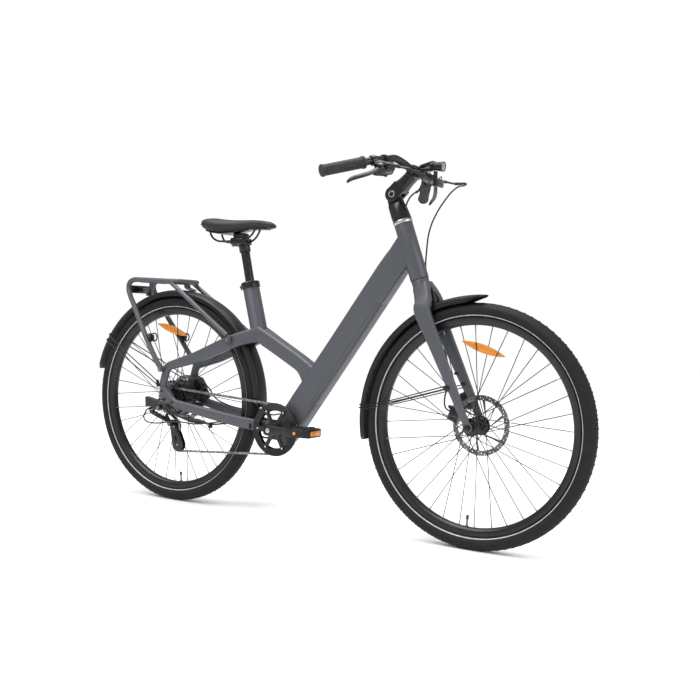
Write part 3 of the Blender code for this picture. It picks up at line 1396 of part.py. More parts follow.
def caliper_body(axle, disc_y, radius, angle, inward, outward):
    """A disc brake caliper over the disc's edge, reaching this far to both sides of the disc."""
    way = Vector((math.cos(angle), 0, math.sin(angle)))
    middle = axle + way * (radius - 0.0020)
    turn = Matrix.Rotation(-angle, 4, "Y")
    centre = middle + Vector((0, disc_y + (outward - inward) / 2, 0))
    body = bevelled(box(centre, (0.0340, inward + outward, 0.0460), turn), 0.0030)
    slot = box(middle + Vector((0, disc_y, 0)) - way * 0.0180, (0.0600, 0.0034, 0.0700), turn)
    return cut(body, slot), middle


def make_front_caliper():
    angle = math.radians(162)
    body, middle = caliper_body(FRONT_AXLE, FRONT_DISC_Y, FRONT_DISC_RADIUS, angle, 0.0140, 0.0180)
    knob = cross_rod(middle.x, middle.z, FRONT_DISC_Y + 0.0100, FRONT_DISC_Y + 0.0230, 0.0125, 12)
    lug_y = FRONT_DROPOUT_HALF - 0.0005 - GAP
    outline = front_points((-0.0940, 0.0470), (-0.0520, 0.0430), (-0.0380, 0.0530), (-0.0600, 0.0930), (-0.0720, 0.0910))
    lug = plate(outline, lug_y - 0.0050, lug_y)
    arm = plate(
        rounded_link(middle, middle + Vector((-0.0280, 0, 0.0190)), 0.0080, 0.0050), 0.0560, 0.0600
    )
    return named(united(body, knob, lug, arm), "front_caliper", BLACK_METAL)


def make_rear_caliper():
    """The rear caliper with the cable that leads from it into the down tube."""
    angle = math.radians(38)
    outward = REAR_DROPOUT_HALF - GAP - REAR_DISC_Y
    body, middle = caliper_body(REAR_AXLE, REAR_DISC_Y, REAR_DISC_RADIUS, angle, 0.0170, outward)
    knob = cross_rod(middle.x, middle.z, REAR_DISC_Y - 0.0200, REAR_DISC_Y - 0.0120, 0.0125, 12)
    end = along_tube(0.0300, -DOWN_TUBE_HALF_DEPTH - 0.0025)
    cable = tube(
        [
            middle + Vector((0.0040, REAR_DISC_Y - 0.0085, 0.0100)),
            by_rear(0.1000, 0.0460, 0.0450),
            by_rear(0.1350, 0.0480, 0.0080),
            by_rear(0.1830, 0.0420, -0.0090),
            by_rear(0.2600, 0.0330, -0.0200),
            by_rear(0.3400, 0.0290, -0.0240),
            by_rear(0.4100, 0.0170, -0.0280),
            end - TUBE_OUT * 0.0100 + Vector((0, 0.0060, 0)),
            end + Vector((0, 0.0060, 0)),
        ],
        CABLE_RADIUS,
        2,
        roundness=1,
    )
    return named(united(body, knob, cable), "rear_caliper", BLACK_METAL)


def make_rear_cables():
    """The motor's cable with its plug and the gear cable, clipped together under the right chain stay."""
    axle_end = -(REAR_DROPOUT_HALF + DROPOUT_THICKNESS + 0.0130 + 2 * GAP)
    bends = [
        (0.0000, axle_end - 0.0040, 0.3610),
        by_rear(0.0060, -0.0985, -0.0040),
        by_rear(0.0200, -0.0990, -0.0150),
        by_rear(0.0380, -0.0930, -0.0270),
        by_rear(0.0640, -0.0830, -0.0460),
        by_rear(0.0960, -0.0720, -0.0600),
        by_rear(0.1500, -0.0660, -0.0650),
        by_rear(0.2100, -0.0600, -0.0710),
        by_rear(0.2900, -0.0500, -0.0820),
        by_rear(0.3600, -0.0370, -0.0950),
        by_rear(0.4100, -0.0230, -0.1010),
        by_rear(0.4330, -0.0150, -0.0950),
    ]
    motor = tube([(0, axle_end, REAR_AXLE.z), *smooth_route(bends, 2)], 0.0030, roundness=1)
    plug = rod(by_rear(0.1000, -0.0716, -0.0602), by_rear(0.1750, -0.0634, -0.0670), 0.0065, 10)
    way = (GEAR_STOP_END - GEAR_STOP_ROOT).normalized()
    bends = [
        GEAR_STOP_END + way * 0.0066,
        by_rear(-0.0800, -0.0830, -0.0550),
        by_rear(-0.0790, -0.0880, -0.0710),
        by_rear(-0.0620, -0.0950, -0.0820),
        by_rear(-0.0300, -0.1000, -0.0850),
        by_rear(0.0100, -0.1010, -0.0810),
        by_rear(0.0500, -0.0980, -0.0740),
        by_rear(0.1000, -0.0880, -0.0710),
        by_rear(0.1500, -0.0770, -0.0740),
        by_rear(0.2100, -0.0680, -0.0800),
        by_rear(0.2800, -0.0520, -0.0920),
        by_rear(0.3600, -0.0300, -0.1050),
        by_rear(0.4200, -0.0100, -0.1130),
        along_tube(-0.0180, -DOWN_TUBE_HALF_DEPTH - 0.0060) + Vector((0, 0.0020, 0)),
    ]
    gear = tube([GEAR_STOP_END + way * 0.0006, *smooth_route(bends, 2)], 0.0024, roundness=1)
    clips = [
        box(by_rear(0.2100, -0.0640, -0.0755), (0.0080, 0.0180, 0.0180)),
        box(by_rear(0.3600, -0.0335, -0.1000), (0.0080, 0.0160, 0.0190)),
    ]
    return named(united(motor, plug, gathered(clips), gear), "rear_cables", BLACK_PLASTIC)


def make_front_brake_cable():
    """The cable from the left brake lever down behind the fork's crown to the front caliper."""
    cable = tube(
        [
            LEFT_CABLE_STOP + Vector((0.0010, 0, -0.0003)),
            by_clamp(0.0822, 0.1430, -0.0260),
            by_clamp(0.0822, 0.1300, -0.0500),
            by_clamp(0.0582, 0.1050, -0.0950),
            by_front(-0.1980, 0.0760, 0.5890),
            by_front(-0.2020, 0.0600, 0.5190),
            by_front(-0.1940, 0.0500, 0.4540),
            by_front(-0.1860, 0.0560, 0.3990),
            by_front(-0.1760, 0.0640, 0.3440),
            by_front(-0.1520, 0.0660, 0.2590),
            by_front(-0.1320, 0.0600, 0.1790),
            by_front(-0.1220, 0.0510, 0.1190),
            by_front(-0.1180, 0.0510, 0.0790),
            by_front(-0.1130, 0.0560, 0.0550),
        ],
        CABLE_RADIUS,
        2,
        roundness=1,
    )
    return named(cable, "front_brake_cable", RUBBER)


# Carrier and lights


def make_carrier():
    """The luggage carrier: a loop of tube with its legs, second struts, cross bars and fender brackets."""
    half, z = CARRIER_HALF_WIDTH, CARRIER_HEIGHT
    foot = by_rear(0.0080, REAR_DROPOUT_HALF + 0.0265, 0.1050)
    side = [
        foot,
        foot + Vector((-0.0290, 0, 0.0370)),
        (-0.1840, half + 0.0080, z - 0.0580),
        (-0.1970, half + 0.0040, z - 0.0320),
        (-0.1930, half, z - 0.0120),
        (-0.1750, half, z - 0.0010),
        (-0.1600, half, z),
        (0.0900, half, z),
        (CARRIER_FRONT - 0.0040, half - 0.0060, z),
        (CARRIER_FRONT, half - 0.0240, z),
    ]
    side = [Vector(p) for p in side]
    other = [Vector((p.x, -p.y, p.z)) for p in reversed(side)]
    carrier = tube([*side, *other], CARRIER_TUBE_RADIUS, roundness=1)
    struts = []
    bolts = []
    for sign in (-1, 1):
        top = Vector((0.0050, sign * half, z))
        end = by_rear(0.2740, sign * 0.0690, 0.2330)
        strut_tube = tube([top, end], 0.0070, roundness=1)
        lug = box(end + Vector((0.0040, 0, -0.0120)), (0.0220, 0.0056, 0.0260))
        bolt = cross_rod(foot.x, foot.z, sign * (foot.y - 0.0088), sign * (foot.y + 0.0090), 0.0075, 8)
        struts.append(united(strut_tube, lug))
        bolts.append(bolt)
    bars = [rod((x, -half, z), (x, half, z), 0.0060, 6) for x in (-0.1300, -0.0400, 0.0500)]
    rear_bracket = limb(
        [(-0.1300, 0, z, 0.0030, 0.0140), (-0.1340, 0, z - 0.0240, 0.0030, 0.0140), (-0.1480, 0, z - 0.0520, 0.0030, 0.0140)], 0.001
    )
    arm = limb([(-0.1340, 0, z - 0.0280, 0.0060, 0.0100), (-0.1700, 0, z - 0.0290, 0.0060, 0.0100)], 0.001)
    front_bracket = limb(
        [(0.1160, 0, z, 0.0030, 0.0140), (0.1060, 0, z - 0.0200, 0.0030, 0.0140), (0.0780, 0, z - 0.0300, 0.0030, 0.0140)], 0.001
    )
    carrier = united(carrier, *struts, gathered(bolts), gathered(bars), rear_bracket, arm, front_bracket)
    keep = MUDGUARD_RADIUS - 0.0020 + GAP
    clear = turned([(0.30, -0.05), (keep, -0.05), (keep, 0.05), (0.30, 0.05)], 96, REAR_AXLE)
    return named(cut(carrier, clear), "carrier", PAINT)


def make_tail_light():
    body = box((-0.1960, 0, CARRIER_HEIGHT - 0.0290), (0.0260, 0.1000, 0.0280))
    body = bevelled(body, 0.0060, 2)
    back = box((-0.1790, 0, CARRIER_HEIGHT - 0.0290), (0.0170, 0.0340, 0.0180))
    return named(united(body, back), "tail_light", RED_LENS)


def make_headlight():
    """The front lamp with its bracket and the white reflector below it."""
    axis = Vector((1, 0, -0.10)).normalized()
    back = by_clamp(0.0502, 0.0000, 0.0160)
    shell = rod(back, back + axis * 0.0440, 0.0125, 18, 0.0185)
    hollow = rod(back + axis * 0.0340, back + axis * 0.0600, 0.0155, 18)
    stalk = box(by_clamp(0.0362, 0.0000, 0.0050), (0.0400, 0.0140, 0.0100))
    lamp = cut(united(shell, stalk), hollow)
    reflector = box(by_clamp(0.0882, 0.0000, -0.0230), (0.0070, 0.0440, 0.0240))
    hanger = box(by_clamp(0.0712, 0.0000, -0.0140), (0.0090, 0.0120, 0.0320))
    foot = box(by_clamp(0.0792, 0.0000, -0.0250), (0.0200, 0.0110, 0.0060))
    lamp = united(lamp, united(reflector, hanger, foot))
    keep_off = cross_rod(CLAMP.x, CLAMP.z, -0.05, 0.05, 0.0205 + GAP, 16)
    lug = box(CLAMP + Vector((0.0180, 0, -0.0090)), (0.0146, 0.0406, 0.0226))
    return named(cut(lamp, keep_off, lug), "headlight", BLACK_PLASTIC)


def make_headlight_lens():
    axis = Vector((1, 0, -0.10)).normalized()
    back = by_clamp(0.0502, 0.0000, 0.0160) + axis * (0.0340 + GAP)
    return named(rod(back, back + axis * 0.0100, 0.0155 - GAP, 18), "headlight_lens", CLEAR_LENS)


# Handlebar and controls


def bar_route():
    """The left half of the handlebar's middle line, from the clamp to the end in the grip."""
    along = GRIP_ALONG
    knots = [
        Vector((CLAMP.x, 0.0000, CLAMP.z)),
        Vector((CLAMP.x, 0.0240, CLAMP.z)),
        Vector((CLAMP.x - 0.0040, 0.0420, CLAMP.z + 0.0100)),
        by_clamp(-0.0118, 0.0640, 0.0200),
        by_clamp(-0.0238, 0.0900, 0.0280),
        by_clamp(-0.0358, 0.1220, 0.0210),
        GRIP_START - along * 0.0400,
    ]
    return [*smooth_route(knots, 2), GRIP_START + along * BAR_IN_GRIP]


def bar_point(y):
    """The bar's middle line and direction at this distance to the left."""
    route = bar_route()
    for a, b in zip(route, route[1:]):
        if a.y <= y <= b.y:
            return a.lerp(b, (y - a.y) / (b.y - a.y)), (b - a).normalized()
    return route[-1], GRIP_ALONG


def whole_bar(extra=0.0):
    """The handlebar's tube, or one that is thicker and longer, for the holes of what it passes through."""
    side = bar_route()
    side[-1] = side[-1] + GRIP_ALONG * extra
    other = [Vector((p.x, -p.y, p.z)) for p in reversed(side[1:])]
    return tube([*other, *side], BAR_RADIUS + extra)


def make_handlebar():
    return named(whole_bar(), "handlebar", BLACK_METAL)


def make_grip(name, side):
    start = GRIP_START + GRIP_ALONG * 0.0005
    end = start + GRIP_ALONG * (BAR_IN_GRIP + GRIP_END_WALL)
    grip = rod(start, end - GRIP_ALONG * 0.0010, GRIP_RADIUS, 16)
    collar = rod(start, start + GRIP_ALONG * 0.0080, GRIP_RADIUS + 0.0020, 16)
    cap = rod(end - GRIP_ALONG * 0.0060, end, GRIP_RADIUS + 0.0015, 16)
    grip = cut(united(grip, collar, cap), whole_bar(GAP))
    if side < 0:
        right = mirrored(grip)
        bpy.data.objects.remove(grip, do_unlink=True)
        grip = right
    return named(grip, name, RUBBER)


def brake_pivot():
    """The lever's pivot on the left half of the bar."""
    spot, along, ahead, _ = control_frame(BRAKE_Y)
    return spot + ahead * 0.0330 - along * 0.0060


def make_brake_mount(name, side):
    """The clamp, the perch that the lever turns on and the cable's barrel."""
    spot, along, ahead, up = control_frame(BRAKE_Y)
    ring = rod(spot - along * 0.0075, spot + along * 0.0075, BAR_RADIUS + 0.0042, 12)
    pivot = brake_pivot()
    perch = loft(
        [
            section(spot + ahead * d + along * s, along * a, up * h, 0.002)
            for d, s, a, h in ((0.0090, 0, 0.0075, 0.0090), (0.0200, -0.010, 0.0180, 0.0075), (0.0290, -0.012, 0.0180, 0.0060))
        ]
    )
    eye = rod(pivot - up * 0.0100, pivot + up * 0.0100, 0.0070, 10)
    jaw = rod(pivot - up * 0.0035, pivot + up * 0.0035, 0.0200, 12)
    pin = rod(pivot - up * 0.0100, pivot + up * 0.0100, 0.0022, 6)
    stop = LEFT_CABLE_STOP
    shoulder = spot + ahead * 0.0200 - along * 0.0220
    barrel = united(
        rod(shoulder, shoulder.lerp(stop, 0.60), 0.0058, 10, 0.0045), rod(shoulder.lerp(stop, 0.55), stop, 0.0034, 8)
    )
    mount = united(ring, perch, eye)
    mount = united(cut(mount, jaw), pin)
    mount = united(mount, barrel)
    mount = cut(mount, whole_bar(GAP))
    if side < 0:
        right = mirrored(mount)
        bpy.data.objects.remove(mount, do_unlink=True)
        mount = right
    return named(mount, name, BLACK_METAL)


def make_brake_lever(name, side):
    """A lever blade that reaches outwards in front of the grip."""
    spot, along, ahead, up = control_frame(BRAKE_Y)
    pivot = brake_pivot()
    stations = (
        (-0.0050, 0.0000, 0.0050, 0.0030),
        (0.0080, 0.0020, 0.0065, 0.0030),
        (0.0250, 0.0080, 0.0060, 0.0045),
        (0.0500, 0.0130, 0.0055, 0.0055),
        (0.0800, 0.0140, 0.0050, 0.0055),
        (0.1020, 0.0090, 0.0050, 0.0055),
        (0.1120, 0.0110, 0.0040, 0.0045),
    )
    rings = [section(pivot + along * a + ahead * o, ahead * h, up * w, 0.0015) for a, o, h, w in stations]
    lever = loft(rings)
    eye = rod(pivot - up * 0.0032, pivot + up * 0.0032, 0.0065, 12)
    hole = rod(pivot - up * 0.02, pivot + up * 0.02, 0.0022 + GAP, 8)
    lever = cut(united(lever, eye), hole)
    if side < 0:
        right = mirrored(lever)
        bpy.data.objects.remove(lever, do_unlink=True)
        lever = right
    return named(lever, name, BLACK_METAL)


def control_frame(y):
    """A control's place on the left half of the bar, with directions along it, ahead and down."""
    spot, along = bar_point(y)
    ahead = Vector((0.82, 0, -0.57))
    ahead = (ahead - along * ahead.dot(along)).normalized()
    return spot, along, ahead, along.cross(ahead)


def clamp_ring(y, half_width, thickness):
    spot, along, _, _ = control_frame(y)
    return rod(spot - along * half_width, spot + along * half_width, BAR_RADIUS + thickness, 12)


def to_right(item):
    right = mirrored(item)
    bpy.data.objects.remove(item, do_unlink=True)
    return right


def shifter_pivot():
    """The thumb lever's pivot on the left half of the bar, and its axis; the right side mirrors it."""
    spot, along, ahead, down = control_frame(SHIFTER_Y)
    return spot + ahead * 0.0240 + down * 0.0270, down


def make_shifter_body():
    spot, along, ahead, down = control_frame(SHIFTER_Y)
    ring = clamp_ring(SHIFTER_Y, 0.0060, 0.0034)
    block = loft(
        [
            section(spot + ahead * 0.0240 + down * d, along * a, ahead * h, 0.005)
            for d, a, h in ((-0.0060, 0.0170, 0.0120), (0.0000, 0.0200, 0.0140), (0.0170, 0.0190, 0.0130))
        ]
    )
    start = spot + ahead * 0.0250 + down * 0.0050 - along * 0.0150
    barrel = rod(start, start - along * 0.0260 + ahead * 0.0060, 0.0042, 10, 0.0034)
    pivot, axis = shifter_pivot()
    pin = rod(pivot - axis * 0.0120, pivot + axis * 0.0030, 0.0030, 10)
    body = cut(united(ring, block), whole_bar(GAP))
    return named(to_right(united(body, barrel, pin)), "shifter_body", BLACK_PLASTIC)


def make_shifter_lever():
    """The thumb lever below the shifter's body, pointing out under the grip."""
    spot, along, ahead, down = control_frame(SHIFTER_Y)
    pivot, axis = shifter_pivot()
    blade = loft(
        [
            section(pivot + along * a + ahead * o - down * 0.0020, ahead * h, down * w, 0.001)
            for a, o, h, w in ((-0.0040, 0, 0.0060, 0.0030), (0.0200, -0.0040, 0.0060, 0.0030), (0.0420, -0.0120, 0.0065, 0.0040))
        ]
    )
    eye = rod(pivot - axis * 0.0052, pivot + axis * 0.0012, 0.0085, 14)
    hole = rod(pivot - axis * 0.02, pivot + axis * 0.02, 0.0030 + GAP, 10)
    lever = to_right(cut(united(eye, blade), hole))
    return named(lever, "shifter_lever", BLACK_PLASTIC)


def bell_middle():
    """The middle of the bell's dome, and the direction that the dome faces."""
    spot, along, ahead, down = control_frame(BELL_Y)
    return spot + ahead * 0.0340, (ahead * 0.6 + down * 0.8).normalized()


def make_bell():
    spot, along, ahead, down = control_frame(BELL_Y)
    ring = clamp_ring(BELL_Y, 0.0050, 0.0030)
    middle, face = bell_middle()
    post = rod(spot + ahead * BAR_RADIUS, middle, 0.0050, 8)
    dome = rod(middle - face * 0.0020, middle + face * 0.0080, 0.0205, 18, 0.0175)
    top = rod(middle + face * 0.0075, middle + face * 0.0140, 0.0175, 18, 0.0090)
    return named(cut(united(ring, post, dome, top), whole_bar(GAP)), "bell", BLACK_METAL)


def bell_striker_pivot():
    middle, face = bell_middle()
    _, along, _, _ = control_frame(BELL_Y)
    return middle + along * 0.0094 - face * 0.0060, face


def make_bell_striker():
    """The sprung hammer behind the dome's edge."""
    pivot, face = bell_striker_pivot()
    _, along, _, _ = control_frame(BELL_Y)
    side = face.cross(along)
    arm = loft(
        [
            section(pivot + along * a, side * h, face * 0.0013, 0.0005)
            for a, h in ((-0.0040, 0.0040), (0.0080, 0.0030), (0.0180, 0.0045))
        ]
    )
    knob = rod(pivot + along * 0.0150 - face * 0.0010, pivot + along * 0.0150 + face * 0.0060, 0.0028, 8)
    return named(united(arm, knob), "bell_striker", BLACK_METAL)


def display_frame():
    """The display's middle, the way it faces and its edge that points ahead."""
    face = Vector((-0.25, 0, 0.968)).normalized()
    ahead = Vector((face.z, 0, -face.x))
    return CLAMP + Vector((0.0180, 0.0210, 0.0345)), face, ahead


def make_display():
    middle, face, ahead = display_frame()
    ring = clamp_ring(DISPLAY_Y, 0.0045, 0.0032)
    spot, _ = bar_point(DISPLAY_Y)
    body = loft(
        [
            section(middle + face * d, ahead * (0.0230 - e), Vector((0, 0.0200 - e, 0)), 0.0050)
            for d, e in ((-0.0060, 0.0020), (-0.0040, 0.0), (0.0040, 0.0), (0.0060, 0.0020))
        ]
    )
    post = rod(spot + Vector((0.0040, 0, BAR_RADIUS - 0.0030)), middle + Vector((-0.0060, 0.0120, 0)), 0.0050, 8)
    pocket = rod(button_middle() - face * 0.0035, button_middle() + face * 0.01, BUTTON_RADIUS + GAP, 14)
    return named(cut(united(ring, body, post), whole_bar(GAP), pocket), "display", BLACK_PLASTIC)


def button_middle():
    """The middle of the button's pocket at the display's surface."""
    middle, face, ahead = display_frame()
    return middle + face * 0.0060 - ahead * 0.0150


def make_display_button():
    _, face, _ = display_frame()
    spot = button_middle()
    return named(rod(spot - face * 0.0020, spot + face * 0.0012, BUTTON_RADIUS, 14), "display_button", BLACK_PLASTIC)


def make_control_cables():
    """The right brake's cable and the shifter's cable, which join and enter the stem's base."""
    main = tube(
        [
            Vector((LEFT_CABLE_STOP.x + 0.0010, -LEFT_CABLE_STOP.y, LEFT_CABLE_STOP.z - 0.0003)),
            by_clamp(0.0882, -0.1350, -0.0260),
            by_clamp(0.0972, -0.1050, -0.0400),
            by_clamp(0.0802, -0.0700, -0.0520),
            by_clamp(0.0412, -0.0430, -0.0610),
            by_clamp(0.0062, -0.0250, -0.0700),
            by_clamp(-0.0158, -0.0120, -0.0860),
            CABLE_ENTRY,
        ],
        CABLE_RADIUS,
        2,
        roundness=1,
    )
    spot, along, ahead, down = control_frame(SHIFTER_Y)
    way = (ahead * 0.0060 - along * 0.0260).normalized()
    start = spot + ahead * 0.0310 + down * 0.0050 - along * 0.0410 + way * 0.0006
    bend = start + way * 0.0100
    route = smooth_route(
        [
            Vector((bend.x, -bend.y, bend.z)),
            by_clamp(0.0322, -0.0640, -0.0100),
            by_clamp(0.0482, -0.0500, -0.0300),
            by_clamp(0.0382, -0.0400, -0.0540),
            by_clamp(0.0242, -0.0340, -0.0650),
        ],
        2,
    )
    shift = tube([Vector((start.x, -start.y, start.z)), *route], CABLE_RADIUS, roundness=1)
    return named(united(main, shift), "control_cables", RUBBER)


# Seat


def make_seatpost():
    foot = SEAT_TUBE_TOP - SEAT_UP * SEAT_POST_INSERTED
    top = SEAT_TUBE_TOP + SEAT_UP * SEAT_POST_SHOWN
    return named(rod(foot, top, SEAT_POST_RADIUS, 20), "seatpost", BLACK_METAL)


SADDLE_STATIONS = (
    (-0.2259, 0.0400, 0.2200, 0.2050),
    (-0.2199, 0.0580, 0.2280, 0.1970),
    (-0.2049, 0.0720, 0.2320, 0.1880),
    (-0.1749, 0.0780, 0.2310, 0.1820),
    (-0.1399, 0.0740, 0.2270, 0.1790),
    (-0.0999, 0.0590, 0.2230, 0.1780),
    (-0.0599, 0.0430, 0.2210, 0.1800),
    (-0.0149, 0.0320, 0.2205, 0.1840),
    (0.0301, 0.0270, 0.2195, 0.1870),
    (0.0651, 0.0240, 0.2165, 0.1885),
    (0.0871, 0.0190, 0.2100, 0.1900),
    (0.0961, 0.0100, 0.2030, 0.1930),
)


def make_saddle():
    rings = []
    for x, half_width, top, bottom in SADDLE_STATIONS:
        half = (top - bottom) / 2
        middle = SEAT_TUBE_TOP + Vector((x, 0, (top + bottom) / 2))
        ring = section(middle, Vector((0, 0, half)), Vector((0, half_width, 0)), half * 0.95, 3)
        rings.append(ring)
    return named(loft(rings), "saddle", SADDLE_COVER)


def make_saddle_rails():
    """The saddle's shell, its two rails and the clamp on the post."""
    rings = []
    for x, half_width, _, bottom in SADDLE_STATIONS[2:-2]:
        top = bottom - GAP
        rings.append(
            section(SEAT_TUBE_TOP + Vector((x, 0, top - 0.0025)), Vector((0, 0, 0.0025)), Vector((0, half_width * 0.72, 0)), 0.0008)
        )
    shell = loft(rings)
    rails = []
    for side in (-1, 1):
        route = [
            SEAT_TUBE_TOP + Vector((-0.1899, side * 0.0310, 0.1810)),
            SEAT_TUBE_TOP + Vector((-0.1699, side * 0.0290, 0.1670)),
            SEAT_TUBE_TOP + Vector((-0.1429, side * 0.0240, 0.1560)),
            SEAT_TUBE_TOP + Vector((-0.1149, side * 0.0215, 0.1540)),
            SEAT_TUBE_TOP + Vector((-0.0429, side * 0.0215, 0.1540)),
            SEAT_TUBE_TOP + Vector((-0.0169, side * 0.0200, 0.1570)),
            SEAT_TUBE_TOP + Vector((0.0071, side * 0.0160, 0.1700)),
            SEAT_TUBE_TOP + Vector((0.0211, side * 0.0135, 0.1805)),
        ]
        rails.append(tube(route, 0.0035, roundness=1))
    head = SEAT_TUBE_TOP + SEAT_UP * SEAT_POST_SHOWN
    clamp = bevelled(box(head + Vector((-0.0120, 0, 0.0030)), (0.0460, 0.0560, 0.0190)), 0.0030)
    sleeve = rod(head - SEAT_UP * 0.0340, head + SEAT_UP * 0.0060, SEAT_POST_RADIUS + 0.0040, 18)
    bolt = cross_rod(head.x - 0.0280, head.z - 0.0100, -0.0200, 0.0200, 0.0060, 10)
    bore = rod(head - SEAT_UP * 0.06, head + SEAT_UP * GAP, SEAT_POST_RADIUS + GAP, 20)
    rails_set = cut(united(shell, gathered(rails), clamp, sleeve, bolt), bore)
    return named(rails_set, "saddle_rails", BLACK_METAL)


def make_kickstand():
    """The stand's leg, folded back along the wheel."""
    pivot = KICKSTAND_PIVOT
    way = Vector((-0.3230, 0.0050, -0.0200)).normalized()
    eye = cross_rod(pivot.x, pivot.z, pivot.y - KICKSTAND_HALF, pivot.y + KICKSTAND_HALF, 0.0130, 12)
    leg = rod(pivot + way * 0.0060, pivot + way * 0.2600, KICKSTAND_HALF - 0.0002, 8)
    over = Vector((-way.z, 0, way.x))
    foot = loft(
        [
            section(pivot + way * d, over * h, Vector((0, w, 0)), 0.004)
            for d, h, w in ((0.2450, 0.0095, 0.0095), (0.2800, 0.0130, 0.0105), (0.3180, 0.0170, 0.0120))
        ]
    )
    hole = cross_rod(pivot.x, pivot.z, pivot.y - 0.05, pivot.y + 0.05, around(0.0040 + GAP, 8), 8)
    return named(cut(united(eye, leg, foot), hole), "kickstand", BLACK_METAL)


def moving_places():
    """For each place that pieces turn or slide about, the place and the names of those pieces."""

    def right(place):
        return Vector((place.x, -place.y, place.z))

    chain_side = Vector((0, CHAIN_LINE, 0))
    wheel = ("hub", "rim", "tyre", "disc", "wheel_reflector")
    front = [f"front_{piece}" for piece in wheel]
    rear = [f"rear_{piece}" for piece in (*wheel[1:], "hub_motor")]
    steered = ("fork", "stem_base", "front_axle", "front_mudguard", "front_caliper", "front_brake_cable")
    barred = ["stem_arm", "handlebar", "right_grip", "left_grip", "right_brake_mount", "left_brake_mount"]
    barred += ["shifter_body", "bell", "display", "headlight", "headlight_lens", "control_cables"]
    return [
        (REAR_AXLE, [*rear, "cassette"]),
        (FRONT_AXLE, front),
        (BRACKET, ["right_crank", "left_crank"]),
        (crank_end(-1), ["right_pedal"]),
        (crank_end(1), ["left_pedal"]),
        (CROWN, steered),
        (STEM_PIVOT, barred),
        (right(brake_pivot()), ["right_brake_lever"]),
        (brake_pivot(), ["left_brake_lever"]),
        (right(shifter_pivot()[0]), ["shifter_lever"]),
        (bell_striker_pivot()[0], ["bell_striker"]),
        (button_middle(), ["display_button"]),
        (LINK_NEAR, ["derailleur_link"]),
        (LINK_FAR, ["derailleur_pivot_knuckle"]),
        (CAGE_PIVOT + chain_side, ["derailleur_cage"]),
        (wheel_centre(1) + chain_side, ["jockey_wheel_lower"]),
        (wheel_centre(2) + chain_side, ["jockey_wheel_upper"]),
        (SEAT_TUBE_TOP, ["seatpost", "saddle_rails", "saddle"]),
        (KICKSTAND_PIVOT, ["kickstand"]),
        (along_tube(BATTERY_START + BATTERY_LENGTH / 2), ["battery"]),
    ]


def set_in_place():
    """Centres the bicycle on the origin and puts each moving piece's own origin on its joint."""
    for item in COLLECTION.objects:
        item.data.transform(Matrix.Translation((REAR_X, 0, 0)))
    for place, names in moving_places():
        origin = place + Vector((REAR_X, 0, 0))
        for name in names:
            item = COLLECTION.objects[name]
            item.data.transform(Matrix.Translation(-origin))
            item.location = origin
    bpy.context.view_layer.update()


def build():
    make_frame()
    make_headset_ring()
    make_bottom_bracket()
    make_seat_collar()
    make_battery()
    make_carrier()
    make_tail_light()
    make_rear_mudguard()
    make_rear_caliper()
    make_rear_cables()
    make_hanger_knuckle()
    make_link()
    make_pivot_knuckle()
    make_cage()
    make_jockey("jockey_wheel_lower", 1)
    make_jockey("jockey_wheel_upper", 2)
    make_chain()
    axle_with_nuts(
        "rear_axle", REAR_AXLE, REAR_AXLE_RADIUS, REAR_DROPOUT_HALF, DROPOUT_THICKNESS, 0.0105, STEEL
    )
    make_motor_hub()
    make_rim("rear_rim", REAR_AXLE, REAR_VALVE_ANGLE)
    make_tyre("rear_tyre", REAR_AXLE, REAR_VALVE_ANGLE)
    make_disc("rear_disc", REAR_AXLE, REAR_DISC_Y, REAR_DISC_RADIUS)
    make_wheel_reflector("rear_wheel_reflector", REAR_AXLE, math.radians(96), math.radians(16))
    make_cassette()
    make_right_crank()
    make_left_crank()
    make_pedal("right_pedal", -1)
    make_pedal("left_pedal", 1)
    make_fork()
    make_stem_base()
    axle_with_nuts("front_axle", FRONT_AXLE, FRONT_AXLE_RADIUS, FRONT_DROPOUT_HALF, 0.0070, 0.0090, STEEL)
    make_front_mudguard()
    make_front_caliper()
    make_front_brake_cable()
    make_front_hub()
    make_rim("front_rim", FRONT_AXLE, FRONT_VALVE_ANGLE)
    make_tyre("front_tyre", FRONT_AXLE, FRONT_VALVE_ANGLE)
    make_disc("front_disc", FRONT_AXLE, FRONT_DISC_Y, FRONT_DISC_RADIUS)
    make_wheel_reflector("front_wheel_reflector", FRONT_AXLE, math.radians(86), math.radians(17))
    make_stem_arm()
    make_handlebar()
    make_grip("right_grip", -1)
    make_grip("left_grip", 1)
    make_brake_mount("right_brake_mount", -1)
    make_brake_mount("left_brake_mount", 1)
    make_brake_lever("right_brake_lever", -1)
    make_brake_lever("left_brake_lever", 1)
    make_shifter_body()
    make_shifter_lever()
    make_bell()
    make_bell_striker()
    make_display()
    make_display_button()
    make_headlight()
    make_headlight_lens()
    make_control_cables()
    make_seatpost()
    make_saddle_rails()
    make_saddle()
    make_kickstand()
    set_in_place()


clear_scene()
build()
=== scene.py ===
"""An electric city bicycle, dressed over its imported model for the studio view."""

from math import asin, atan2, ceil, copysign, cos, exp, pi, radians, sin, tau

import bmesh
import bpy
from mathutils import Matrix, Vector


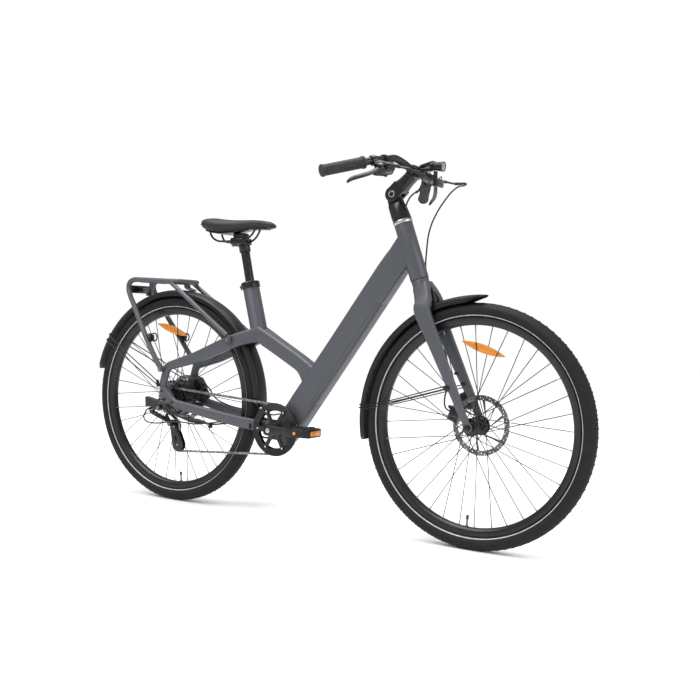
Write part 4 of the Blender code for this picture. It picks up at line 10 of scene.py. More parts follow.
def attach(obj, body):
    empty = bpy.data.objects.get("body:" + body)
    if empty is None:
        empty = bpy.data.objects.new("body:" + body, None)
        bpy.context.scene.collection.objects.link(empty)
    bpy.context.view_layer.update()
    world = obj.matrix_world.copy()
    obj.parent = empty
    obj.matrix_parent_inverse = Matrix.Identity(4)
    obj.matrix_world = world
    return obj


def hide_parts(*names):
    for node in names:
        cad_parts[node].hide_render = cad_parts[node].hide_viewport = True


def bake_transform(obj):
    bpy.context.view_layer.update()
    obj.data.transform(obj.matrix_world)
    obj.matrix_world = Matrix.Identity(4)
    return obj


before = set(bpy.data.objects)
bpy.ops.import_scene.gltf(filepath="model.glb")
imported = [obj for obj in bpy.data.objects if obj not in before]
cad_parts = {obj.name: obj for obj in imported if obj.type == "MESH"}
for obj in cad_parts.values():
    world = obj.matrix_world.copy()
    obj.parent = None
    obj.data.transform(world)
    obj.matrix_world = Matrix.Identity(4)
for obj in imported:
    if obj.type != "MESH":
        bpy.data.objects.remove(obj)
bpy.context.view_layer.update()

# Places in metres: x runs ahead from the rear axle, y to the rider's left, z up from the ground

REAR_X = -0.568908
TYRE_RADIUS = 0.361
REAR_AXLE = Vector((0, 0, TYRE_RADIUS))
FRONT_AXLE = Vector((1.15, 0, TYRE_RADIUS))
BRACKET = Vector((0.467, 0, 0.294))
HEAD_ANGLE = radians(69.5)
STEER_UP = Vector((-cos(HEAD_ANGLE), 0, sin(HEAD_ANGLE)))
STEER_AHEAD = Vector((sin(HEAD_ANGLE), 0, cos(HEAD_ANGLE)))
CROWN = FRONT_AXLE - 0.037 * STEER_AHEAD + 0.4676 * STEER_UP
HEAD_TOP = CROWN + 0.1785 * STEER_UP
STEM_PIVOT = HEAD_TOP + 0.098 * STEER_UP
CLAMP = STEM_PIVOT + Vector((0.069, 0, 0.065))
TUBE_ANGLE = radians(54.9)
TUBE_UP = Vector((cos(TUBE_ANGLE), 0, sin(TUBE_ANGLE)))
TUBE_OUT = Vector((sin(TUBE_ANGLE), 0, -cos(TUBE_ANGLE)))
TUBE_FOOT = BRACKET + 0.02 * TUBE_OUT
SEAT_UP = Vector((-cos(radians(76.5)), 0, sin(radians(76.5))))
SEAT_TUBE_TOP = Vector((0.3149, 0, 0.757))
ELBOW = SEAT_TUBE_TOP - 0.155 * SEAT_UP
MUDGUARD_RADIUS = 0.385
MUDGUARD_HALF = 0.0295
DROPOUT_INNER, DROPOUT_OUTER = 0.0675, 0.075
SEAT_POST_SHOWN = 0.155
ADJUSTER_START = Vector((-0.033, -0.0808, 0.33))
ADJUSTER_END = Vector((-0.06, -0.0808, 0.322))
ADJUSTER_WAY = (ADJUSTER_END - ADJUSTER_START).normalized()
LEFT = Vector((0, 1, 0))
UP = Vector((0, 0, 1))


def on_steerer(height):
    return CROWN + height * STEER_UP


def along_tube(distance, out=0.0):
    return TUBE_FOOT + distance * TUBE_UP + out * TUBE_OUT


def by_clamp(ahead, left, above):
    return CLAMP + Vector((ahead, left, above))


def by_front(ahead, left, above):
    return FRONT_AXLE + Vector((ahead, left, above))


def by_rear(ahead, left, above):
    return REAR_AXLE + Vector((ahead, left, above))


def round_wheel(axle, radius, angle, y=0.0):
    """A place at this radius and angle round an axle, seen from the right."""
    return axle + Vector((radius * cos(angle), y, radius * sin(angle)))


# Bench work: how a piece is held, cut, joined and set down


def let_go():
    if bpy.context.mode != "OBJECT":
        bpy.ops.object.mode_set(mode="OBJECT")
    bpy.ops.object.select_all(action="DESELECT")


def take(item):
    let_go()
    item.select_set(True)
    bpy.context.view_layer.objects.active = item
    return item


def open_up(item, test=None):
    """Edit mode, with every face selected or only those whose middle and normal pass the test."""
    take(item)
    bpy.ops.object.mode_set(mode="EDIT")
    bpy.ops.mesh.select_mode(type="FACE")
    bpy.ops.mesh.select_all(action="SELECT" if test is None else "DESELECT")
    if test is not None:
        shape = bmesh.from_edit_mesh(item.data)
        for face in shape.faces:
            face.select_set(bool(test(face.calc_center_median(), face.normal)))
        bmesh.update_edit_mesh(item.data)


def close_up(item):
    """Merge what touches, turn every face out and leave edit mode."""
    bpy.ops.mesh.select_all(action="SELECT")
    bpy.ops.mesh.remove_doubles(threshold=0.000002)
    bpy.ops.mesh.normals_make_consistent(inside=False)
    let_go()
    return item


def fixed(item):
    take(item)
    bpy.ops.object.transform_apply(location=True, rotation=True, scale=True)
    return item


def shifted(item, matrix):
    item.data.transform(matrix)
    item.data.update()
    return item


def applied(item, kind, **settings):
    """A modifier of this kind, set and applied."""
    take(item)
    modifier = item.modifiers.new(kind, kind)
    for key, value in settings.items():
        setattr(modifier, key, value)
    bpy.ops.object.modifier_apply(modifier=modifier.name)
    return item


def softened(item, width, segments=2, angle=35):
    return applied(item, "BEVEL", width=width, segments=segments, limit_method="ANGLE", angle_limit=radians(angle))


def scrap(*items):
    for item in items:
        bpy.data.objects.remove(item, do_unlink=True)


def joined(*items):
    """Several pieces as one object, not welded."""
    let_go()
    for item in items:
        item.select_set(True)
    bpy.context.view_layer.objects.active = items[0]
    bpy.ops.object.join()
    return items[0]


def worked(item, tools, operation):
    for tool in tools:
        applied(item, "BOOLEAN", operation=operation, object=tool, solver="EXACT")
        scrap(tool)
    return item


def welded(item, *others):
    return worked(item, others, "UNION")


def carved(item, *tools):
    return worked(item, tools, "DIFFERENCE")


def copied(item, matrix=None):
    twin = item.copy()
    twin.data = item.data.copy()
    bpy.context.collection.objects.link(twin)
    return twin if matrix is None else shifted(twin, matrix)


def to_right(item):
    """A copy across the bicycle's middle plane, faces turned out again."""
    twin = copied(item, Matrix.Diagonal((1, -1, 1, 1)))
    open_up(twin)
    return close_up(twin)


def only_right(item):
    twin = to_right(item)
    scrap(item)
    return twin


def sided(item):
    return joined(item, to_right(item))


def rod(start, end, radius, end_radius=None, sides=24, edge=0.0):
    """A round bar between two places, its two rims rounded where edge says so."""
    start, end = Vector(start), Vector(end)
    way = end - start
    let_go()
    bpy.ops.mesh.primitive_cone_add(
        vertices=sides,
        radius1=radius,
        radius2=radius if end_radius is None else end_radius,
        depth=way.length,
        location=(start + end) / 2,
        rotation=way.to_track_quat("Z", "Y").to_euler(),
    )
    item = fixed(bpy.context.object)
    if edge:
        way.normalize()
        open_up(item, lambda middle, normal: abs(normal.dot(way)) > 0.999)
        bpy.ops.mesh.bevel(offset=edge, segments=2, affect="EDGES")
        close_up(item)
    return item


def cross_rod(x, z, y_from, y_to, radius, sides=24, edge=0.0):
    return rod((x, y_from, z), (x, y_to, z), radius, sides=sides, edge=edge)


def through(spot, y_from, y_to, radius, sides=24, edge=0.0):
    """A round bar across the bicycle, in line with a place."""
    return cross_rod(spot.x, spot.z, y_from, y_to, radius, sides, edge)


def block(middle, size, edge=0.0, axes=None, segments=2):
    """A block at its place, its edges rounded; axes gives the ways of its three sides."""
    let_go()
    bpy.ops.mesh.primitive_cube_add(size=1)
    item = bpy.context.object
    item.scale = size
    fixed(item)
    if edge:
        open_up(item)
        bpy.ops.mesh.bevel(offset=edge, segments=segments, affect="EDGES")
        close_up(item)
    turn = Matrix.Identity(4) if axes is None else ways(*axes)
    return shifted(item, Matrix.Translation(middle) @ turn)


def ways(first, second):
    """A turn that lays x and y along these ways and z square to both."""
    first = Vector(first).normalized()
    second = (Vector(second) - first * first.dot(Vector(second))).normalized()
    return Matrix((first, second, first.cross(second))).transposed().to_4x4()


def turned(profile, place=None, steps=96):
    """A closed profile of radius and height, spun round the upright axis, then set in place."""
    let_go()
    bpy.ops.mesh.primitive_circle_add(vertices=len(profile), radius=0.01)
    item = bpy.context.object
    for vertex, (radius, height) in zip(item.data.vertices, profile):
        vertex.co = (radius, 0, height)
    open_up(item)
    bpy.ops.mesh.select_mode(type="EDGE")
    bpy.ops.mesh.select_all(action="SELECT")
    bpy.ops.mesh.spin(steps=steps, angle=tau, center=(0, 0, 0), axis=(0, 0, 1))
    bpy.ops.mesh.select_all(action="SELECT")
    bpy.ops.mesh.remove_doubles(threshold=0.000002)
    bpy.ops.mesh.delete_loose()
    close_up(item)
    return item if place is None else shifted(item, place)


def on_axle(axle, y=0.0):
    """A place for turned work whose height then runs to the rider's left."""
    return Matrix.Translation(axle + LEFT * y) @ Matrix.Rotation(-pi / 2, 4, "X")


def facing(middle, way, across=LEFT):
    """A place for turned work or plates whose height then runs this way."""
    way = Vector(way).normalized()
    across = (across - way * across.dot(way)).normalized()
    return Matrix.Translation(middle) @ Matrix((across, way.cross(across), way)).transposed().to_4x4()


def drawn(rings):
    """A bar drawn out from its first section through the others by extruding its end face."""
    let_go()
    bpy.ops.mesh.primitive_circle_add(vertices=len(rings[0]), radius=0.01, fill_type="NGON")
    item = bpy.context.object
    for vertex, spot in zip(item.data.vertices, rings[0]):
        vertex.co = spot
    open_up(item)
    for before, after in zip(rings, rings[1:]):
        bpy.ops.mesh.extrude_region_move()
        shape = bmesh.from_edit_mesh(item.data)
        for vertex in [v for v in shape.verts if v.select]:
            nearest = min(range(len(before)), key=lambda i: (before[i] - vertex.co).length_squared)
            vertex.co = after[nearest]
        bmesh.update_edit_mesh(item.data)
    return close_up(item)


def section(centre, depth, width, corner, arc=5):
    """A rounded rectangle spanned by two half vectors."""
    corner = min(corner, 0.98 * depth.length, 0.98 * width.length)
    along, across = depth.normalized(), width.normalized()
    ring = []
    for quarter, (sx, sy) in enumerate(((1, 1), (-1, 1), (-1, -1), (1, -1))):
        middle = centre + along * sx * (depth.length - corner) + across * sy * (width.length - corner)
        for step in range(arc + 1):
            turn = pi / 2 * (quarter + step / arc)
            ring.append(middle + corner * (along * cos(turn) + across * sin(turn)))
    return ring


def eased(stations, steps=4):
    """Extra stations between the given ones on a smooth course through them all."""
    stations = [Vector(s) for s in stations] if len(stations[0]) == 3 else [tuple(s) for s in stations]
    made = []
    last = len(stations) - 1
    for i in range(last):
        a, b, c, d = (stations[min(max(k, 0), last)] for k in (i - 1, i, i + 1, i + 2))
        for step in range(steps):
            t = step / steps
            made.append(
                tuple(
                    0.5 * (2 * q + (r - p) * t + (2 * p - 5 * q + 4 * r - s) * t**2 + (3 * q - p - 3 * r + s) * t**3)
                    for p, q, r, s in zip(a, b, c, d)
                )
            )
    made.append(tuple(stations[-1]))
    return made


def rounded(stations, reach):
    """Straight stretches between stations with each corner rounded over this reach."""
    rows = [Vector(s) for s in stations]
    out = [tuple(rows[0])]
    for before, row, after in zip(rows, rows[1:], rows[2:]):
        back, on = before - row, after - row
        back = back * min(reach / Vector(back[:3]).length, 0.45)
        on = on * min(reach / Vector(on[:3]).length, 0.45)
        for t in (k / 5 for k in range(6)):
            out.append(tuple(row + back * (1 - t) ** 2 + on * t * t))
    return [*out, tuple(rows[-1])]


def limb(stations, corner, steps=4, arc=5):
    """A bent bar; each station is x, y, z, half depth and half width."""
    stations = eased(stations, steps)
    rings = []
    for i, (x, y, z, half_depth, half_width) in enumerate(stations):
        before, after = stations[max(i - 1, 0)], stations[min(i + 1, len(stations) - 1)]
        along = Vector((after[0] - before[0], 0, after[2] - before[2])).normalized()
        depth = Vector((along.z, 0, -along.x)) * half_depth
        rings.append(section(Vector((x, y, z)), depth, LEFT * half_width, corner, arc))
    return drawn(rings)


def hose(points, radius, smooth=True, turns=8, ring=5):
    """A round tube along a course, as a curve made into a mesh."""
    curve = bpy.data.curves.new("hose", "CURVE")
    curve.dimensions = "3D"
    curve.bevel_depth = radius
    curve.bevel_resolution = ring
    curve.resolution_u = turns
    curve.use_fill_caps = True
    spline = curve.splines.new("BEZIER")
    spline.bezier_points.add(len(points) - 1)
    for knot, spot in zip(spline.bezier_points, points):
        knot.co = spot
        knot.handle_left_type = knot.handle_right_type = "AUTO" if smooth else "VECTOR"
    item = bpy.data.objects.new("hose", curve)
    bpy.context.collection.objects.link(item)
    take(item)
    bpy.ops.object.convert(target="MESH")
    item = bpy.context.object
    open_up(item)
    return close_up(item)


def plate(outline, low, high, place=None, edge=0.0, holes=()):
    """A flat outline given height from low to high, with the holes' outlines cut through."""
    let_go()
    bpy.ops.mesh.primitive_circle_add(vertices=len(outline), radius=0.01, fill_type="NGON")
    item = bpy.context.object
    for vertex, (x, y) in zip(item.data.vertices, outline):
        vertex.co = (x, y, low)
    open_up(item)
    bpy.ops.mesh.extrude_region_move(TRANSFORM_OT_translate={"value": (0, 0, high - low)})
    close_up(item)
    if holes:
        tools = [plate(hole, low - 0.005, high + 0.005) for hole in holes]
        carved(item, joined(*tools))
    if edge:
        softened(item, edge, 2, 50)
    return item if place is None else shifted(item, place)


def side_plate(outline, y_from, y_to, edge=0.0, holes=()):
    """A plate whose outline is given in x and z, between two distances to the left."""
    flip = [(x, -z) for x, z in outline]
    cuts = [[(x, -z) for x, z in hole] for hole in holes]
    low, high = sorted((y_from, y_to))
    return plate(flip, low, high, Matrix.Rotation(-pi / 2, 4, "X"), edge, cuts)


def flat(spot):
    """A place as seen from the side."""
    return (spot.x, spot.z)


def out_at(angle):
    return Vector((cos(angle), 0, sin(angle)))


def on_circle(centre, radius, angle):
    return (centre[0] + radius * cos(angle), centre[1] + radius * sin(angle))


def arc(centre, radius, start, end, count):
    return [on_circle(centre, radius, start + (end - start) * i / count) for i in range(count + 1)]


def circle(centre, radius, count=48):
    return arc(centre, radius, 0.0, tau, count)[:-1]


def link_outline(a, b, radius_a, radius_b, count=10):
    """Two round ends joined by straight sides, in x and z."""
    way = atan2(b[1] - a[1], b[0] - a[0])
    return arc(a, radius_a, way + pi / 2, way + 1.5 * pi, count) + arc(b, radius_b, way - pi / 2, way + pi / 2, count)


# Finishes


class Wire:
    """A socket of a finish; sums written on it become Math nodes."""

    def __init__(self, finish, socket):
        self.finish = finish
        self.socket = socket

    def sum(self, operation, *values, clamp=False):
        settings = {"operation": operation, "use_clamp": clamp}
        return self.finish.node("ShaderNodeMath", settings, dict(enumerate(values)))

    def __add__(self, other):
        return self.sum("ADD", self, other)

    def __radd__(self, other):
        return self.sum("ADD", other, self)

    def __sub__(self, other):
        return self.sum("SUBTRACT", self, other)

    def __rsub__(self, other):
        return self.sum("SUBTRACT", other, self)

    def __mul__(self, other):
        return self.sum("MULTIPLY", self, other)

    def __rmul__(self, other):
        return self.sum("MULTIPLY", other, self)

    def __truediv__(self, other):
        return self.sum("DIVIDE", self, other)

    def __pow__(self, other):
        return self.sum("POWER", self, other)

    def sine(self):
        return self.sum("SINE", self)

    def between(self, low, high):
        """0 below low, 1 above high, and a straight rise between them."""
        return self.sum("MULTIPLY", self - low, 1 / (high - low), clamp=True)


class Finish:
    """A material for one surface of the bicycle, built node by node."""

    def __init__(self, name, slot, colour, roughness, metallic=0.0, **constants):
        self.slot = slot
        self.material = bpy.data.materials.new(name)
        self.material.use_nodes = True
        self.tree = self.material.node_tree
        self.tree.nodes.clear()
        self.colour = tuple((c / 255) ** 2.2 for c in colour) + (1.0,)
        output = self.tree.nodes.new("ShaderNodeOutputMaterial")
        self.shader = self.tree.nodes.new("ShaderNodeBsdfPrincipled")
        self.tree.links.new(self.shader.outputs[0], output.inputs[0])
        self.shader.inputs["Base Color"].default_value = self.colour
        self.shader.inputs["Roughness"].default_value = roughness
        self.shader.inputs["Metallic"].default_value = metallic
        for key, value in constants.items():
            self.shader.inputs[key.replace("_", " ")].default_value = value

    def node(self, kind, settings, sockets, output=0):
        """A node of this type, set and wired; the answer is one of its outputs."""
        made = self.tree.nodes.new(kind)
        for key, value in settings.items():
            if key == "stops":
                ramp = made.color_ramp
                while len(ramp.elements) < len(value):
                    ramp.elements.new(0.5)
                for element, (place, shade) in zip(ramp.elements, value):
                    element.position = place
                    element.color = (shade, shade, shade, 1)
            else:
                setattr(made, key, value)
        for key, value in sockets.items():
            if isinstance(value, Wire):
                self.tree.links.new(value.socket, made.inputs[key])
            else:
                made.inputs[key].default_value = value
        return Wire(self, made.outputs[output])

    def place(self):
        return self.node("ShaderNodeTexCoord", {}, {}, "Object")

    def moved_place(self, middle):
        """The place on the piece, measured from a middle."""
        return self.node(
            "ShaderNodeVectorMath", {"operation": "SUBTRACT"}, {0: self.place(), 1: tuple(middle)}, "Vector"
        )

    def noise(self, scale, detail=3.0):
        sockets = {"Vector": self.place(), "Scale": scale, "Detail": detail, "Roughness": 0.5}
        return self.node("ShaderNodeTexNoise", {}, sockets, "Fac")

    def cells(self, scale, feature="F1", output="Distance"):
        return self.node(
            "ShaderNodeTexVoronoi", {"feature": feature}, {"Vector": self.place(), "Scale": scale}, output
        )

    def parts_of(self, place):
        made = self.tree.nodes.new("ShaderNodeSeparateXYZ")
        self.tree.links.new(place.socket, made.inputs[0])
        return [Wire(self, out) for out in made.outputs]

    def mixed(self, share, first, second):
        """From the first colour to the second by the share."""
        return self.node(
            "ShaderNodeMix", {"data_type": "RGBA"}, {0: share, 6: self.shade(first), 7: self.shade(second)}, 2
        )

    def shade(self, value):
        if isinstance(value, Wire):
            return value
        if isinstance(value, (int, float)):
            return tuple(c * value for c in self.colour[:3]) + (1.0,)
        return tuple((c / 255) ** 2.2 for c in value) + (1.0,)

    def feed(self, name, wire):
        self.tree.links.new(wire.socket, self.shader.inputs[name])
        return self

    def bump(self, height, strength, distance):
        wire = self.node(
            "ShaderNodeBump", {}, {"Height": height, "Strength": strength, "Distance": distance}, "Normal"
        )
        return self.feed("Normal", wire)


def painted():
    """Satin grey paint: a soft fleck, a slight orange-peel surface and a rubbed, uneven gloss."""
    paint = Finish(
        "frame_paint", "frame_paint", (71, 73, 78), 0.42, 0.15, Coat_Weight=0.15, Coat_Roughness=0.25,
        Specular_IOR_Level=0.4,
    )
    cloud = paint.noise(7.0, 4.0)
    fleck = paint.cells(2600.0, output="Color")
    grain = paint.node("ShaderNodeSeparateColor", {}, {0: fleck}, 0)
    tone = paint.mixed(grain.between(0.05, 0.95), 0.93, 1.07)
    paint.feed("Base Color", paint.mixed(cloud.between(0.3, 0.7) * 0.5, tone, paint.mixed(0.5, tone, 1.06)))
    rubbed = paint.noise(160.0, 5.0)
    paint.feed("Roughness", 0.37 + 0.08 * cloud + 0.06 * rubbed)
    return paint.bump(paint.noise(420.0, 1.0) + 0.25 * grain, 0.12, 0.0003)


def black_coated():
    """Black anodised and powder-coated parts."""
    coat = Finish("black_metal", "black_metal", (12, 12, 13), 0.3, 0.1, Specular_IOR_Level=0.5)
    fine = coat.noise(1800.0, 2.0)
    wide = coat.noise(45.0, 4.0)
    coat.feed("Base Color", coat.mixed(wide.between(0.35, 0.7), 0.85, (22, 22, 23)))
    coat.feed("Roughness", 0.2 + 0.14 * wide + 0.08 * fine)
    return coat.bump(fine, 0.1, 0.0002)


def moulded():
    """Black moulded plastic with a fine spark-eroded grain."""
    plastic = Finish("black_plastic", "black_plastic", (11, 11, 12), 0.4, Specular_IOR_Level=0.4)
    grain = plastic.cells(2200.0)
    dust = plastic.noise(30.0, 5.0)
    plastic.feed("Base Color", plastic.mixed(dust.between(0.4, 0.8) * 0.6, 0.9, (23, 23, 24)))
    plastic.feed("Roughness", 0.3 + 0.12 * dust + 0.08 * grain)
    return plastic.bump(grain, 0.16, 0.00025)


def resined():
    """Grey moulded resin, a little chalky, for the stand's foot."""
    resin = Finish("grey_resin", "black_metal", (48, 48, 50), 0.5)
    grain = resin.cells(1900.0)
    dust = resin.noise(40.0, 4.0)
    resin.feed("Base Color", resin.mixed(dust.between(0.35, 0.75), 0.9, (60, 60, 61)))
    resin.feed("Roughness", 0.44 + 0.14 * dust)
    return resin.bump(grain, 0.14, 0.0003)


def gripped():
    """Soft black rubber of grips and hoses."""
    rubber = Finish("grip_rubber", "grip_rubber", (22, 22, 22), 0.5, Specular_IOR_Level=0.5)
    grain = rubber.noise(1400.0, 4.0)
    worn = rubber.noise(60.0, 3.0)
    rubber.feed("Base Color", rubber.mixed(worn.between(0.4, 0.7), 0.85, (40, 40, 40)))
    rubber.feed("Roughness", 0.55 + 0.15 * worn)
    return rubber.bump(grain, 0.22, 0.0003)


def tyred(axle, name):
    """Tyre rubber: moulding rings on the sides, a light dusting on the tread."""
    rubber = Finish(name, "tyre_rubber", (14, 14, 15), 0.62, Specular_IOR_Level=0.3)
    x, _, z = rubber.parts_of(rubber.moved_place((axle.x + REAR_X, 0, axle.z)))
    radius = (x * x + z * z) ** 0.5
    rings = (radius * 2 * pi / 0.0009).sine()
    side = 1.0 - radius.between(0.346, 0.35)
    dust = rubber.noise(55.0, 6.0)
    fine = rubber.noise(1100.0, 3.0)
    tone = rubber.mixed(dust.between(0.42, 0.75) * 0.8, 0.85, (28, 28, 28))
    rubber.feed("Base Color", tone)
    rubber.feed("Roughness", 0.56 + 0.2 * dust)
    return rubber.bump(fine * 0.6 + rings * side * 0.5, 0.3, 0.00025)


def striped():
    """The reflecting band round a tyre's side: fine glass beads in light grey."""
    band = Finish("tyre_stripe", "tyre_rubber", (168, 169, 170), 0.45, 0.15)
    beads = band.cells(2600.0)
    soil = band.noise(80.0, 4.0)
    band.feed("Base Color", band.mixed(soil.between(0.4, 0.75) * 0.7, 1.0, (120, 120, 120)))
    band.feed("Roughness", 0.38 + 0.25 * beads)
    return band.bump(beads, 0.3, 0.0002)


def silvered():
    """Bright aluminium with a fine turned grain."""
    metal = Finish("silver_metal", "silver_metal", (186, 187, 189), 0.28, 1.0)
    grain = metal.noise(900.0, 2.0)
    wide = metal.noise(35.0, 4.0)
    metal.feed("Base Color", metal.mixed(wide.between(0.3, 0.7), 0.88, 1.04))
    metal.feed("Roughness", 0.2 + 0.16 * wide + 0.08 * grain)
    return metal.bump(grain, 0.06, 0.0002)


def steeled():
    """Plated steel of chain, sprockets, bolts and discs, a little darkened by oil."""
    metal = Finish("steel", "steel", (142, 142, 143), 0.32, 1.0)
    oil = metal.noise(70.0, 5.0)
    fine = metal.noise(1500.0, 2.0)
    metal.feed("Base Color", metal.mixed(oil.between(0.35, 0.75), 1.0, (82, 80, 78)))
    metal.feed("Roughness", 0.24 + 0.2 * oil)
    return metal.bump(fine, 0.08, 0.0002)


def brushed_disc(axle, name):
    """A brake disc: fine rings round the axle, as the pads brush them into the band."""
    metal = Finish(name, "steel", (118, 119, 121), 0.3, 1.0)
    x, _, z = metal.parts_of(metal.moved_place((axle.x + REAR_X, 0, axle.z)))
    radius = (x * x + z * z) ** 0.5
    rings = (radius * 2 * pi / 0.00045).sine()
    soot = metal.noise(90.0, 4.0)
    metal.feed("Base Color", metal.mixed(soot.between(0.35, 0.8), 1.0, (84, 83, 82)))
    metal.feed("Roughness", 0.26 + 0.05 * rings + 0.12 * soot)
    return metal.bump(rings, 0.1, 0.0001)


def covered():
    """The saddle's cover: black coated cloth with a leather grain."""
    cover = Finish("saddle_cover", "saddle_cover", (18, 18, 19), 0.44, Specular_IOR_Level=0.45)
    creases = cover.cells(520.0, "DISTANCE_TO_EDGE")
    pores = cover.noise(1300.0, 3.0)
    wear = cover.noise(22.0, 3.0)
    cover.feed("Base Color", cover.mixed(wear.between(0.35, 0.7), 0.85, (30, 30, 31)))
    cover.feed("Roughness", 0.46 + 0.14 * wear + 0.05 * pores)
    return cover.bump(creases.between(0.0, 0.25) + pores * 0.35, 0.28, 0.0004)


def lens(name, slot, colour, roughness, **constants):
    """A clear or coloured lens with small prisms behind its face."""
    glass = Finish(name, slot, colour, roughness, IOR=1.49, Coat_Weight=0.6, Coat_Roughness=0.05, **constants)
    prisms = glass.cells(420.0, "F1")
    glass.feed("Base Color", glass.mixed(prisms.between(0.1, 0.6), 1.15, 0.6))
    glass.feed("Roughness", roughness + 0.12 * prisms)
    return glass.bump(prisms, 0.35, 0.0006)


PAINT = painted()
BLACK = black_coated()
PLASTIC = moulded()
RUBBER = gripped()
FRONT_RUBBER = tyred(FRONT_AXLE, "front_tyre_rubber")
REAR_RUBBER = tyred(REAR_AXLE, "rear_tyre_rubber")
STRIPE = striped()
SILVER = silvered()
STEEL = steeled()
FRONT_DISC = brushed_disc(FRONT_AXLE, "front_disc_steel")
REAR_DISC = brushed_disc(REAR_AXLE, "rear_disc_steel")
COVER = covered()
CLEAR = lens("clear_lens", "clear_lens", (228, 232, 236), 0.12)
RED = lens("red_lens", "red_lens", (64, 10, 10), 0.16)
ORANGE = lens("orange_lens", "orange_lens", (226, 134, 8), 0.24)
LAMP_GLASS = lens("lamp_glass", "clear_lens", (150, 153, 157), 0.1)
# Dark smoked glass of the shifter window and the display; on the front reflector this dark finish is painted shade
SMOKED_GLASS_AND_PAINTED_SHADE = lens("smoked_glass_and_painted_shade", "black_plastic", (14, 15, 17), 0.08)
GREY_RESIN = resined()

NODE_FINISHES = {
    PAINT: ("frame", "fork", "carrier", "battery", "seat_collar"),
    BLACK: (
        "bottom_bracket rear_caliper derailleur_hanger_knuckle derailleur_link derailleur_pivot_knuckle"
        " derailleur_cage rear_hub_motor rear_rim front_hub front_rim right_crank left_crank stem_base"
        " stem_arm handlebar right_brake_mount left_brake_mount right_brake_lever left_brake_lever"
        " bell bell_striker seatpost saddle_rails kickstand front_caliper"
    ).split(),
    PLASTIC: (
        "rear_mudguard front_mudguard rear_cables jockey_wheel_lower jockey_wheel_upper right_pedal"
        " left_pedal shifter_body shifter_lever display display_button headlight"
    ).split(),
    RUBBER: "front_brake_cable control_cables right_grip left_grip".split(),
    STEEL: "chain rear_axle front_axle cassette".split(),
    SILVER: ("headset_ring",),
    FRONT_RUBBER: ("front_tyre",),
    REAR_RUBBER: ("rear_tyre",),
    FRONT_DISC: ("front_disc",),
    REAR_DISC: ("rear_disc",),
    COVER: ("saddle",),
    RED: ("tail_light",),
    ORANGE: ("rear_wheel_reflector", "front_wheel_reflector"),
    CLEAR: ("headlight_lens",),
}


def refinish_nodes():
    """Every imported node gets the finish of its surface."""
    for finish, names in NODE_FINISHES.items():
        for name in names:
            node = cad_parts[name]
            for spot in node.material_slots:
                spot.material = finish.material


def finished(item, name, body, finish, nodes=(), angle=35, bend=None):
    """Set a piece down: smooth shading up to an angle, its place, its finish and the body it rides.

    A hose that crosses a joint rides no body: its shape is set in place, and the other body and the two points it is
    given are not used.
    """
    take(item)
    bpy.ops.object.shade_smooth_by_angle(angle=radians(angle))
    shifted(item, Matrix.Translation((REAR_X, 0, 0)))
    item.name = item.data.name = name
    item.data.materials.clear()
    item.data.materials.append(finish.material)
    if bend:
        other, start, end = bend
        along = Vector((REAR_X, 0, 0))
        tuple(start + along)
        tuple(end + along)
        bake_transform(item)
    else:
        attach(item, body)
    if nodes:
        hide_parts(*nodes)
    return item


# Frame


TUBE_HALF = 0.0415
SEAM_OUT = TUBE_HALF - 0.015
COVER_START, COVER_END = 0.15, 0.55


def meeting():
    """How far up the down tube its middle line meets the steering axis."""
    return (CROWN - TUBE_FOOT).dot(STEER_AHEAD) / TUBE_UP.dot(STEER_AHEAD)


def tube_rings():
    rings = []
    end = meeting()
    for distance, depth, width, corner, rear in (
        (-0.038, 0.52, 0.74, 0.01, 0.0),
        (-0.033, 0.66, 0.84, 0.012, 0.001),
        (-0.015, 0.88, 0.95, 0.0115, 0.003),
        (0.02, 1.0, 1.0, 0.011, 0.0036),
        (0.12, 1.0, 1.0, 0.011, 0.0036),
        (0.35, 1.0, 1.0, 0.011, 0.0016),
        (end - 0.11, 1.0, 1.0, 0.011, 0.0008),
        (end - 0.07, 1.0, 0.95, 0.012, 0.0004),
        (end - 0.045, 1.0, 0.885, 0.014, 0.0),
    ):
        half = TUBE_HALF * depth + rear
        rings.append(section(along_tube(distance, -rear), TUBE_OUT * half, LEFT * 0.027 * width, corner, 6))
    slope = abs(TUBE_UP.dot(STEER_AHEAD))
    rings.append(section(along_tube(end), -STEER_UP * TUBE_HALF / slope, LEFT * 0.0222, 0.012, 6))
    return rings


def tube_block(half_width, start, end, out_from, out_to):
    middle = along_tube((start + end) / 2, (out_from + out_to) / 2)
    return block(middle, (out_to - out_from, 2 * half_width, end - start), axes=(TUBE_OUT, LEFT))


def make_strut():
    start = ELBOW + UP * 0.0028
    foot = along_tube(0.2373) - UP * 0.0125
    way = (foot - start).normalized()
    down = Vector((way.z, 0, -way.x))
    rings = []
    shares = eased(
        (
            (0.02, 0.0, 0.94, 1.42),
            (0.12, 0.0, 0.97, 1.34),
            (0.3, 0.0, 0.97, 1.2),
            (0.64, 0.0, 0.97, 1.14),
            (0.71, 0.002, 1.02, 1.14),
            (0.77, 0.007, 1.18, 1.16),
            (0.86, 0.018, 1.5, 1.18),
        ),
        3,
    )
    for share, shift, depth, width in shares:
        middle = start.lerp(foot, share) + down * shift
        rings.append(section(middle, down * 0.025 * depth, LEFT * 0.02 * width, 0.0075, 5))
    return drawn(rings)


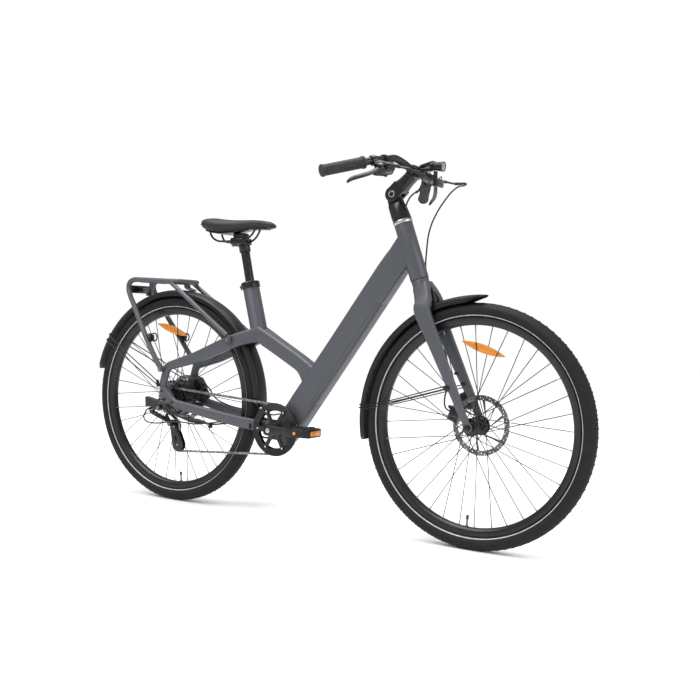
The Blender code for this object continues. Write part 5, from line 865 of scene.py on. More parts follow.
def stay_stations():
    x, z, y = ELBOW.x, ELBOW.z, DROPOUT_INNER
    a, h = REAR_AXLE.x, REAR_AXLE.z
    return [
        (x + 0.01, 0.017, z - 0.007, 0.0236, 0.0122),
        (x - 0.036, 0.04, z - 0.0205, 0.0228, 0.0112),
        (x - 0.084, 0.055, z - 0.0393, 0.0222, 0.0105),
        (a + 0.14, 0.063, h + 0.1525, 0.0192, 0.0095),
        (a + 0.021, y + 0.0085, h + 0.115, 0.0142, 0.009),
        (a - 0.001, y + 0.009, h + 0.042, 0.0132, 0.0085),
        (a + 0.053, y + 0.008, h - 0.0105, 0.0145, 0.0088),
        (a + 0.19, 0.06, h - 0.0345, 0.0172, 0.009),
        (a + 0.32, 0.043, h - 0.055, 0.019, 0.008),
        (BRACKET.x - 0.098, 0.03, BRACKET.z + 0.006, 0.0195, 0.008),
        (BRACKET.x - 0.04, 0.024, BRACKET.z + 0.002, 0.017, 0.009),
        (BRACKET.x - 0.012, 0.023, BRACKET.z, 0.013, 0.009),
    ]


HANGER_BOLT = (-0.008, 0.332)


def dropout(side):
    x, z = REAR_AXLE.x, REAR_AXLE.z
    if side < 0:
        outline = [(x + 0.052, z + 0.01), (x + 0.01, z + 0.055), (x - 0.012, z + 0.05), (x - 0.015, z + 0.002)]
        outline += arc(HANGER_BOLT, 0.011, radians(165), radians(350), 14)
        outline += [(x + 0.012, z - 0.016), (x + 0.04, z - 0.012)]
    else:
        outline = [(x + 0.092, z + 0.004), (x + 0.078, z + 0.034), (x + 0.046, z + 0.074), (x + 0.02, z + 0.086)]
        outline += [(x - 0.01, z + 0.05), (x - 0.015, z + 0.002), (x - 0.013, z - 0.014), (x + 0.012, z - 0.016)]
        outline += [(x + 0.06, z - 0.014)]
    return side_plate(outline, side * DROPOUT_INNER, side * DROPOUT_OUTER, 0.0008)


def make_frame():
    body = drawn(tube_rings())
    head = rod(CROWN + STEER_UP * 0.0006, HEAD_TOP, 0.0284, sides=72, edge=0.0012)
    seat = rod(ELBOW + Vector((0.0035, 0, 0.008)), SEAT_TUBE_TOP + SEAT_UP * 0.008, 0.028, sides=72, edge=0.001)
    elbow = cross_rod(ELBOW.x + 0.009, ELBOW.z - 0.0078, -0.0288, 0.0288, 0.0238, 96, 0.007)
    shell = through(BRACKET, -0.034, 0.034, 0.0215, 48, 0.001)
    left = limb(rounded(stay_stations(), 0.017), 0.0072, 1, 6)
    right = to_right(left)
    bridge = rod(BRACKET + Vector((-0.065, -0.03, 0.012)), BRACKET + Vector((-0.065, 0.03, 0.012)), 0.0085)
    stand = side_plate(link_outline((0.088, 0.338), (0.13, 0.334), 0.015, 0.013), 0.0837, 0.0897, 0.001)
    stand_foot = block((0.115, 0.0797, 0.335), (0.04, 0.016, 0.018), 0.0015)
    body = welded(body, head, make_strut(), seat, elbow, shell, left, right, bridge)
    body = welded(body, dropout(1), dropout(-1), stand, stand_foot)
    mouth = tube_block(0.04, COVER_START, COVER_END, SEAM_OUT - 0.0003, 0.07)
    bay = tube_block(0.022, COVER_START + 0.008, COVER_END - 0.008, -0.037, SEAM_OUT + 0.005)
    post_bore = rod(ELBOW + SEAT_UP * 0.015, SEAT_TUBE_TOP + SEAT_UP * 0.05, 0.0153, sides=48)
    steerer_bore = rod(CROWN - STEER_UP * 0.05, HEAD_TOP + STEER_UP * 0.05, 0.0152, sides=48)
    cartridge = through(BRACKET, -0.05, 0.05, 0.0175, 48)
    axle = through(REAR_AXLE, -0.1, 0.1, 0.0063, 32)
    body = carved(body, mouth, bay, post_bore, steerer_bore, cartridge, axle)
    softened(body, 0.0007, 2, 50)
    finished(body, "frame_painted", "frame", PAINT, ["frame"], 32)
    bolt = cross_rod(0.088, 0.338, 0.08, 0.1095, 0.004)
    head = cross_rod(0.088, 0.338, 0.1072, 0.1105, 0.0078, 6, 0.0005)
    finished(joined(bolt, head), "kickstand_bolt", "frame", STEEL)
    guards = []
    for x, z in ((0.0046, 0.39), (0.0513, 0.354)):
        for side in (-1, 1):
            guards.append(cross_rod(x, z, side * 0.0838, side * 0.0872, 0.0042, 28, 0.0005))
    finished(joined(*guards), "dropout_bolts", "frame", PLASTIC)


def make_battery():
    """The cover that closes the tube's underside, with the pack behind it and its latch at the top."""
    gap = 0.0003
    rings = []
    for distance in (COVER_START + gap, COVER_START + 0.1, COVER_END - 0.1, COVER_END - gap):
        rings.append(section(along_tube(distance), TUBE_OUT * TUBE_HALF, LEFT * 0.027, 0.011, 6))
    cover = drawn(rings)
    behind = tube_block(0.04, COVER_START - 0.02, COVER_END + 0.02, -0.08, SEAM_OUT)
    cover = carved(cover, behind)
    softened(cover, 0.0009, 3, 50)
    finished(cover, "battery_cover", "battery", PAINT, ["battery"], 32)
    pack = tube_block(0.02, COVER_START + 0.0095, COVER_END - 0.0095, SEAM_OUT - 0.052, SEAM_OUT - 0.0005)
    softened(pack, 0.004, 4, 50)
    finished(pack, "battery_pack", "battery", PLASTIC)
    # Thin dark strips along both seam lines, in the grip rubber finish: painted shade in the gap between cover and
    # frame
    shade = []
    for side in (-1, 1):
        slot = drawn(
            [
                section(
                    along_tube(d, SEAM_OUT + 0.0002) + LEFT * side * 0.0266, TUBE_OUT * 0.0007, LEFT * 0.0003,
                    0.0002, 1,
                )
                for d in (COVER_START, COVER_END)
            ]
        )
        shade.append(slot)
    finished(joined(*shade), "battery_seam_painted_shade", "battery", RUBBER)
    lock = along_tube(COVER_END - 0.03, 0.012)
    barrel = rod(lock + LEFT * 0.0262, lock + LEFT * 0.0278, 0.0085, sides=40, edge=0.0004)
    slot = block(lock + LEFT * 0.0279, (0.0016, 0.0012, 0.007), 0.0002, (TUBE_OUT, LEFT))
    finished(carved(barrel, slot), "battery_lock", "frame", SILVER)


def make_fittings():
    """Headset ring and seat collar with its bolt."""
    ring = turned(
        [(0.0146, 0.0), (0.0294, 0.0), (0.0301, 0.0012), (0.0301, 0.0086), (0.0292, 0.0106), (0.0146, 0.0106)],
        facing(HEAD_TOP + STEER_UP * 0.0003, STEER_UP),
        72,
    )
    finished(ring, "headset_band", "frame", SILVER, ["headset_ring"])
    low = SEAT_TUBE_TOP - SEAT_UP * 0.0035
    collar = turned(
        [
            (0.0283, 0), (0.0306, 0), (0.0314, 0.001), (0.0314, 0.018), (0.0302, 0.0205), (0.02, 0.0215),
            (0.0156, 0.0215), (0.0156, 0.015), (0.0283, 0.015),
        ],
        facing(low, SEAT_UP),
        72,
    )
    back = SEAT_UP.cross(LEFT)
    if back.x > 0:
        back = -back
    ear_middle = low + SEAT_UP * 0.0095 + back * 0.034
    ear = block(ear_middle, (0.011, 0.015, 0.016), 0.0022, (back, LEFT), 3)
    slit = block(low + SEAT_UP * 0.0095 + back * 0.034, (0.03, 0.0016, 0.04), axes=(back, LEFT))
    collar = carved(welded(collar, ear), slit)
    finished(softened(collar, 0.0003), "seat_clamp", "frame", BLACK, ["seat_collar"])
    spot = ear_middle + back * 0.0008
    bolt = rod(spot + LEFT * 0.0105, spot - LEFT * 0.0095, 0.0026, sides=20)
    bolt_head = rod(spot - LEFT * 0.0075, spot - LEFT * 0.0112, 0.0042, sides=24, edge=0.0005)
    socket = rod(spot - LEFT * 0.0095, spot - LEFT * 0.0125, 0.002, sides=6)
    finished(joined(bolt, carved(bolt_head, socket)), "seat_clamp_bolt", "frame", STEEL)


# Fork, stem and mudguards


def fork_stations():
    stations = []
    for drop, y, depth, width in (
        (0.018, 0.012, 0.0262, 0.013),
        (0.05, 0.029, 0.0262, 0.0135),
        (0.078, 0.0425, 0.0262, 0.0118),
        (0.105, 0.0465, 0.0258, 0.011),
    ):
        spot = on_steerer(-drop) + STEER_AHEAD * min(0.008, max(0.0, 0.105 - drop) * 0.3) * min(1.0, drop / 0.05)
        stations.append((spot.x, y, spot.z, depth, width))
    knee = on_steerer(-0.105)
    for share, y, depth, width in (
        (0.26, 0.0485, 0.0206, 0.01),
        (0.54, 0.051, 0.0168, 0.0088),
        (0.85, 0.0545, 0.0124, 0.0065),
        (0.955, 0.0535, 0.011, 0.0033),
        (0.99, 0.0535, 0.01, 0.0032),
    ):
        spot = knee.lerp(FRONT_AXLE, share)
        stations.append((spot.x, y, spot.z, depth, width))
    return stations


def front_points(*offsets):
    return [(FRONT_AXLE.x + x, FRONT_AXLE.z + z) for x, z in offsets]


def make_fork():
    leg = limb(fork_stations(), 0.0085, 4, 6)
    tip = side_plate(circle(flat(FRONT_AXLE), 0.0135, 48), 0.05, 0.057, 0.0008)
    leg = welded(leg, tip)
    crown = rod(on_steerer(-0.07), on_steerer(-0.0004), 0.0268, sides=64, edge=0.001)
    dome = turned(
        [(0.0, -0.0105), (0.012, -0.0095), (0.0215, -0.0055), (0.0268, 0.0), (0.0268, 0.004), (0.0, 0.004)],
        facing(on_steerer(-0.07), STEER_UP),
        64,
    )
    steerer = rod(on_steerer(-0.02), HEAD_TOP + STEER_UP * 0.056, 0.0142, sides=40)
    mount = side_plate(
        front_points((-0.074, 0.083), (-0.048, 0.041), (-0.035, 0.047), (-0.028, 0.065), (-0.054, 0.109)),
        0.0495,
        0.056,
        0.0008,
    )
    body = welded(crown, dome, leg, to_right(leg), steerer, mount)
    body = carved(body, through(FRONT_AXLE, -0.08, 0.08, 0.0049, 32))
    softened(body, 0.0009, 2, 45)
    finished(body, "fork_painted", "steering", PAINT, ["fork"], 32)
    bolts = []
    for side in (-1, 1):
        foot = by_front(-0.0695, side * 0.0608, 0.111)
        bolts.append(rod(foot, foot + LEFT * side * 0.005, 0.004, sides=6, edge=0.0005))
    clips = []
    for x, z in ((-0.087, 0.148), (-0.064, 0.119)):
        clips.append(block(by_front(x, 0.043, z), (0.013, 0.007, 0.008), 0.0016))
    finished(joined(*bolts), "fender_stay_bolts", "steering", STEEL)
    finished(joined(*clips), "fork_cable_clips", "steering", PLASTIC)


def make_axles():
    for axle, face, radius, nut, name, body, node in (
        (FRONT_AXLE, 0.0573, 0.0045, 0.0085, "front_axle_nuts", "steering", "front_axle"),
        (REAR_AXLE, 0.0753, 0.006, 0.01, "rear_axle_nuts", "frame", "rear_axle"),
    ):
        pieces = [through(axle, -face - 0.013, face + 0.013, radius, 32, 0.0008)]
        for side in (-1, 1):
            face_y = side * face
            washer = turned(
                [
                    (radius, 0), (nut + 0.0012, 0), (nut + 0.0015, 0.0004), (nut + 0.0015, 0.0016),
                    (nut + 0.0008, 0.002), (radius, 0.002),
                ],
                facing(Vector((axle.x, face_y, axle.z)), LEFT * side, UP),
                48,
            )
            hexagon = through(axle, side * (face + 0.0021), side * (face + 0.0095), nut, 6)
            cap = turned(
                [(0.0, -0.02), (nut * 0.86, -0.02), (nut * 1.02, 0.005), (nut * 0.9, 0.0076), (0.0, 0.0076)],
                facing(Vector((axle.x, side * (face + 0.0021), axle.z)), LEFT * side, UP),
                48,
            )
            hexagon = worked(hexagon, [cap], "INTERSECT")
            pieces += [washer, softened(hexagon, 0.0004, 2, 30)]
            for i in range(5):
                y = side * (face + 0.01 + i * 0.0006)
                pieces.append(
                    turned(
                        [(radius - 0.0004, -0.0002), (radius + 0.00015, 0), (radius - 0.0004, 0.0002)],
                        on_axle(axle, y),
                        24,
                    )
                )
        finished(joined(*pieces), name, body, STEEL if body == "frame" else BLACK, [node])


def make_stem_base():
    foot = HEAD_TOP + STEER_UP * 0.0113
    trunk = turned(
        [
            (0.0146, 0), (0.0288, 0), (0.0295, 0.0014), (0.0282, 0.018), (0.0262, 0.036), (0.0235, 0.05),
            (0.0195, 0.057), (0.0, 0.058), (0.0, 0.045), (0.0146, 0.045),
        ],
        facing(foot, STEER_UP),
        72,
    )
    neck_rings = [
        section(foot + STEER_UP * h - STEER_AHEAD * s, STEER_AHEAD * d, LEFT * w, c, 6)
        for h, s, d, w, c in (
            (0.012, 0.001, 0.0284, 0.027, 0.024),
            (0.03, 0.003, 0.0264, 0.024, 0.021),
            (0.048, 0.004, 0.0252, 0.021, 0.017),
            (0.0565, 0.0038, 0.0246, 0.018, 0.013),
            (0.0615, 0.0034, 0.024, 0.0111, 0.006),
            (0.088, 0.001, 0.0226, 0.0111, 0.003),
        )
    ]
    knuckle = through(STEM_PIVOT, -0.0115, 0.0115, 0.0232, 72, 0.001)
    base = welded(trunk, drawn(neck_rings), knuckle)
    base = carved(base, through(STEM_PIVOT, -0.05, 0.05, 0.005, 32))
    finished(base, "stem_quill", "steering", BLACK, ["stem_base"], 30)
    grooves = [
        turned(
            [(0.0284, h), (0.0298 - i * 0.0005, h), (0.0298 - i * 0.0005, h + 0.0011), (0.0276, h + 0.0011)],
            facing(foot, STEER_UP),
            72,
        )
        for i, h in enumerate((0.001, 0.0034))
    ]
    finished(joined(*grooves), "stem_dust_rings", "steering", PLASTIC)
    wedge = rod(
        foot + STEER_AHEAD * 0.0205 + STEER_UP * 0.036, foot + STEER_AHEAD * 0.0272 + STEER_UP * 0.036, 0.0042,
        sides=24, edge=0.0005,
    )
    socket = rod(
        foot + STEER_AHEAD * 0.025 + STEER_UP * 0.036, foot + STEER_AHEAD * 0.0282 + STEER_UP * 0.036, 0.0021,
        sides=6,
    )
    finished(carved(wedge, socket), "stem_lock_bolt", "steering", STEEL)


def make_stem_arm():
    reach = (CLAMP - STEM_PIVOT).normalized()
    over = Vector((-reach.z, 0, reach.x))
    inner, outer = 0.0118, 0.0205
    middle, thick = LEFT * (inner + outer) / 2, LEFT * ((outer - inner) / 2)
    arm = drawn(
        [
            section(STEM_PIVOT + reach * d, over * h, LEFT * w, c, 6)
            for d, h, w, c in (
                (0.0262, 0.0222, outer, 0.006),
                (0.034, 0.0212, outer, 0.009),
                (0.048, 0.0196, 0.02, 0.012),
                (0.065, 0.0188, 0.0196, 0.013),
                (0.08, 0.0188, 0.0198, 0.012),
                (0.092, 0.019, 0.0204, 0.01),
            )
        ]
    )
    ears = []
    for side in (-1, 1):
        ears.append(through(STEM_PIVOT, side * inner, side * outer, 0.0232, 72, 0.0012))
        ears.append(
            drawn(
                [
                    section(STEM_PIVOT + reach * d + middle * side, over * 0.0222, thick, 0.001, 3)
                    for d in (0.0, 0.034)
                ]
            )
        )
    clamp = through(CLAMP, -0.023, 0.023, 0.02, 64, 0.0015)
    lug = block(CLAMP + Vector((0.018, 0, -0.009)), (0.014, 0.04, 0.022), 0.0025, segments=3)
    arm = welded(arm, clamp, lug, *ears)
    split = block(CLAMP + Vector((0.018, 0, -0.005)), (0.018, 0.06, 0.0014))
    arm = carved(arm, through(CLAMP, -0.05, 0.05, 0.0115, 48), split)
    arm = softened(arm, 0.001, 2, 50)
    finished(arm, "stem_arm_forged", "handlebar", BLACK, ["stem_arm"], 30)
    heads = []
    for side in (-1, 1):
        spot = STEM_PIVOT + LEFT * side * (outer - 0.0004)
        ring = turned(
            [(0.0072, 0.0), (0.01, 0.0), (0.01, 0.0016), (0.0094, 0.0024), (0.0078, 0.0024), (0.0072, 0.0016)],
            facing(spot, LEFT * side, UP),
            48,
        )
        heads.append(ring)
    finished(joined(*heads), "stem_pivot_washers", "handlebar", SILVER)
    pin = through(STEM_PIVOT, -outer - 0.0016, outer + 0.0016, 0.007, 48, 0.0008)
    sockets = [through(STEM_PIVOT, side * (outer - 0.002), side * 0.03, 0.0034, 6) for side in (-1, 1)]
    finished(carved(pin, *sockets), "stem_pivot_bolt", "handlebar", BLACK)
    screws = []
    for side in (-1, 1):
        spot = CLAMP + Vector((0.0195, side * 0.013, -0.02))
        screw = rod(spot - UP * 0.0028, spot + UP * 0.002, 0.0042, sides=24, edge=0.0004)
        screws.append(carved(screw, rod(spot - UP * 0.0035, spot - UP * 0.0008, 0.0021, sides=6)))
    finished(joined(*screws), "stem_clamp_screws", "handlebar", STEEL)


def guard_section(top):
    """Half the mudguard's section, from the hem up over the shoulder to the crown."""
    half = MUDGUARD_HALF
    return [
        (top - 0.0215, half - 0.0006),
        (top - 0.021, half),
        (top - 0.0095, half - 0.0003),
        (top - 0.0055, half - 0.003),
        (top - 0.0028, half - 0.0075),
        (top - 0.0013, half * 0.55),
        (top - 0.0004, half * 0.28),
        (top, 0.0),
    ]


def mudguard_sheet(axle, start, end, count, lift=0.0):
    """The curved sheet, drawn round the wheel; its first end is lifted away from the tyre."""
    rings = []
    for i in range(count):
        share = i / (count - 1)
        angle = start + (end - start) * share
        rise = lift * max(0.0, 1 - share * 5) ** 2
        tail = min(1.0, 0.55 + share * 30, 0.55 + (1 - share) * 30)
        deep = min(1.0, 0.12 + share * (11 if lift else 60), 0.35 + (1 - share) * 40)
        top = MUDGUARD_RADIUS - 0.002 + rise
        outer = [(top - (top - r) * deep, y) for r, y in guard_section(top)]
        outer = [(r, y * tail) for r, y in outer]
        outer += [(r, -y) for r, y in reversed(outer[:-1])]
        inner = [(r - 0.0017, y * 0.95) for r, y in outer]
        inner[0] = (outer[0][0], inner[0][1])
        inner[-1] = (outer[-1][0], inner[-1][1])
        rings.append([round_wheel(axle, r, angle, y) for r, y in outer + inner[::-1]])
    return drawn(rings)


def stay_wire(axle, angle, foot, radius=0.002):
    rim, half = MUDGUARD_RADIUS, MUDGUARD_HALF
    side = [
        round_wheel(axle, rim - 0.0006, angle, 0.3 * half),
        round_wheel(axle, rim - 0.002, angle, 0.7 * half),
        round_wheel(axle, rim - 0.007, angle, 1.0 * half),
        round_wheel(axle, rim - 0.018, angle, half + 0.004),
        round_wheel(axle, rim - 0.03, angle, half + 0.007).lerp(foot, 0.06),
        foot,
    ]
    other = [Vector((p.x, -p.y, p.z)) for p in side]
    return hose([*reversed(side), *other], radius, turns=6, ring=3)


def make_front_mudguard():
    start, end = radians(87.2), radians(191)
    sheet = mudguard_sheet(FRONT_AXLE, start, end, 72, 0.002)
    front = on_steerer(-0.046) + STEER_AHEAD * (0.0268 + 0.0024)
    top = round_wheel(FRONT_AXLE, MUDGUARD_RADIUS - 0.003, radians(111.5))
    bracket = drawn(
        [
            section(spot, turn * 0.0015, LEFT * 0.008, 0.0006, 2)
            for spot, turn in (
                (front + STEER_UP * 0.01, STEER_AHEAD),
                (front - STEER_UP * 0.016, STEER_AHEAD),
                (front - STEER_UP * 0.022 + STEER_AHEAD * 0.0014, Vector((0.88, 0, 0.48))),
                (top + Vector((-0.004, 0, 0.002)), Vector((0.6, 0, 0.8))),
                (top + Vector((0.012, 0, -0.0045)), Vector((0.42, 0, 0.9))),
            )
        ]
    )
    sheet = joined(sheet, bracket)
    finished(sheet, "front_fender", "steering", PLASTIC, ["front_mudguard"], 30)
    foot = by_front(-0.071, 0.064, 0.1157)
    wires = [
        stay_wire(FRONT_AXLE, radians(174.4), foot, 0.0018),
        stay_wire(FRONT_AXLE, radians(175.8), foot + Vector((0.003, 0, -0.0085)), 0.0018),
    ]
    for side in (-1, 1):
        wires.append(cross_rod(foot.x + 0.0025, foot.z - 0.0055, side * 0.0613, side * 0.0659, 0.0085, 32, 0.0006))
    finished(joined(*wires), "front_fender_stays", "steering", BLACK)
    bolt = rod(front, front + STEER_AHEAD * 0.006, 0.005, sides=6, edge=0.0006)
    rivets = []
    for angle in (174.4, 175.8):
        for y in (-0.01, 0.01):
            spot = round_wheel(FRONT_AXLE, MUDGUARD_RADIUS - 0.003, radians(angle), y)
            way = (spot - FRONT_AXLE - LEFT * y).normalized()
            rivets.append(block(spot + way * 0.0022, (0.004, 0.007, 0.01), 0.0012, (way, LEFT)))
    finished(bolt, "fender_bracket_bolt", "steering", STEEL)
    finished(joined(*rivets), "front_wire_clips", "steering", PLASTIC)


def make_rear_mudguard():
    sheet = mudguard_sheet(REAR_AXLE, radians(167), radians(-0.5), 108)
    finished(sheet, "rear_fender", "frame", PLASTIC, ["rear_mudguard"], 30)
    y = 0.0876
    feet = (Vector((-0.013, y, 0.423)), Vector((-0.011, y, 0.409)))
    wires = [stay_wire(REAR_AXLE, radians(a), f) for a, f in ((145.5, feet[0]), (149.0, feet[1]))]
    for side in (-1, 1):
        outline = link_outline((feet[0].x, feet[0].z), (feet[1].x, feet[1].z), 0.006, 0.006)
        wires.append(side_plate(outline, side * (y - 0.002), side * (y + 0.002), 0.0006))
        for foot in feet:
            wires.append(through(foot, side * (y - 0.0018), side * (y + 0.004), 0.0034, 6, 0.0004))
    finished(joined(*wires), "rear_fender_stays", "frame", BLACK)
    clips = []
    for angle in (145.5, 149.0):
        for y in (-0.01, 0.01):
            spot = round_wheel(REAR_AXLE, MUDGUARD_RADIUS - 0.0008, radians(angle), y)
            way = (spot - REAR_AXLE - LEFT * y).normalized()
            clips.append(block(spot, (0.004, 0.007, 0.009), 0.0012, (way, LEFT)))
    finished(joined(*clips), "rear_wire_clips", "frame", PLASTIC)


# Wheels


SPOKES = 36
FRONT_DISC_Y, FRONT_DISC_RADIUS = 0.0401, 0.09
REAR_DISC_Y, REAR_DISC_RADIUS = 0.0525, 0.08


def make_tyre(axle, name, node, body, finish):
    """A smooth casing with a shallow tread, its reflecting band apart from it."""
    half, top = 0.0245, TYRE_RADIUS
    side = [
        (0.3122, 0.0088),
        (0.319, 0.0118),
        (0.3235, 0.0172),
        (0.329, 0.0214),
        (0.335, 0.0238),
        (0.3405, half),
        (0.346, 0.0236),
        (0.351, 0.0208),
        (0.3552, 0.0168),
        (0.3584, 0.012),
        (0.3602, 0.006),
        (top, 0.0),
    ]
    dense = eased(side, 3)
    profile = dense + [(r, -y) for r, y in reversed(dense[:-1])]
    casing = turned(profile, on_axle(axle), 180)
    finished(casing, f"{name}_casing", body, finish, [node], 60)
    stripe = [(0.3229, 0.01695), (0.3252, 0.01925), (0.3256, 0.01935), (0.3253, 0.0188), (0.3231, 0.0166)]
    bands = []
    for sign in (1, -1):
        bands.append(turned([(r, y * sign) for r, y in stripe], on_axle(axle), 180))
    finished(joined(*bands), f"{name}_band", body, STRIPE)
    blocks = []
    tread = block((0, 0, 0), (0.0062, 0.004, 0.0011), 0.0003, segments=1)
    for row, (y, radius, lean) in enumerate(((0.0095, 0.3597, 0.55), (0.015, 0.3567, 0.95), (0.0192, 0.3525, 1.05))):
        for sign in (1, -1):
            for i in range(90):
                angle = (i + 0.5 * (row % 2)) * tau / 90
                way = out_at(angle)
                around = Vector((-way.z, 0, way.x))
                out = (way * cos(lean) + LEFT * sign * sin(lean)).normalized()
                spot = axle + way * radius + LEFT * sign * y
                blocks.append(copied(tread, Matrix.Translation(spot) @ ways(around, out.cross(around))))
    scrap(tread)
    knobs = joined(*blocks)
    finished(knobs, f"{name}_tread", body, finish)


def make_rim(axle, name, node, body, valve_angle):
    profile = [
        (0.2965, 0.008),
        (0.299, 0.0105),
        (0.306, 0.013),
        (0.3175, 0.0135),
        (0.3178, 0.0131),
        (0.3178, 0.012),
        (0.315, 0.0112),
        (0.3112, 0.0098),
        (0.3105, 0.006),
        (0.3105, 0.0),
    ]
    inner = [(0.2965, 0.008), (0.2955, 0.004), (0.2955, 0.0)]
    half = inner[::-1] + profile[1:]
    ring = half + [(r, -y) for r, y in reversed(half[1:-1])]
    rim = turned(ring, on_axle(axle), 180)
    finished(rim, f"{name}_rim", body, BLACK, [node], 40)
    way = Vector((cos(valve_angle), 0, sin(valve_angle)))
    stem = rod(axle + way * 0.27, axle + way * 0.311, 0.003, sides=24)
    cap = rod(axle + way * 0.262, axle + way * 0.274, 0.004, 0.0042, 20, 0.0006)
    nut = rod(axle + way * 0.2925, axle + way * 0.295, 0.0056, sides=6, edge=0.0005)
    finished(joined(stem, nut), f"{name}_valve", body, STEEL)
    finished(cap, f"{name}_valve_cap", body, RUBBER)


def make_spokes(axle, name, body, flanges, hole_radius, crossings, start):
    """Thirty-six laced spokes with a bent head at the flange and a nipple at the rim."""
    wires, nipples = [], []
    step = tau / SPOKES
    for i in range(SPOKES):
        rim_angle = start + i * step
        leads = 1 if (i // 2) % 2 else -1
        hub_angle = rim_angle - leads * crossings * 2 * step
        flange = flanges[i % 2]
        rim_y = (0.004 if flange > 0 else -0.004) + leads * 0.001
        hub_y = flange + leads * 0.0019
        hub = round_wheel(axle, hole_radius, hub_angle, hub_y)
        end = round_wheel(axle, 0.2962, rim_angle, rim_y)
        way = (end - hub).normalized()
        wires.append(
            hose(
                [hub - LEFT * leads * 0.004, hub - LEFT * leads * 0.0008, hub + way * 0.0022, end - way * 0.012],
                0.0013, turns=3, ring=1,
            )
        )
        wires.append(rod(hub - LEFT * leads * 0.0042, hub - LEFT * leads * 0.0032, 0.002, 0.0014, 8))
        nipples.append(rod(end - way * 0.0125, end + way * 0.001, 0.0016, 0.002, 8))
    finished(joined(*wires), f"{name}_spokes", body, BLACK)
    finished(joined(*nipples), f"{name}_nipples", body, STEEL)


def make_front_hub():
    flange = 0.027
    profile = [
        (0.0051, -0.0497), (0.01, -0.0497), (0.0112, -0.0485), (0.0115, -0.044), (0.0125, -0.034),
        (0.014, -0.0325), (flange - 0.001, -0.0316), (flange, -0.0308), (flange, -0.0292), (flange - 0.001, -0.0284),
        (0.016, -0.0262), (0.0138, -0.0225), (0.0132, -0.01), (0.0132, 0.008), (0.0138, 0.019),
        (0.016, 0.0225), (flange - 0.001, 0.0244), (flange, 0.0252), (flange, 0.0268), (flange - 0.001, 0.0276),
        (0.0215, 0.03), (0.0215, 0.0388), (0.016, 0.0389), (0.016, 0.0431), (0.0105, 0.044), (0.01, 0.0497),
        (0.0051, 0.0497),
    ]
    hub = turned(profile, on_axle(FRONT_AXLE), 96)
    finished(hub, "front_hub_shell", "front_wheel", BLACK, ["front_hub"], 35)
    make_spokes(FRONT_AXLE, "front", "front_wheel", (-0.03, 0.026), 0.0245, 3, radians(-88))


def make_motor_hub():
    edge, shell = 0.063, 0.0565
    profile = [
        (0.0066, -0.064), (0.0145, -0.064), (0.0145, -0.03), (0.025, -0.029), (0.045, -0.0268), (0.056, -0.025),
        (edge - 0.0012, -0.0238), (edge, -0.023), (edge, -0.021), (edge - 0.0012, -0.0202),
        (shell + 0.0008, -0.0195), (shell, -0.018),
        (shell, 0.026), (shell + 0.0008, 0.0275), (edge - 0.0012, 0.0282), (edge, 0.029), (edge, 0.031),
        (edge - 0.0012, 0.0318),
        (0.054, 0.033), (0.044, 0.0375), (0.033, 0.042), (0.023, 0.044), (0.0215, 0.0455), (0.0215, 0.0513),
        (0.016, 0.0514), (0.016, 0.0555), (0.011, 0.056), (0.011, 0.0665), (0.0066, 0.0665),
    ]
    hub = turned(profile, on_axle(REAR_AXLE), 128)
    finished(hub, "motor_shell", "rear_wheel", BLACK, ["rear_hub_motor"], 35)
    bolts = []
    for i in range(8):
        angle = i * tau / 8 + 0.2
        spot = round_wheel(REAR_AXLE, 0.0485, angle, 0.0352)
        bolts.append(rod(spot, spot + LEFT * 0.0024, 0.003, sides=16, edge=0.0004))
        spot = round_wheel(REAR_AXLE, 0.0485, angle, -0.0262)
        bolts.append(rod(spot, spot - LEFT * 0.0018, 0.0026, sides=16, edge=0.0004))
    finished(joined(*bolts), "motor_cover_bolts", "rear_wheel", STEEL)
    make_spokes(REAR_AXLE, "rear", "rear_wheel", (-0.022, 0.03), 0.06, 1, radians(-89))


def make_disc(axle, y, radius, name, node, body, finish):
    """A braking band with rows of holes on six swept arms, and its six bolts."""
    centre = flat(axle)
    windows = []
    for i in range(6):
        start = i * tau / 6
        end = start + 0.89 * tau / 6
        outer = arc(centre, radius - 0.0155, start + 0.5, end + 0.5, 10)
        inner = arc(centre, 0.029, end + 0.05, start + 0.02, 6)
        windows.append(outer + inner)
    windows.append(circle(centre, 0.0165, 48))
    holes = []
    for i in range(36):
        for k, share in enumerate((0.22, 0.5, 0.78)):
            angle = (i + 0.33 * k) * tau / 36
            spot = (
                centre[0] + (radius - 0.0155 * share) * cos(angle),
                centre[1] + (radius - 0.0155 * share) * sin(angle),
            )
            if (i + k) % 2 == 0:
                holes.append(circle(spot, 0.0017, 10))
    disc = side_plate(circle(centre, radius, 128), y - 0.0009, y + 0.0009, 0.0, windows + holes)
    finished(disc, name, body, finish, [node], 30)
    bolts = []
    for i in range(6):
        spot = round_wheel(axle, 0.022, (i + 0.5) * tau / 6, y + 0.0009)
        bolts.append(rod(spot, spot + LEFT * 0.002, 0.0032, 0.0028, 16, 0.0004))
    finished(joined(*bolts), f"{name}_bolts", body, STEEL)


def make_reflector(axle, radius, angle, lean, name, node, body):
    middle = round_wheel(axle, radius, angle)
    bow, half = 0.215, 0.012
    outline = arc((0, -bow), bow + half, radians(72), radians(108), 14)
    outline += [(-x, -z) for x, z in outline]
    turn = Matrix.Translation(middle) @ Matrix.Rotation(lean, 4, "Y")
    glass = side_plate(outline, -0.006, 0.006, 0.0016)
    finished(shifted(glass, turn), name, body, ORANGE, [node], 40)
    clips = []
    for x in (-0.026, 0.026):
        clips.append(shifted(block((x, 0, 0.0), (0.005, 0.0128, 0.01), 0.0012), turn))
    finished(joined(*clips), f"{name}_clips", body, ORANGE)


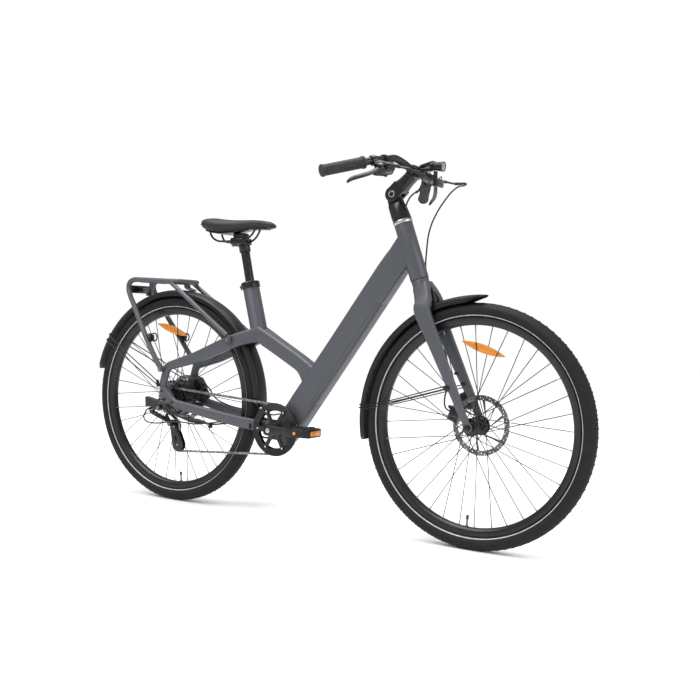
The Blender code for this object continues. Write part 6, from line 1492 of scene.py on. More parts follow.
def make_wheels():
    make_tyre(FRONT_AXLE, "front_tyre", "front_tyre", "front_wheel", FRONT_RUBBER)
    make_tyre(REAR_AXLE, "rear_tyre", "rear_tyre", "rear_wheel", REAR_RUBBER)
    make_rim(FRONT_AXLE, "front", "front_rim", "front_wheel", radians(-93))
    make_rim(REAR_AXLE, "rear", "rear_rim", "rear_wheel", radians(-84))
    make_front_hub()
    make_motor_hub()
    make_disc(FRONT_AXLE, FRONT_DISC_Y, FRONT_DISC_RADIUS, "front_brake_disc", "front_disc", "front_wheel", FRONT_DISC)
    make_disc(REAR_AXLE, REAR_DISC_Y, REAR_DISC_RADIUS, "rear_brake_disc", "rear_disc", "rear_wheel", REAR_DISC)
    make_reflector(
        FRONT_AXLE, 0.228, radians(86), radians(17), "front_spoke_reflector", "front_wheel_reflector",
        "front_wheel",
    )
    make_reflector(
        REAR_AXLE, 0.244, radians(97), radians(16), "rear_spoke_reflector", "rear_wheel_reflector",
        "rear_wheel",
    )


# Chain, sprockets and derailleur


PITCH = 0.0127
RING_TEETH, PULLEY_TEETH, COG_TEETH = 40, 11, 20
CHAIN_LINKS = 114
CHAIN_LINE = -0.043
CAGE_PIVOT = Vector((0.027, 0, 0.278))
CAGE_OUTER_Y = CHAIN_LINE - 0.0068
CAGE_INNER_Y = CHAIN_LINE + 0.0068
LINK_FAR = Vector((0.011, -0.066, 0.3))
LINK_NEAR = Vector((-0.034, -0.08, 0.321))
LINK_AXIS = Vector((-(LINK_FAR - LINK_NEAR).z, 0, (LINK_FAR - LINK_NEAR).x)).normalized()


def pitch_radius(teeth):
    return PITCH / 2 / sin(pi / teeth)


def chain_course(cage_turn):
    """The chain's arcs and straight runs round chainring, lower jockey, upper jockey and sprocket."""
    turn = Matrix.Rotation(cage_turn, 4, "Y")
    upper = CAGE_PIVOT + turn @ Vector((0.007, 0, -0.011))
    lower = CAGE_PIVOT + turn @ Vector((0.025, 0, -0.074))
    wheels = [
        (Vector(flat(BRACKET)), pitch_radius(RING_TEETH), 1),
        (Vector(flat(lower)), pitch_radius(PULLEY_TEETH), 1),
        (Vector(flat(upper)), pitch_radius(PULLEY_TEETH), -1),
        (Vector(flat(REAR_AXLE)), pitch_radius(COG_TEETH), 1),
    ]
    headings, runs = [], []
    for (c1, r1, s1), (c2, r2, s2) in zip(wheels, wheels[1:] + wheels[:1]):
        across = c2 - c1
        heading = atan2(across.y, across.x) + asin((s2 * r2 - s1 * r1) / across.length)
        left = Vector((-sin(heading), cos(heading)))
        headings.append(heading)
        runs.append((c1 + s1 * r1 * left, c2 + s2 * r2 * left))
    course, length = [], 0.0
    for i, (centre, radius, way) in enumerate(wheels):
        swept = (way * (headings[i - 1] - headings[i])) % tau
        start = headings[i - 1] + way * pi / 2
        course.append((centre, radius, way, start, swept, runs[i]))
        length += radius * swept + (runs[i][1] - runs[i][0]).length
    return course, length


def taut_course():
    target = CHAIN_LINKS * PITCH
    low, high = radians(-75), radians(75)
    for _ in range(60):
        middle = (low + high) / 2
        if (chain_course(low)[1] - target) * (chain_course(middle)[1] - target) <= 0:
            high = middle
        else:
            low = middle
    return chain_course((low + high) / 2)[0]


COURSE = taut_course()


def chain_points(count):
    """The places of the chain's pins, one pitch apart along the course."""
    spots = []
    for i in range(count):
        left = i * PITCH
        for centre, radius, way, start, swept, (a, b) in COURSE:
            if left <= radius * swept:
                angle = start - way * left / radius
                spots.append(centre + radius * Vector((cos(angle), sin(angle))))
                break
            left -= radius * swept
            if left <= (b - a).length:
                spots.append(a + (b - a).normalized() * left)
                break
            left -= (b - a).length
    return spots


def valley_angle(wheel):
    _, radius, way, start, _, _ = COURSE[wheel]
    travelled = sum(r * t + (run[1] - run[0]).length for _, r, _, _, t, run in COURSE[:wheel])
    first = ceil(travelled / PITCH) * PITCH - travelled
    return start - way * first / radius


def wheel_centre(wheel):
    return Vector((COURSE[wheel][0].x, 0, COURSE[wheel][0].y))


def toothed(teeth, centre, valley):
    """A sprocket's outline: a round seat for each roller, then a tapering tooth with a blunt tip."""
    radius = pitch_radius(teeth)
    seat = 0.004
    step = tau / teeth
    tip = radius + 0.0034
    outline = []
    for i in range(teeth):
        angle = valley + i * step
        pin = on_circle(flat(centre), radius, angle)
        outline += arc(pin, seat, angle + pi + 1.22, angle + pi - 1.22, 5)
        for share in (0.44, 0.56):
            turn = angle + share * step
            outline.append(on_circle(flat(centre), tip, turn))
    return outline


def strap(a, b, half_height, waist):
    """A chain plate's outline: two round ends and a drawn-in waist."""
    outline = []
    for centre, way in ((a, pi), (b, 0.0)):
        outline += arc((centre, 0), half_height, way - pi / 2, way + pi / 2, 6)
        outline.append(((a + b) / 2, -waist if way else waist))
    return outline


def make_chain():
    """One link of each kind, modelled once and laid along the course."""
    pins = chain_points(CHAIN_LINKS)
    plates = []
    for y in (0.0027, 0.0016):
        outline = strap(0, PITCH, 0.0041, 0.0031)
        pair = [plate(outline, *sorted((sign * y, sign * (y + 0.0009)))) for sign in (1, -1)]
        plates.append(joined(*pair))
    pin = rod((0, 0, -0.004), (0, 0, 0.004), 0.0018, sides=10)
    roller = rod((0, 0, -0.0015), (0, 0, 0.0015), 0.0037, sides=14)
    links, rollers = [], []
    for i, spot in enumerate(pins):
        after = pins[(i + 1) % len(pins)]
        along = Vector((after.x - spot.x, 0, after.y - spot.y)).normalized()
        turn = Matrix((along, -along.cross(LEFT), LEFT)).transposed().to_4x4()
        place = Matrix.Translation((spot.x, CHAIN_LINE, spot.y)) @ turn
        links.append(copied(plates[i % 2], place))
        links.append(copied(pin, place))
        rollers.append(copied(roller, place))
    scrap(*plates, pin, roller)
    chain = joined(*links, *rollers)
    open_up(chain)
    bpy.ops.mesh.normals_make_consistent(inside=False)
    let_go()
    finished(chain, "chain_links", "frame", STEEL, ["chain"], 30)


def make_cassette():
    """Seven sprockets with lightening slots, spacers between them and the lockring."""
    plates = []
    first = CHAIN_LINE + 2 * 0.005
    for i, teeth in enumerate((28, 24, 20, 17, 15, 13, 11)):
        y = first - i * 0.005
        outline = toothed(teeth, REAR_AXLE, valley_angle(3) if i == 2 else 0.1 * i)
        holes = [circle(flat(REAR_AXLE), 0.016, 40)]
        if teeth >= 20:
            inner = pitch_radius(teeth) - 0.0085
            for k in range(6):
                middle = k * tau / 6 + 0.2 * i
                holes.append(
                    arc(flat(REAR_AXLE), inner, middle - 0.3, middle + 0.3, 6)
                    + arc(flat(REAR_AXLE), 0.0215, middle + 0.24, middle - 0.24, 4)
                )
        plates.append(side_plate(outline, y - 0.0009, y + 0.0009, 0.0, holes))
    finished(joined(*plates), "sprockets", "cassette", STEEL, ["cassette"], 30)
    sleeve = turned(
        [(0.0152, first + 0.0018), (0.019, first + 0.0018), (0.019, first - 0.031), (0.0152, first - 0.031)],
        on_axle(REAR_AXLE),
        64,
    )
    ring = turned(
        [
            (0.0152, first - 0.0312), (0.0178, first - 0.0312), (0.0178, first - 0.0325), (0.017, first - 0.0331),
            (0.0152, first - 0.0331),
        ],
        on_axle(REAR_AXLE),
        48,
    )
    finished(sleeve, "sprocket_spacers", "cassette", BLACK)
    finished(ring, "sprocket_lockring", "cassette", STEEL)


def make_jockeys():
    for wheel, name, node, body in (
        (2, "jockey_top", "jockey_wheel_upper", "jockey_upper"),
        (1, "jockey_bottom", "jockey_wheel_lower", "jockey_lower"),
    ):
        centre = wheel_centre(wheel)
        holes = [circle(flat(centre), 0.005, 24)]
        for k in range(5):
            angle = k * tau / 5
            holes.append(circle(on_circle(flat(centre), 0.0112, angle), 0.0022, 14))
        outline = toothed(PULLEY_TEETH, centre, valley_angle(wheel))
        disc = side_plate(outline, CHAIN_LINE - 0.001, CHAIN_LINE + 0.001, 0.0, holes)
        hub = turned(
            [
                (0.0036, -0.0042), (0.0078, -0.0042), (0.0085, -0.0036), (0.0085, 0.0036), (0.0078, 0.0042),
                (0.0036, 0.0042),
            ],
            on_axle(centre, CHAIN_LINE),
            40,
        )
        finished(welded(disc, hub), name, body, PLASTIC, [node], 30)


def make_derailleur():
    upper, lower = wheel_centre(2), wheel_centre(1)
    plates = []
    for y, top in ((CAGE_OUTER_Y, CAGE_PIVOT), (CAGE_INNER_Y, upper)):
        way = (Vector((top.x, 0, top.z)) - lower).normalized()
        side = Vector((way.z, 0, -way.x))
        slot = [
            flat(lower + way * up + side * aside)
            for up, aside in (
                (0.017, 0.003), (0.03, 0.0034), (0.043, 0.003), (0.043, -0.003), (0.03, -0.0034), (0.017, -0.003),
            )
        ]
        outline = link_outline(flat(lower), flat(top), 0.0245, 0.0125, 22)
        plates.append(side_plate(outline, y - 0.0008, y + 0.0008, 0.0003, [slot]))
    tab = side_plate(
        link_outline(flat(upper), flat(CAGE_PIVOT), 0.0075, 0.009, 12), CAGE_OUTER_Y - 0.001,
        CAGE_OUTER_Y + 0.001, 0.0003,
    )
    finished(joined(tab, *plates), "derailleur_cage_plates", "derailleur_cage", BLACK, ["derailleur_cage"], 30)
    pins = []
    for c in (upper, lower):
        pins.append(through(c, CAGE_OUTER_Y - 0.0022, CAGE_INNER_Y + 0.0014, 0.003, 20))
        head = through(c, CAGE_OUTER_Y - 0.0026, CAGE_OUTER_Y - 0.0008, 0.0046, 24, 0.0004)
        pins.append(carved(head, through(c, CAGE_OUTER_Y - 0.003, CAGE_OUTER_Y - 0.0016, 0.0018, 6)))
    finished(joined(*pins), "jockey_bolts", "derailleur_cage", STEEL)
    face = CAGE_OUTER_Y - 0.0019
    body = through(CAGE_PIVOT, face - 0.016, face, 0.0105, 48, 0.0014)
    lug = rod(LINK_FAR - LINK_AXIS * 0.005, LINK_FAR + LINK_AXIS * 0.009, 0.0048, sides=28, edge=0.0006)
    web = rod(LINK_FAR + LINK_AXIS * 0.005, CAGE_PIVOT + LEFT * (face - 0.009), 0.005, 0.007, 24)
    body = softened(welded(body, lug, web), 0.0006)
    finished(body, "derailleur_lower_body", "derailleur_knuckle", BLACK, ["derailleur_pivot_knuckle"], 35)
    bolt = through(CAGE_PIVOT, face - 0.0176, face - 0.0156, 0.005, 28, 0.0005)
    finished(bolt, "cage_pivot_bolt", "derailleur_knuckle", STEEL)
    along = (LINK_FAR - LINK_NEAR).normalized()
    across = LINK_AXIS.cross(along)
    lift = -LINK_AXIS * 0.0073
    rings = []
    for share, wide in (
        (-0.2, 0.006), (-0.14, 0.01), (0.25, 0.012), (0.5, 0.0125), (0.75, 0.012), (1.14, 0.01), (1.2, 0.006)
    ):
        spot = (LINK_NEAR + lift).lerp(LINK_FAR + lift, share)
        rings.append(section(spot - LINK_AXIS * 0.0024, LINK_AXIS * 0.0044, across * wide, 0.0024, 4))
    finished(drawn(rings), "derailleur_outer_link", "derailleur_link", BLACK, ["derailleur_link"])
    rivets = []
    for spot in (LINK_NEAR, LINK_FAR):
        rivets.append(rod(spot - LINK_AXIS * 0.0152, spot - LINK_AXIS * 0.0133, 0.0024, sides=20, edge=0.0004))
    finished(joined(*rivets), "derailleur_link_rivets", "derailleur_link", STEEL)
    y = -0.0753
    bolt_x, bolt_z = HANGER_BOLT
    body = cross_rod(bolt_x, bolt_z, y - 0.013, y, 0.0105, 48, 0.0014)
    arm = side_plate(link_outline(HANGER_BOLT, (-0.031, 0.329), 0.0098, 0.0066, 12), y - 0.0105, y - 0.0005, 0.0012)
    lug = rod(LINK_NEAR - LINK_AXIS * 0.005, LINK_NEAR + LINK_AXIS * 0.012, 0.0048, sides=28, edge=0.0006)
    stop = rod(ADJUSTER_START, ADJUSTER_END, 0.0042, 0.0032, 24, 0.0006)
    body = welded(body, arm, lug)
    finished(softened(body, 0.0006), "derailleur_upper_body", "frame", BLACK, ["derailleur_hanger_knuckle"], 35)
    rings = [stop]
    for i in range(5):
        spot = Vector((-0.042, -0.0808, 0.32733)) + ADJUSTER_WAY * i * 0.0026
        rings.append(rod(spot, spot + ADJUSTER_WAY * 0.0014, 0.005, sides=16, edge=0.0003))
    finished(joined(*rings), "derailleur_barrel_adjuster", "frame", PLASTIC)
    head = cross_rod(bolt_x, bolt_z, y - 0.0152, y - 0.0128, 0.0062, 32, 0.0007)
    socket = cross_rod(bolt_x, bolt_z, y - 0.016, y - 0.0138, 0.003, 6)
    finished(carved(head, socket), "derailleur_hanger_bolt", "frame", STEEL)


# Cranks and pedals


CRANK_LENGTH, CRANK_Y = 0.171, 0.085
CRANK_WAY = Vector((cos(radians(5)), 0, sin(radians(5))))


def crank_end(side):
    return BRACKET - side * CRANK_WAY * CRANK_LENGTH + LEFT * side * CRANK_Y


def crank_arm(side):
    end = crank_end(side)
    start = BRACKET + LEFT * side * CRANK_Y
    over = Vector((-CRANK_WAY.z, 0, CRANK_WAY.x))
    rings = []
    for share, depth, half, corner in (
        (-0.1, 0.008, 0.005, 0.0045),
        (-0.088, 0.0125, 0.0066, 0.005),
        (-0.04, 0.016, 0.007, 0.0055),
        (0.0, 0.0168, 0.007, 0.0055),
        (0.08, 0.0155, 0.007, 0.005),
        (0.25, 0.0125, 0.0066, 0.0045),
        (0.55, 0.0112, 0.0062, 0.0045),
        (0.85, 0.011, 0.0064, 0.0045),
        (0.96, 0.013, 0.0068, 0.005),
        (1.02, 0.013, 0.0068, 0.005),
        (1.062, 0.01, 0.006, 0.0045),
        (1.078, 0.006, 0.0045, 0.0035),
    ):
        rings.append(section(start.lerp(end, share), over * depth, LEFT * half, corner, 4))
    return drawn(rings)


def make_cranks():
    centre = flat(BRACKET)
    windows = []
    for i in range(6):
        middle = radians(90) + i * tau / 6
        window = []
        for radius, turn, start, finish in (
            (0.0585, -0.27, -1.6, 0.0), (0.0585, 0.27, 0.0, 1.6), (0.0405, 0.17, 1.6, 3.14), (0.0405, -0.17, 3.14, 4.7)
        ):
            corner = middle + turn
            spot = on_circle(centre, radius, corner)
            window += arc(spot, 0.0072, corner + start, corner + finish, 7)
        windows.append(window)
    guard = turned(
        [
            (0.015, -0.001), (0.085, -0.001), (0.0862, -0.0016), (0.087, -0.0002), (0.0866, 0.0014),
            (0.0852, 0.0017), (0.082, 0.0013), (0.015, 0.0013),
        ],
        on_axle(BRACKET, -0.0495),
        144,
    )
    tools = [side_plate(w, -0.04, -0.06, 0.0) for w in windows]
    for i in range(12):
        angle = radians(90) + (i // 2 + 0.5) * tau / 6 + (0.075 if i % 2 else -0.075)
        spot = on_circle(centre, 0.0755, angle)
        if i % 4 < 2:
            tools.append(side_plate(circle(spot, 0.0018, 14), -0.04, -0.06))
    guard = carved(guard, joined(*tools))
    finished(softened(guard, 0.0004, 2, 50), "chain_guard", "crank", PLASTIC, angle=35)
    arm = welded(crank_arm(-1), turned(
        [(0.0, -0.084), (0.016, -0.084), (0.018, -0.07), (0.0192, -0.056), (0.02, -0.048), (0.0, -0.048)],
        on_axle(BRACKET),
        64,
    ))
    spider = []
    for i in range(6):
        angle = radians(90) + (i + 0.5) * tau / 6
        way = out_at(angle)
        spider.append(
            drawn(
                [
                    section(BRACKET + LEFT * -0.0495 + way * r, LEFT * 0.0028, LEFT.cross(way) * w, 0.0014, 3)
                    for r, w in ((0.012, 0.0105), (0.04, 0.0065), (0.06, 0.0058), (0.0665, 0.004))
                ]
            )
        )
        spider.append(
            cross_rod(
                BRACKET.x + 0.0668 * cos(angle), BRACKET.z + 0.0668 * sin(angle), -0.053, -0.042, 0.005,
                24, 0.0006,
            )
        )
    arm = welded(arm, *spider)
    end = crank_end(-1)
    arm = carved(
        arm, through(end, -0.105, -0.065, 0.0072, 32),
        through(BRACKET, -0.089, -0.03, 0.0088, 32),
        through(BRACKET, -0.1, -0.088, 0.0105, 32),
    )
    finished(softened(arm, 0.0005, 2, 45), "right_crank_arm", "crank", BLACK, ["right_crank"], 35)
    ring = side_plate(
        toothed(RING_TEETH, BRACKET, valley_angle(0)), CHAIN_LINE - 0.001, CHAIN_LINE + 0.001, 0.0,
        [circle(centre, 0.061, 96)],
    )
    finished(ring, "chainring", "crank", BLACK, angle=30)
    left = welded(crank_arm(1), turned(
        [(0.0, 0.042), (0.0145, 0.042), (0.0155, 0.048), (0.0165, 0.07), (0.0165, 0.084), (0.0, 0.084)],
        on_axle(BRACKET),
        64,
    ))
    end = crank_end(1)
    left = carved(
        left, through(end, 0.065, 0.105, 0.0072, 32),
        through(BRACKET, 0.088, 0.1, 0.0105, 32),
        through(BRACKET, 0.03, 0.086, 0.0085, 32),
    )
    spindle = through(BRACKET, -0.086, 0.0855, 0.0084, 40)
    finished(softened(left, 0.0005, 2, 45), "left_crank_arm", "crank", BLACK, ["left_crank"], 35)
    finished(spindle, "crank_spindle", "crank", STEEL)
    bolts = []
    for side in (-1, 1):
        head = through(BRACKET, side * 0.0862, side * 0.0904, 0.0082, 40, 0.001)
        bolts.append(carved(head, through(BRACKET, side * 0.0885, side * 0.092, 0.0042, 6)))
    for i in range(6):
        angle = radians(90) + (i + 0.5) * tau / 6
        spot = round_wheel(BRACKET, 0.0668, angle, -0.0528)
        bolts.append(rod(spot, spot - LEFT * 0.0013, 0.0034, sides=20, edge=0.0004))
    finished(joined(*bolts), "crank_bolts", "crank", SILVER)
    cups = [
        turned(
            [
                (0.0093, 0), (0.0165, 0), (0.0212, 0.0006), (0.0212, 0.0044), (0.02, 0.0054), (0.012, 0.0056),
                (0.0093, 0.005),
            ],
            facing(Vector((BRACKET.x, side * 0.0343, BRACKET.z)), LEFT * side, UP),
            48,
        )
        for side in (-1, 1)
    ]
    barrel = turned([(0.0093, -0.034), (0.0168, -0.034), (0.0168, 0.034), (0.0093, 0.034)], on_axle(BRACKET), 48)
    finished(joined(barrel, *cups), "bracket_cups", "frame", BLACK, ["bottom_bracket"])


def make_pedal(side, body, node):
    """A resin platform with windows, treads on its bars and reflectors front and back."""
    eye = crank_end(side)
    first, last = 0.0955, 0.1835
    half = 0.047
    outline = [
        (-half, first + 0.014), (-half + 0.004, first + 0.006), (-half + 0.014, first), (half - 0.014, first),
        (half - 0.004, first + 0.006), (half, first + 0.014), (half, last - 0.012), (half - 0.003, last - 0.004),
        (half - 0.012, last), (-half + 0.012, last), (-half + 0.003, last - 0.004), (-half, last - 0.012),
    ]
    windows = []
    for sign in (-1, 1):
        near, far = sign * 0.0135, sign * (half - 0.01)
        for low, high in ((first + 0.012, first + 0.0405), (first + 0.0465, last - 0.01)):
            windows.append([(near, low), (far, low), (far, high), (near, high)])
    place = Matrix.Translation((eye.x, 0, eye.z))
    platform = plate(outline, -0.012, 0.012, place, 0.0, windows)
    platform = softened(platform, 0.0016, 3, 50)
    teeth = []
    for sign in (-1, 1):
        for i in range(7):
            y = first + 0.016 + i * 0.0098
            for up in (-1, 1):
                teeth.append(
                    block((eye.x + sign * (half - 0.005), y, eye.z + up * 0.0121), (0.007, 0.004, 0.0022), 0.0006)
                )
    barrel = through(eye, first - 0.0012, last + 0.0008, 0.0098, 40, 0.0012)
    platform = welded(platform, barrel)
    spindle = through(eye, 0.079, first + 0.004, 0.0064, 32)
    flats = through(eye, 0.0921, 0.0953, 0.008, 6, 0.0004)
    lenses = []
    for sign in (-1, 1):
        lenses.append(
            block((eye.x + sign * (half + 0.0001), (first + last) / 2 + 0.001, eye.z), (0.003, 0.05, 0.015), 0.001)
        )
    lenses.append(through(eye, last + 0.0002, last + 0.0024, 0.0052, 28, 0.0005))
    name = "right" if side < 0 else "left"
    for piece, label, finish, nodes in (
        (joined(platform, *teeth), "pedal_platform", PLASTIC, [node]),
        (joined(spindle, flats), "pedal_spindle", STEEL, []),
        (joined(*lenses), "pedal_reflectors", ORANGE, []),
    ):
        if side < 0:
            piece = only_right(piece)
        finished(piece, f"{name}_{label}", body, finish, nodes, 35)


def make_pedals():
    make_pedal(-1, "right_pedal", "right_pedal")
    make_pedal(1, "left_pedal", "left_pedal")


# Handlebar and controls


BAR_RADIUS = 0.0112
BRAKE_Y, SHIFTER_Y, BELL_Y = 0.175, 0.129, 0.116
GRIP_START = by_clamp(-0.0618, 0.2, 0.002)
GRIP_ALONG = (by_clamp(-0.1328, 0.3145, -0.036) - GRIP_START).normalized()
CABLE_STOP = by_clamp(0.0642, 0.146, -0.0175)


def smooth_course(knots, steps):
    return [Vector(p) for p in eased([tuple(k) for k in knots], steps)]


def bar_course():
    """The left half of the bar's middle line, from the clamp to its end in the grip."""
    knots = [
        *(by_clamp(*at) for at in (
            (0, 0.0, 0), (0, 0.024, 0), (-0.004, 0.042, 0.01), (-0.0118, 0.064, 0.02), (-0.0238, 0.09, 0.028),
            (-0.0358, 0.122, 0.021),
        )),
        GRIP_START - GRIP_ALONG * 0.04,
    ]
    return [*smooth_course(knots, 6), GRIP_START + GRIP_ALONG * 0.134]


def bar_bore():
    """What a clamp on the bar is carved with."""
    return hose(bar_course(), 0.0114, turns=2, ring=6)


def bar_point(y):
    course = bar_course()
    for a, b in zip(course, course[1:]):
        if a.y <= y <= b.y:
            return a.lerp(b, (y - a.y) / (b.y - a.y)), (b - a).normalized()
    return course[-1], GRIP_ALONG


def control_frame(y):
    """A control's place on the left half of the bar, with directions along it, ahead and down."""
    spot, along = bar_point(y)
    ahead = Vector((0.82, 0, -0.57))
    ahead = (ahead - along * ahead.dot(along)).normalized()
    return spot, along, ahead, along.cross(ahead)


def clamp_ring(y, half_width, thickness):
    spot, along, _, _ = control_frame(y)
    outer, edge = BAR_RADIUS + thickness, 0.0006
    return turned(
        [
            (0.0114, -half_width),
            (outer - edge, -half_width),
            (outer, -half_width + edge),
            (outer, half_width - edge),
            (outer - edge, half_width),
            (0.0114, half_width),
        ],
        facing(spot, along, UP),
        48,
    )


def make_bar():
    course = bar_course()
    left = hose(course, BAR_RADIUS, turns=2, ring=8)
    finished(sided(left), "handlebar_tube", "handlebar", BLACK, ["handlebar"], 50)


def make_grips():
    """Rubber grips with ribs round them, a flange at the inner end and a closed cap."""
    start = GRIP_START + GRIP_ALONG * 0.0005
    end = 0.1395
    profile = [(0.0114, 0.0), (0.0178, 0.0), (0.0185, 0.0008), (0.0185, 0.0068), (0.0178, 0.008), (0.0163, 0.0086)]
    ribs = 19
    for i in range(ribs):
        at = 0.012 + i * 0.0061
        profile += [(0.0158, at), (0.0165, at + 0.001), (0.0165, at + 0.0036), (0.0158, at + 0.0046)]
    profile += [
        (0.016, end - 0.0088), (0.0176, end - 0.0076), (0.018, end - 0.0066), (0.018, end - 0.0014), (0.0166, end),
        (0.0, end), (0.0, end - 0.0052), (0.0114, end - 0.0052),
    ]
    grip = turned(profile, facing(start, GRIP_ALONG, UP), 64)
    both_sides(grip, "grip_rubber", RUBBER, ("handlebar", "handlebar"), ("left_grip", "right_grip"), 28)


def brake_pivot():
    spot, along, ahead, _ = control_frame(BRAKE_Y)
    return spot + ahead * 0.033 - along * 0.006


def both_sides(piece, label, finish, bodies, nodes, angle=35):
    """Set the left piece down and its mirrored twin on the right."""
    other = to_right(piece)
    finished(piece, f"left_{label}", bodies[0], finish, [nodes[0]] if nodes else [], angle)
    finished(other, f"right_{label}", bodies[1], finish, [nodes[1]] if nodes else [], angle)


def make_brakes():
    spot, along, ahead, up = control_frame(BRAKE_Y)
    pivot = brake_pivot()
    ring = clamp_ring(BRAKE_Y, 0.0075, 0.0042)
    perch = drawn(
        [
            section(spot + ahead * d + along * s, along * a, up * h, 0.0035, 4)
            for d, s, a, h in (
                (0.009, 0, 0.0075, 0.009),
                (0.015, -0.006, 0.013, 0.0084),
                (0.02, -0.01, 0.018, 0.0075),
                (0.029, -0.012, 0.018, 0.0062),
                (0.033, -0.012, 0.016, 0.005),
            )
        ]
    )
    eye = rod(pivot - up * 0.0098, pivot + up * 0.0098, 0.007, sides=36, edge=0.0008)
    jaw = rod(pivot - up * 0.0036, pivot + up * 0.0036, 0.02, sides=48)
    perch = carved(welded(ring, perch, eye), jaw, bar_bore())
    both_sides(
        softened(perch, 0.0006, 2, 45), "brake_perch", BLACK, ("handlebar", "handlebar"),
        ("left_brake_mount", "right_brake_mount"),
    )
    pin = rod(pivot - up * 0.01, pivot + up * 0.01, 0.0022, sides=20)
    head = rod(pivot - up * 0.0112, pivot - up * 0.0097, 0.0042, sides=24, edge=0.0004)
    both_sides(joined(pin, head), "brake_pivot_pin", STEEL, ("handlebar", "handlebar"), None)
    shoulder = spot + ahead * 0.02 - along * 0.022
    barrel = [rod(shoulder, shoulder.lerp(CABLE_STOP, 0.6), 0.0058, 0.0048, 28, 0.0006)]
    barrel.append(rod(shoulder.lerp(CABLE_STOP, 0.55), CABLE_STOP, 0.0034, sides=24, edge=0.0004))
    way = (CABLE_STOP - shoulder).normalized()
    for i in range(4):
        a = shoulder.lerp(CABLE_STOP, 0.2) + way * i * 0.0044
        barrel.append(rod(a, a + way * 0.0026, 0.0062 - 0.0002 * i, sides=14, edge=0.0004))
    both_sides(joined(*barrel), "brake_barrel", BLACK, ("handlebar", "handlebar"), None)
    stations = eased(
        [
            (-0.005, 0.0, 0.005, 0.003, 0.0),
            (0.008, 0.002, 0.0065, 0.003, 0.001),
            (0.025, 0.007, 0.0064, 0.004, 0.004),
            (0.05, 0.011, 0.006, 0.0048, 0.006),
            (0.08, 0.012, 0.0056, 0.005, 0.008),
            (0.1, 0.01, 0.005, 0.005, 0.013),
            (0.112, 0.01, 0.0036, 0.0042, 0.021),
        ],
        4,
    )
    blade = drawn(
        [section(pivot + along * a + ahead * o + up * d, ahead * h, up * w, 0.0026, 4) for a, o, h, w, d in stations]
    )
    hub = rod(pivot - up * 0.0032, pivot + up * 0.0032, 0.0065, sides=40, edge=0.0005)
    blade = welded(blade, hub)
    blade = carved(blade, rod(pivot - up * 0.02, pivot + up * 0.02, 0.0025, sides=20))
    both_sides(
        blade, "brake_blade", BLACK, ("left_brake_lever", "right_brake_lever"),
        ("left_brake_lever", "right_brake_lever"),
    )


def make_shifter():
    spot, along, ahead, down = control_frame(SHIFTER_Y)
    ring = clamp_ring(SHIFTER_Y, 0.006, 0.0034)
    case = drawn(
        [
            section(spot + ahead * 0.024 + down * d + along * s, along * a, ahead * h, 0.006, 5)
            for d, s, a, h in (
                (-0.004, 0.0, 0.015, 0.01),
                (0.0, 0.0, 0.018, 0.013),
                (0.009, 0.004, 0.023, 0.0148),
                (0.011, 0.014, 0.033, 0.015),
                (0.027, 0.014, 0.032, 0.0146),
                (0.03, 0.013, 0.029, 0.0126),
            )
        ]
    )
    case = carved(welded(ring, case), bar_bore())
    window = block(spot + ahead * 0.0386 + down * 0.019 + along * 0.01, (0.03, 0.0016, 0.009), 0.0006, (along, ahead))
    pivot = spot + ahead * 0.024 + down * 0.0382
    pin = rod(pivot - down * 0.016, pivot + down * 0.003, 0.003, sides=24)
    blade = drawn(
        [
            section(pivot + along * a + ahead * o - down * 0.002, ahead * h, down * w, 0.0016, 3)
            for a, o, h, w in eased(
                [
                    (-0.004, 0, 0.006, 0.003), (0.02, -0.004, 0.006, 0.003), (0.036, -0.0095, 0.007, 0.004),
                    (0.042, -0.012, 0.006, 0.0038),
                ],
                3,
            )
        ]
    )
    eye = rod(pivot - down * 0.0052, pivot + down * 0.0012, 0.0085, sides=36, edge=0.0006)
    lever = carved(welded(eye, blade), rod(pivot - down * 0.02, pivot + down * 0.02, 0.0033, sides=24))
    start = spot + ahead * 0.025 + down * 0.005 - along * 0.015
    way = (ahead * 0.006 - along * 0.026).normalized()
    barrel = [rod(start, start + way * 0.0267, 0.0042, 0.0034, 24, 0.0005)]
    for i in range(3):
        a = start + way * (0.0085 + i * 0.0044)
        barrel.append(rod(a, a + way * 0.0028, 0.0049, sides=14, edge=0.0004))
    for piece, name, body, finish, nodes in (
        (softened(case, 0.0005, 2, 50), "shifter_case", "handlebar", PLASTIC, ["shifter_body"]),
        (window, "shifter_window", "handlebar", SMOKED_GLASS_AND_PAINTED_SHADE, []),
        (pin, "shifter_pin", "handlebar", STEEL, []),
        (lever, "shifter_thumb_lever", "shifter_lever", PLASTIC, ["shifter_lever"]),
        (joined(*barrel), "shifter_barrel", "handlebar", PLASTIC, []),
    ):
        finished(only_right(piece), name, body, finish, nodes)


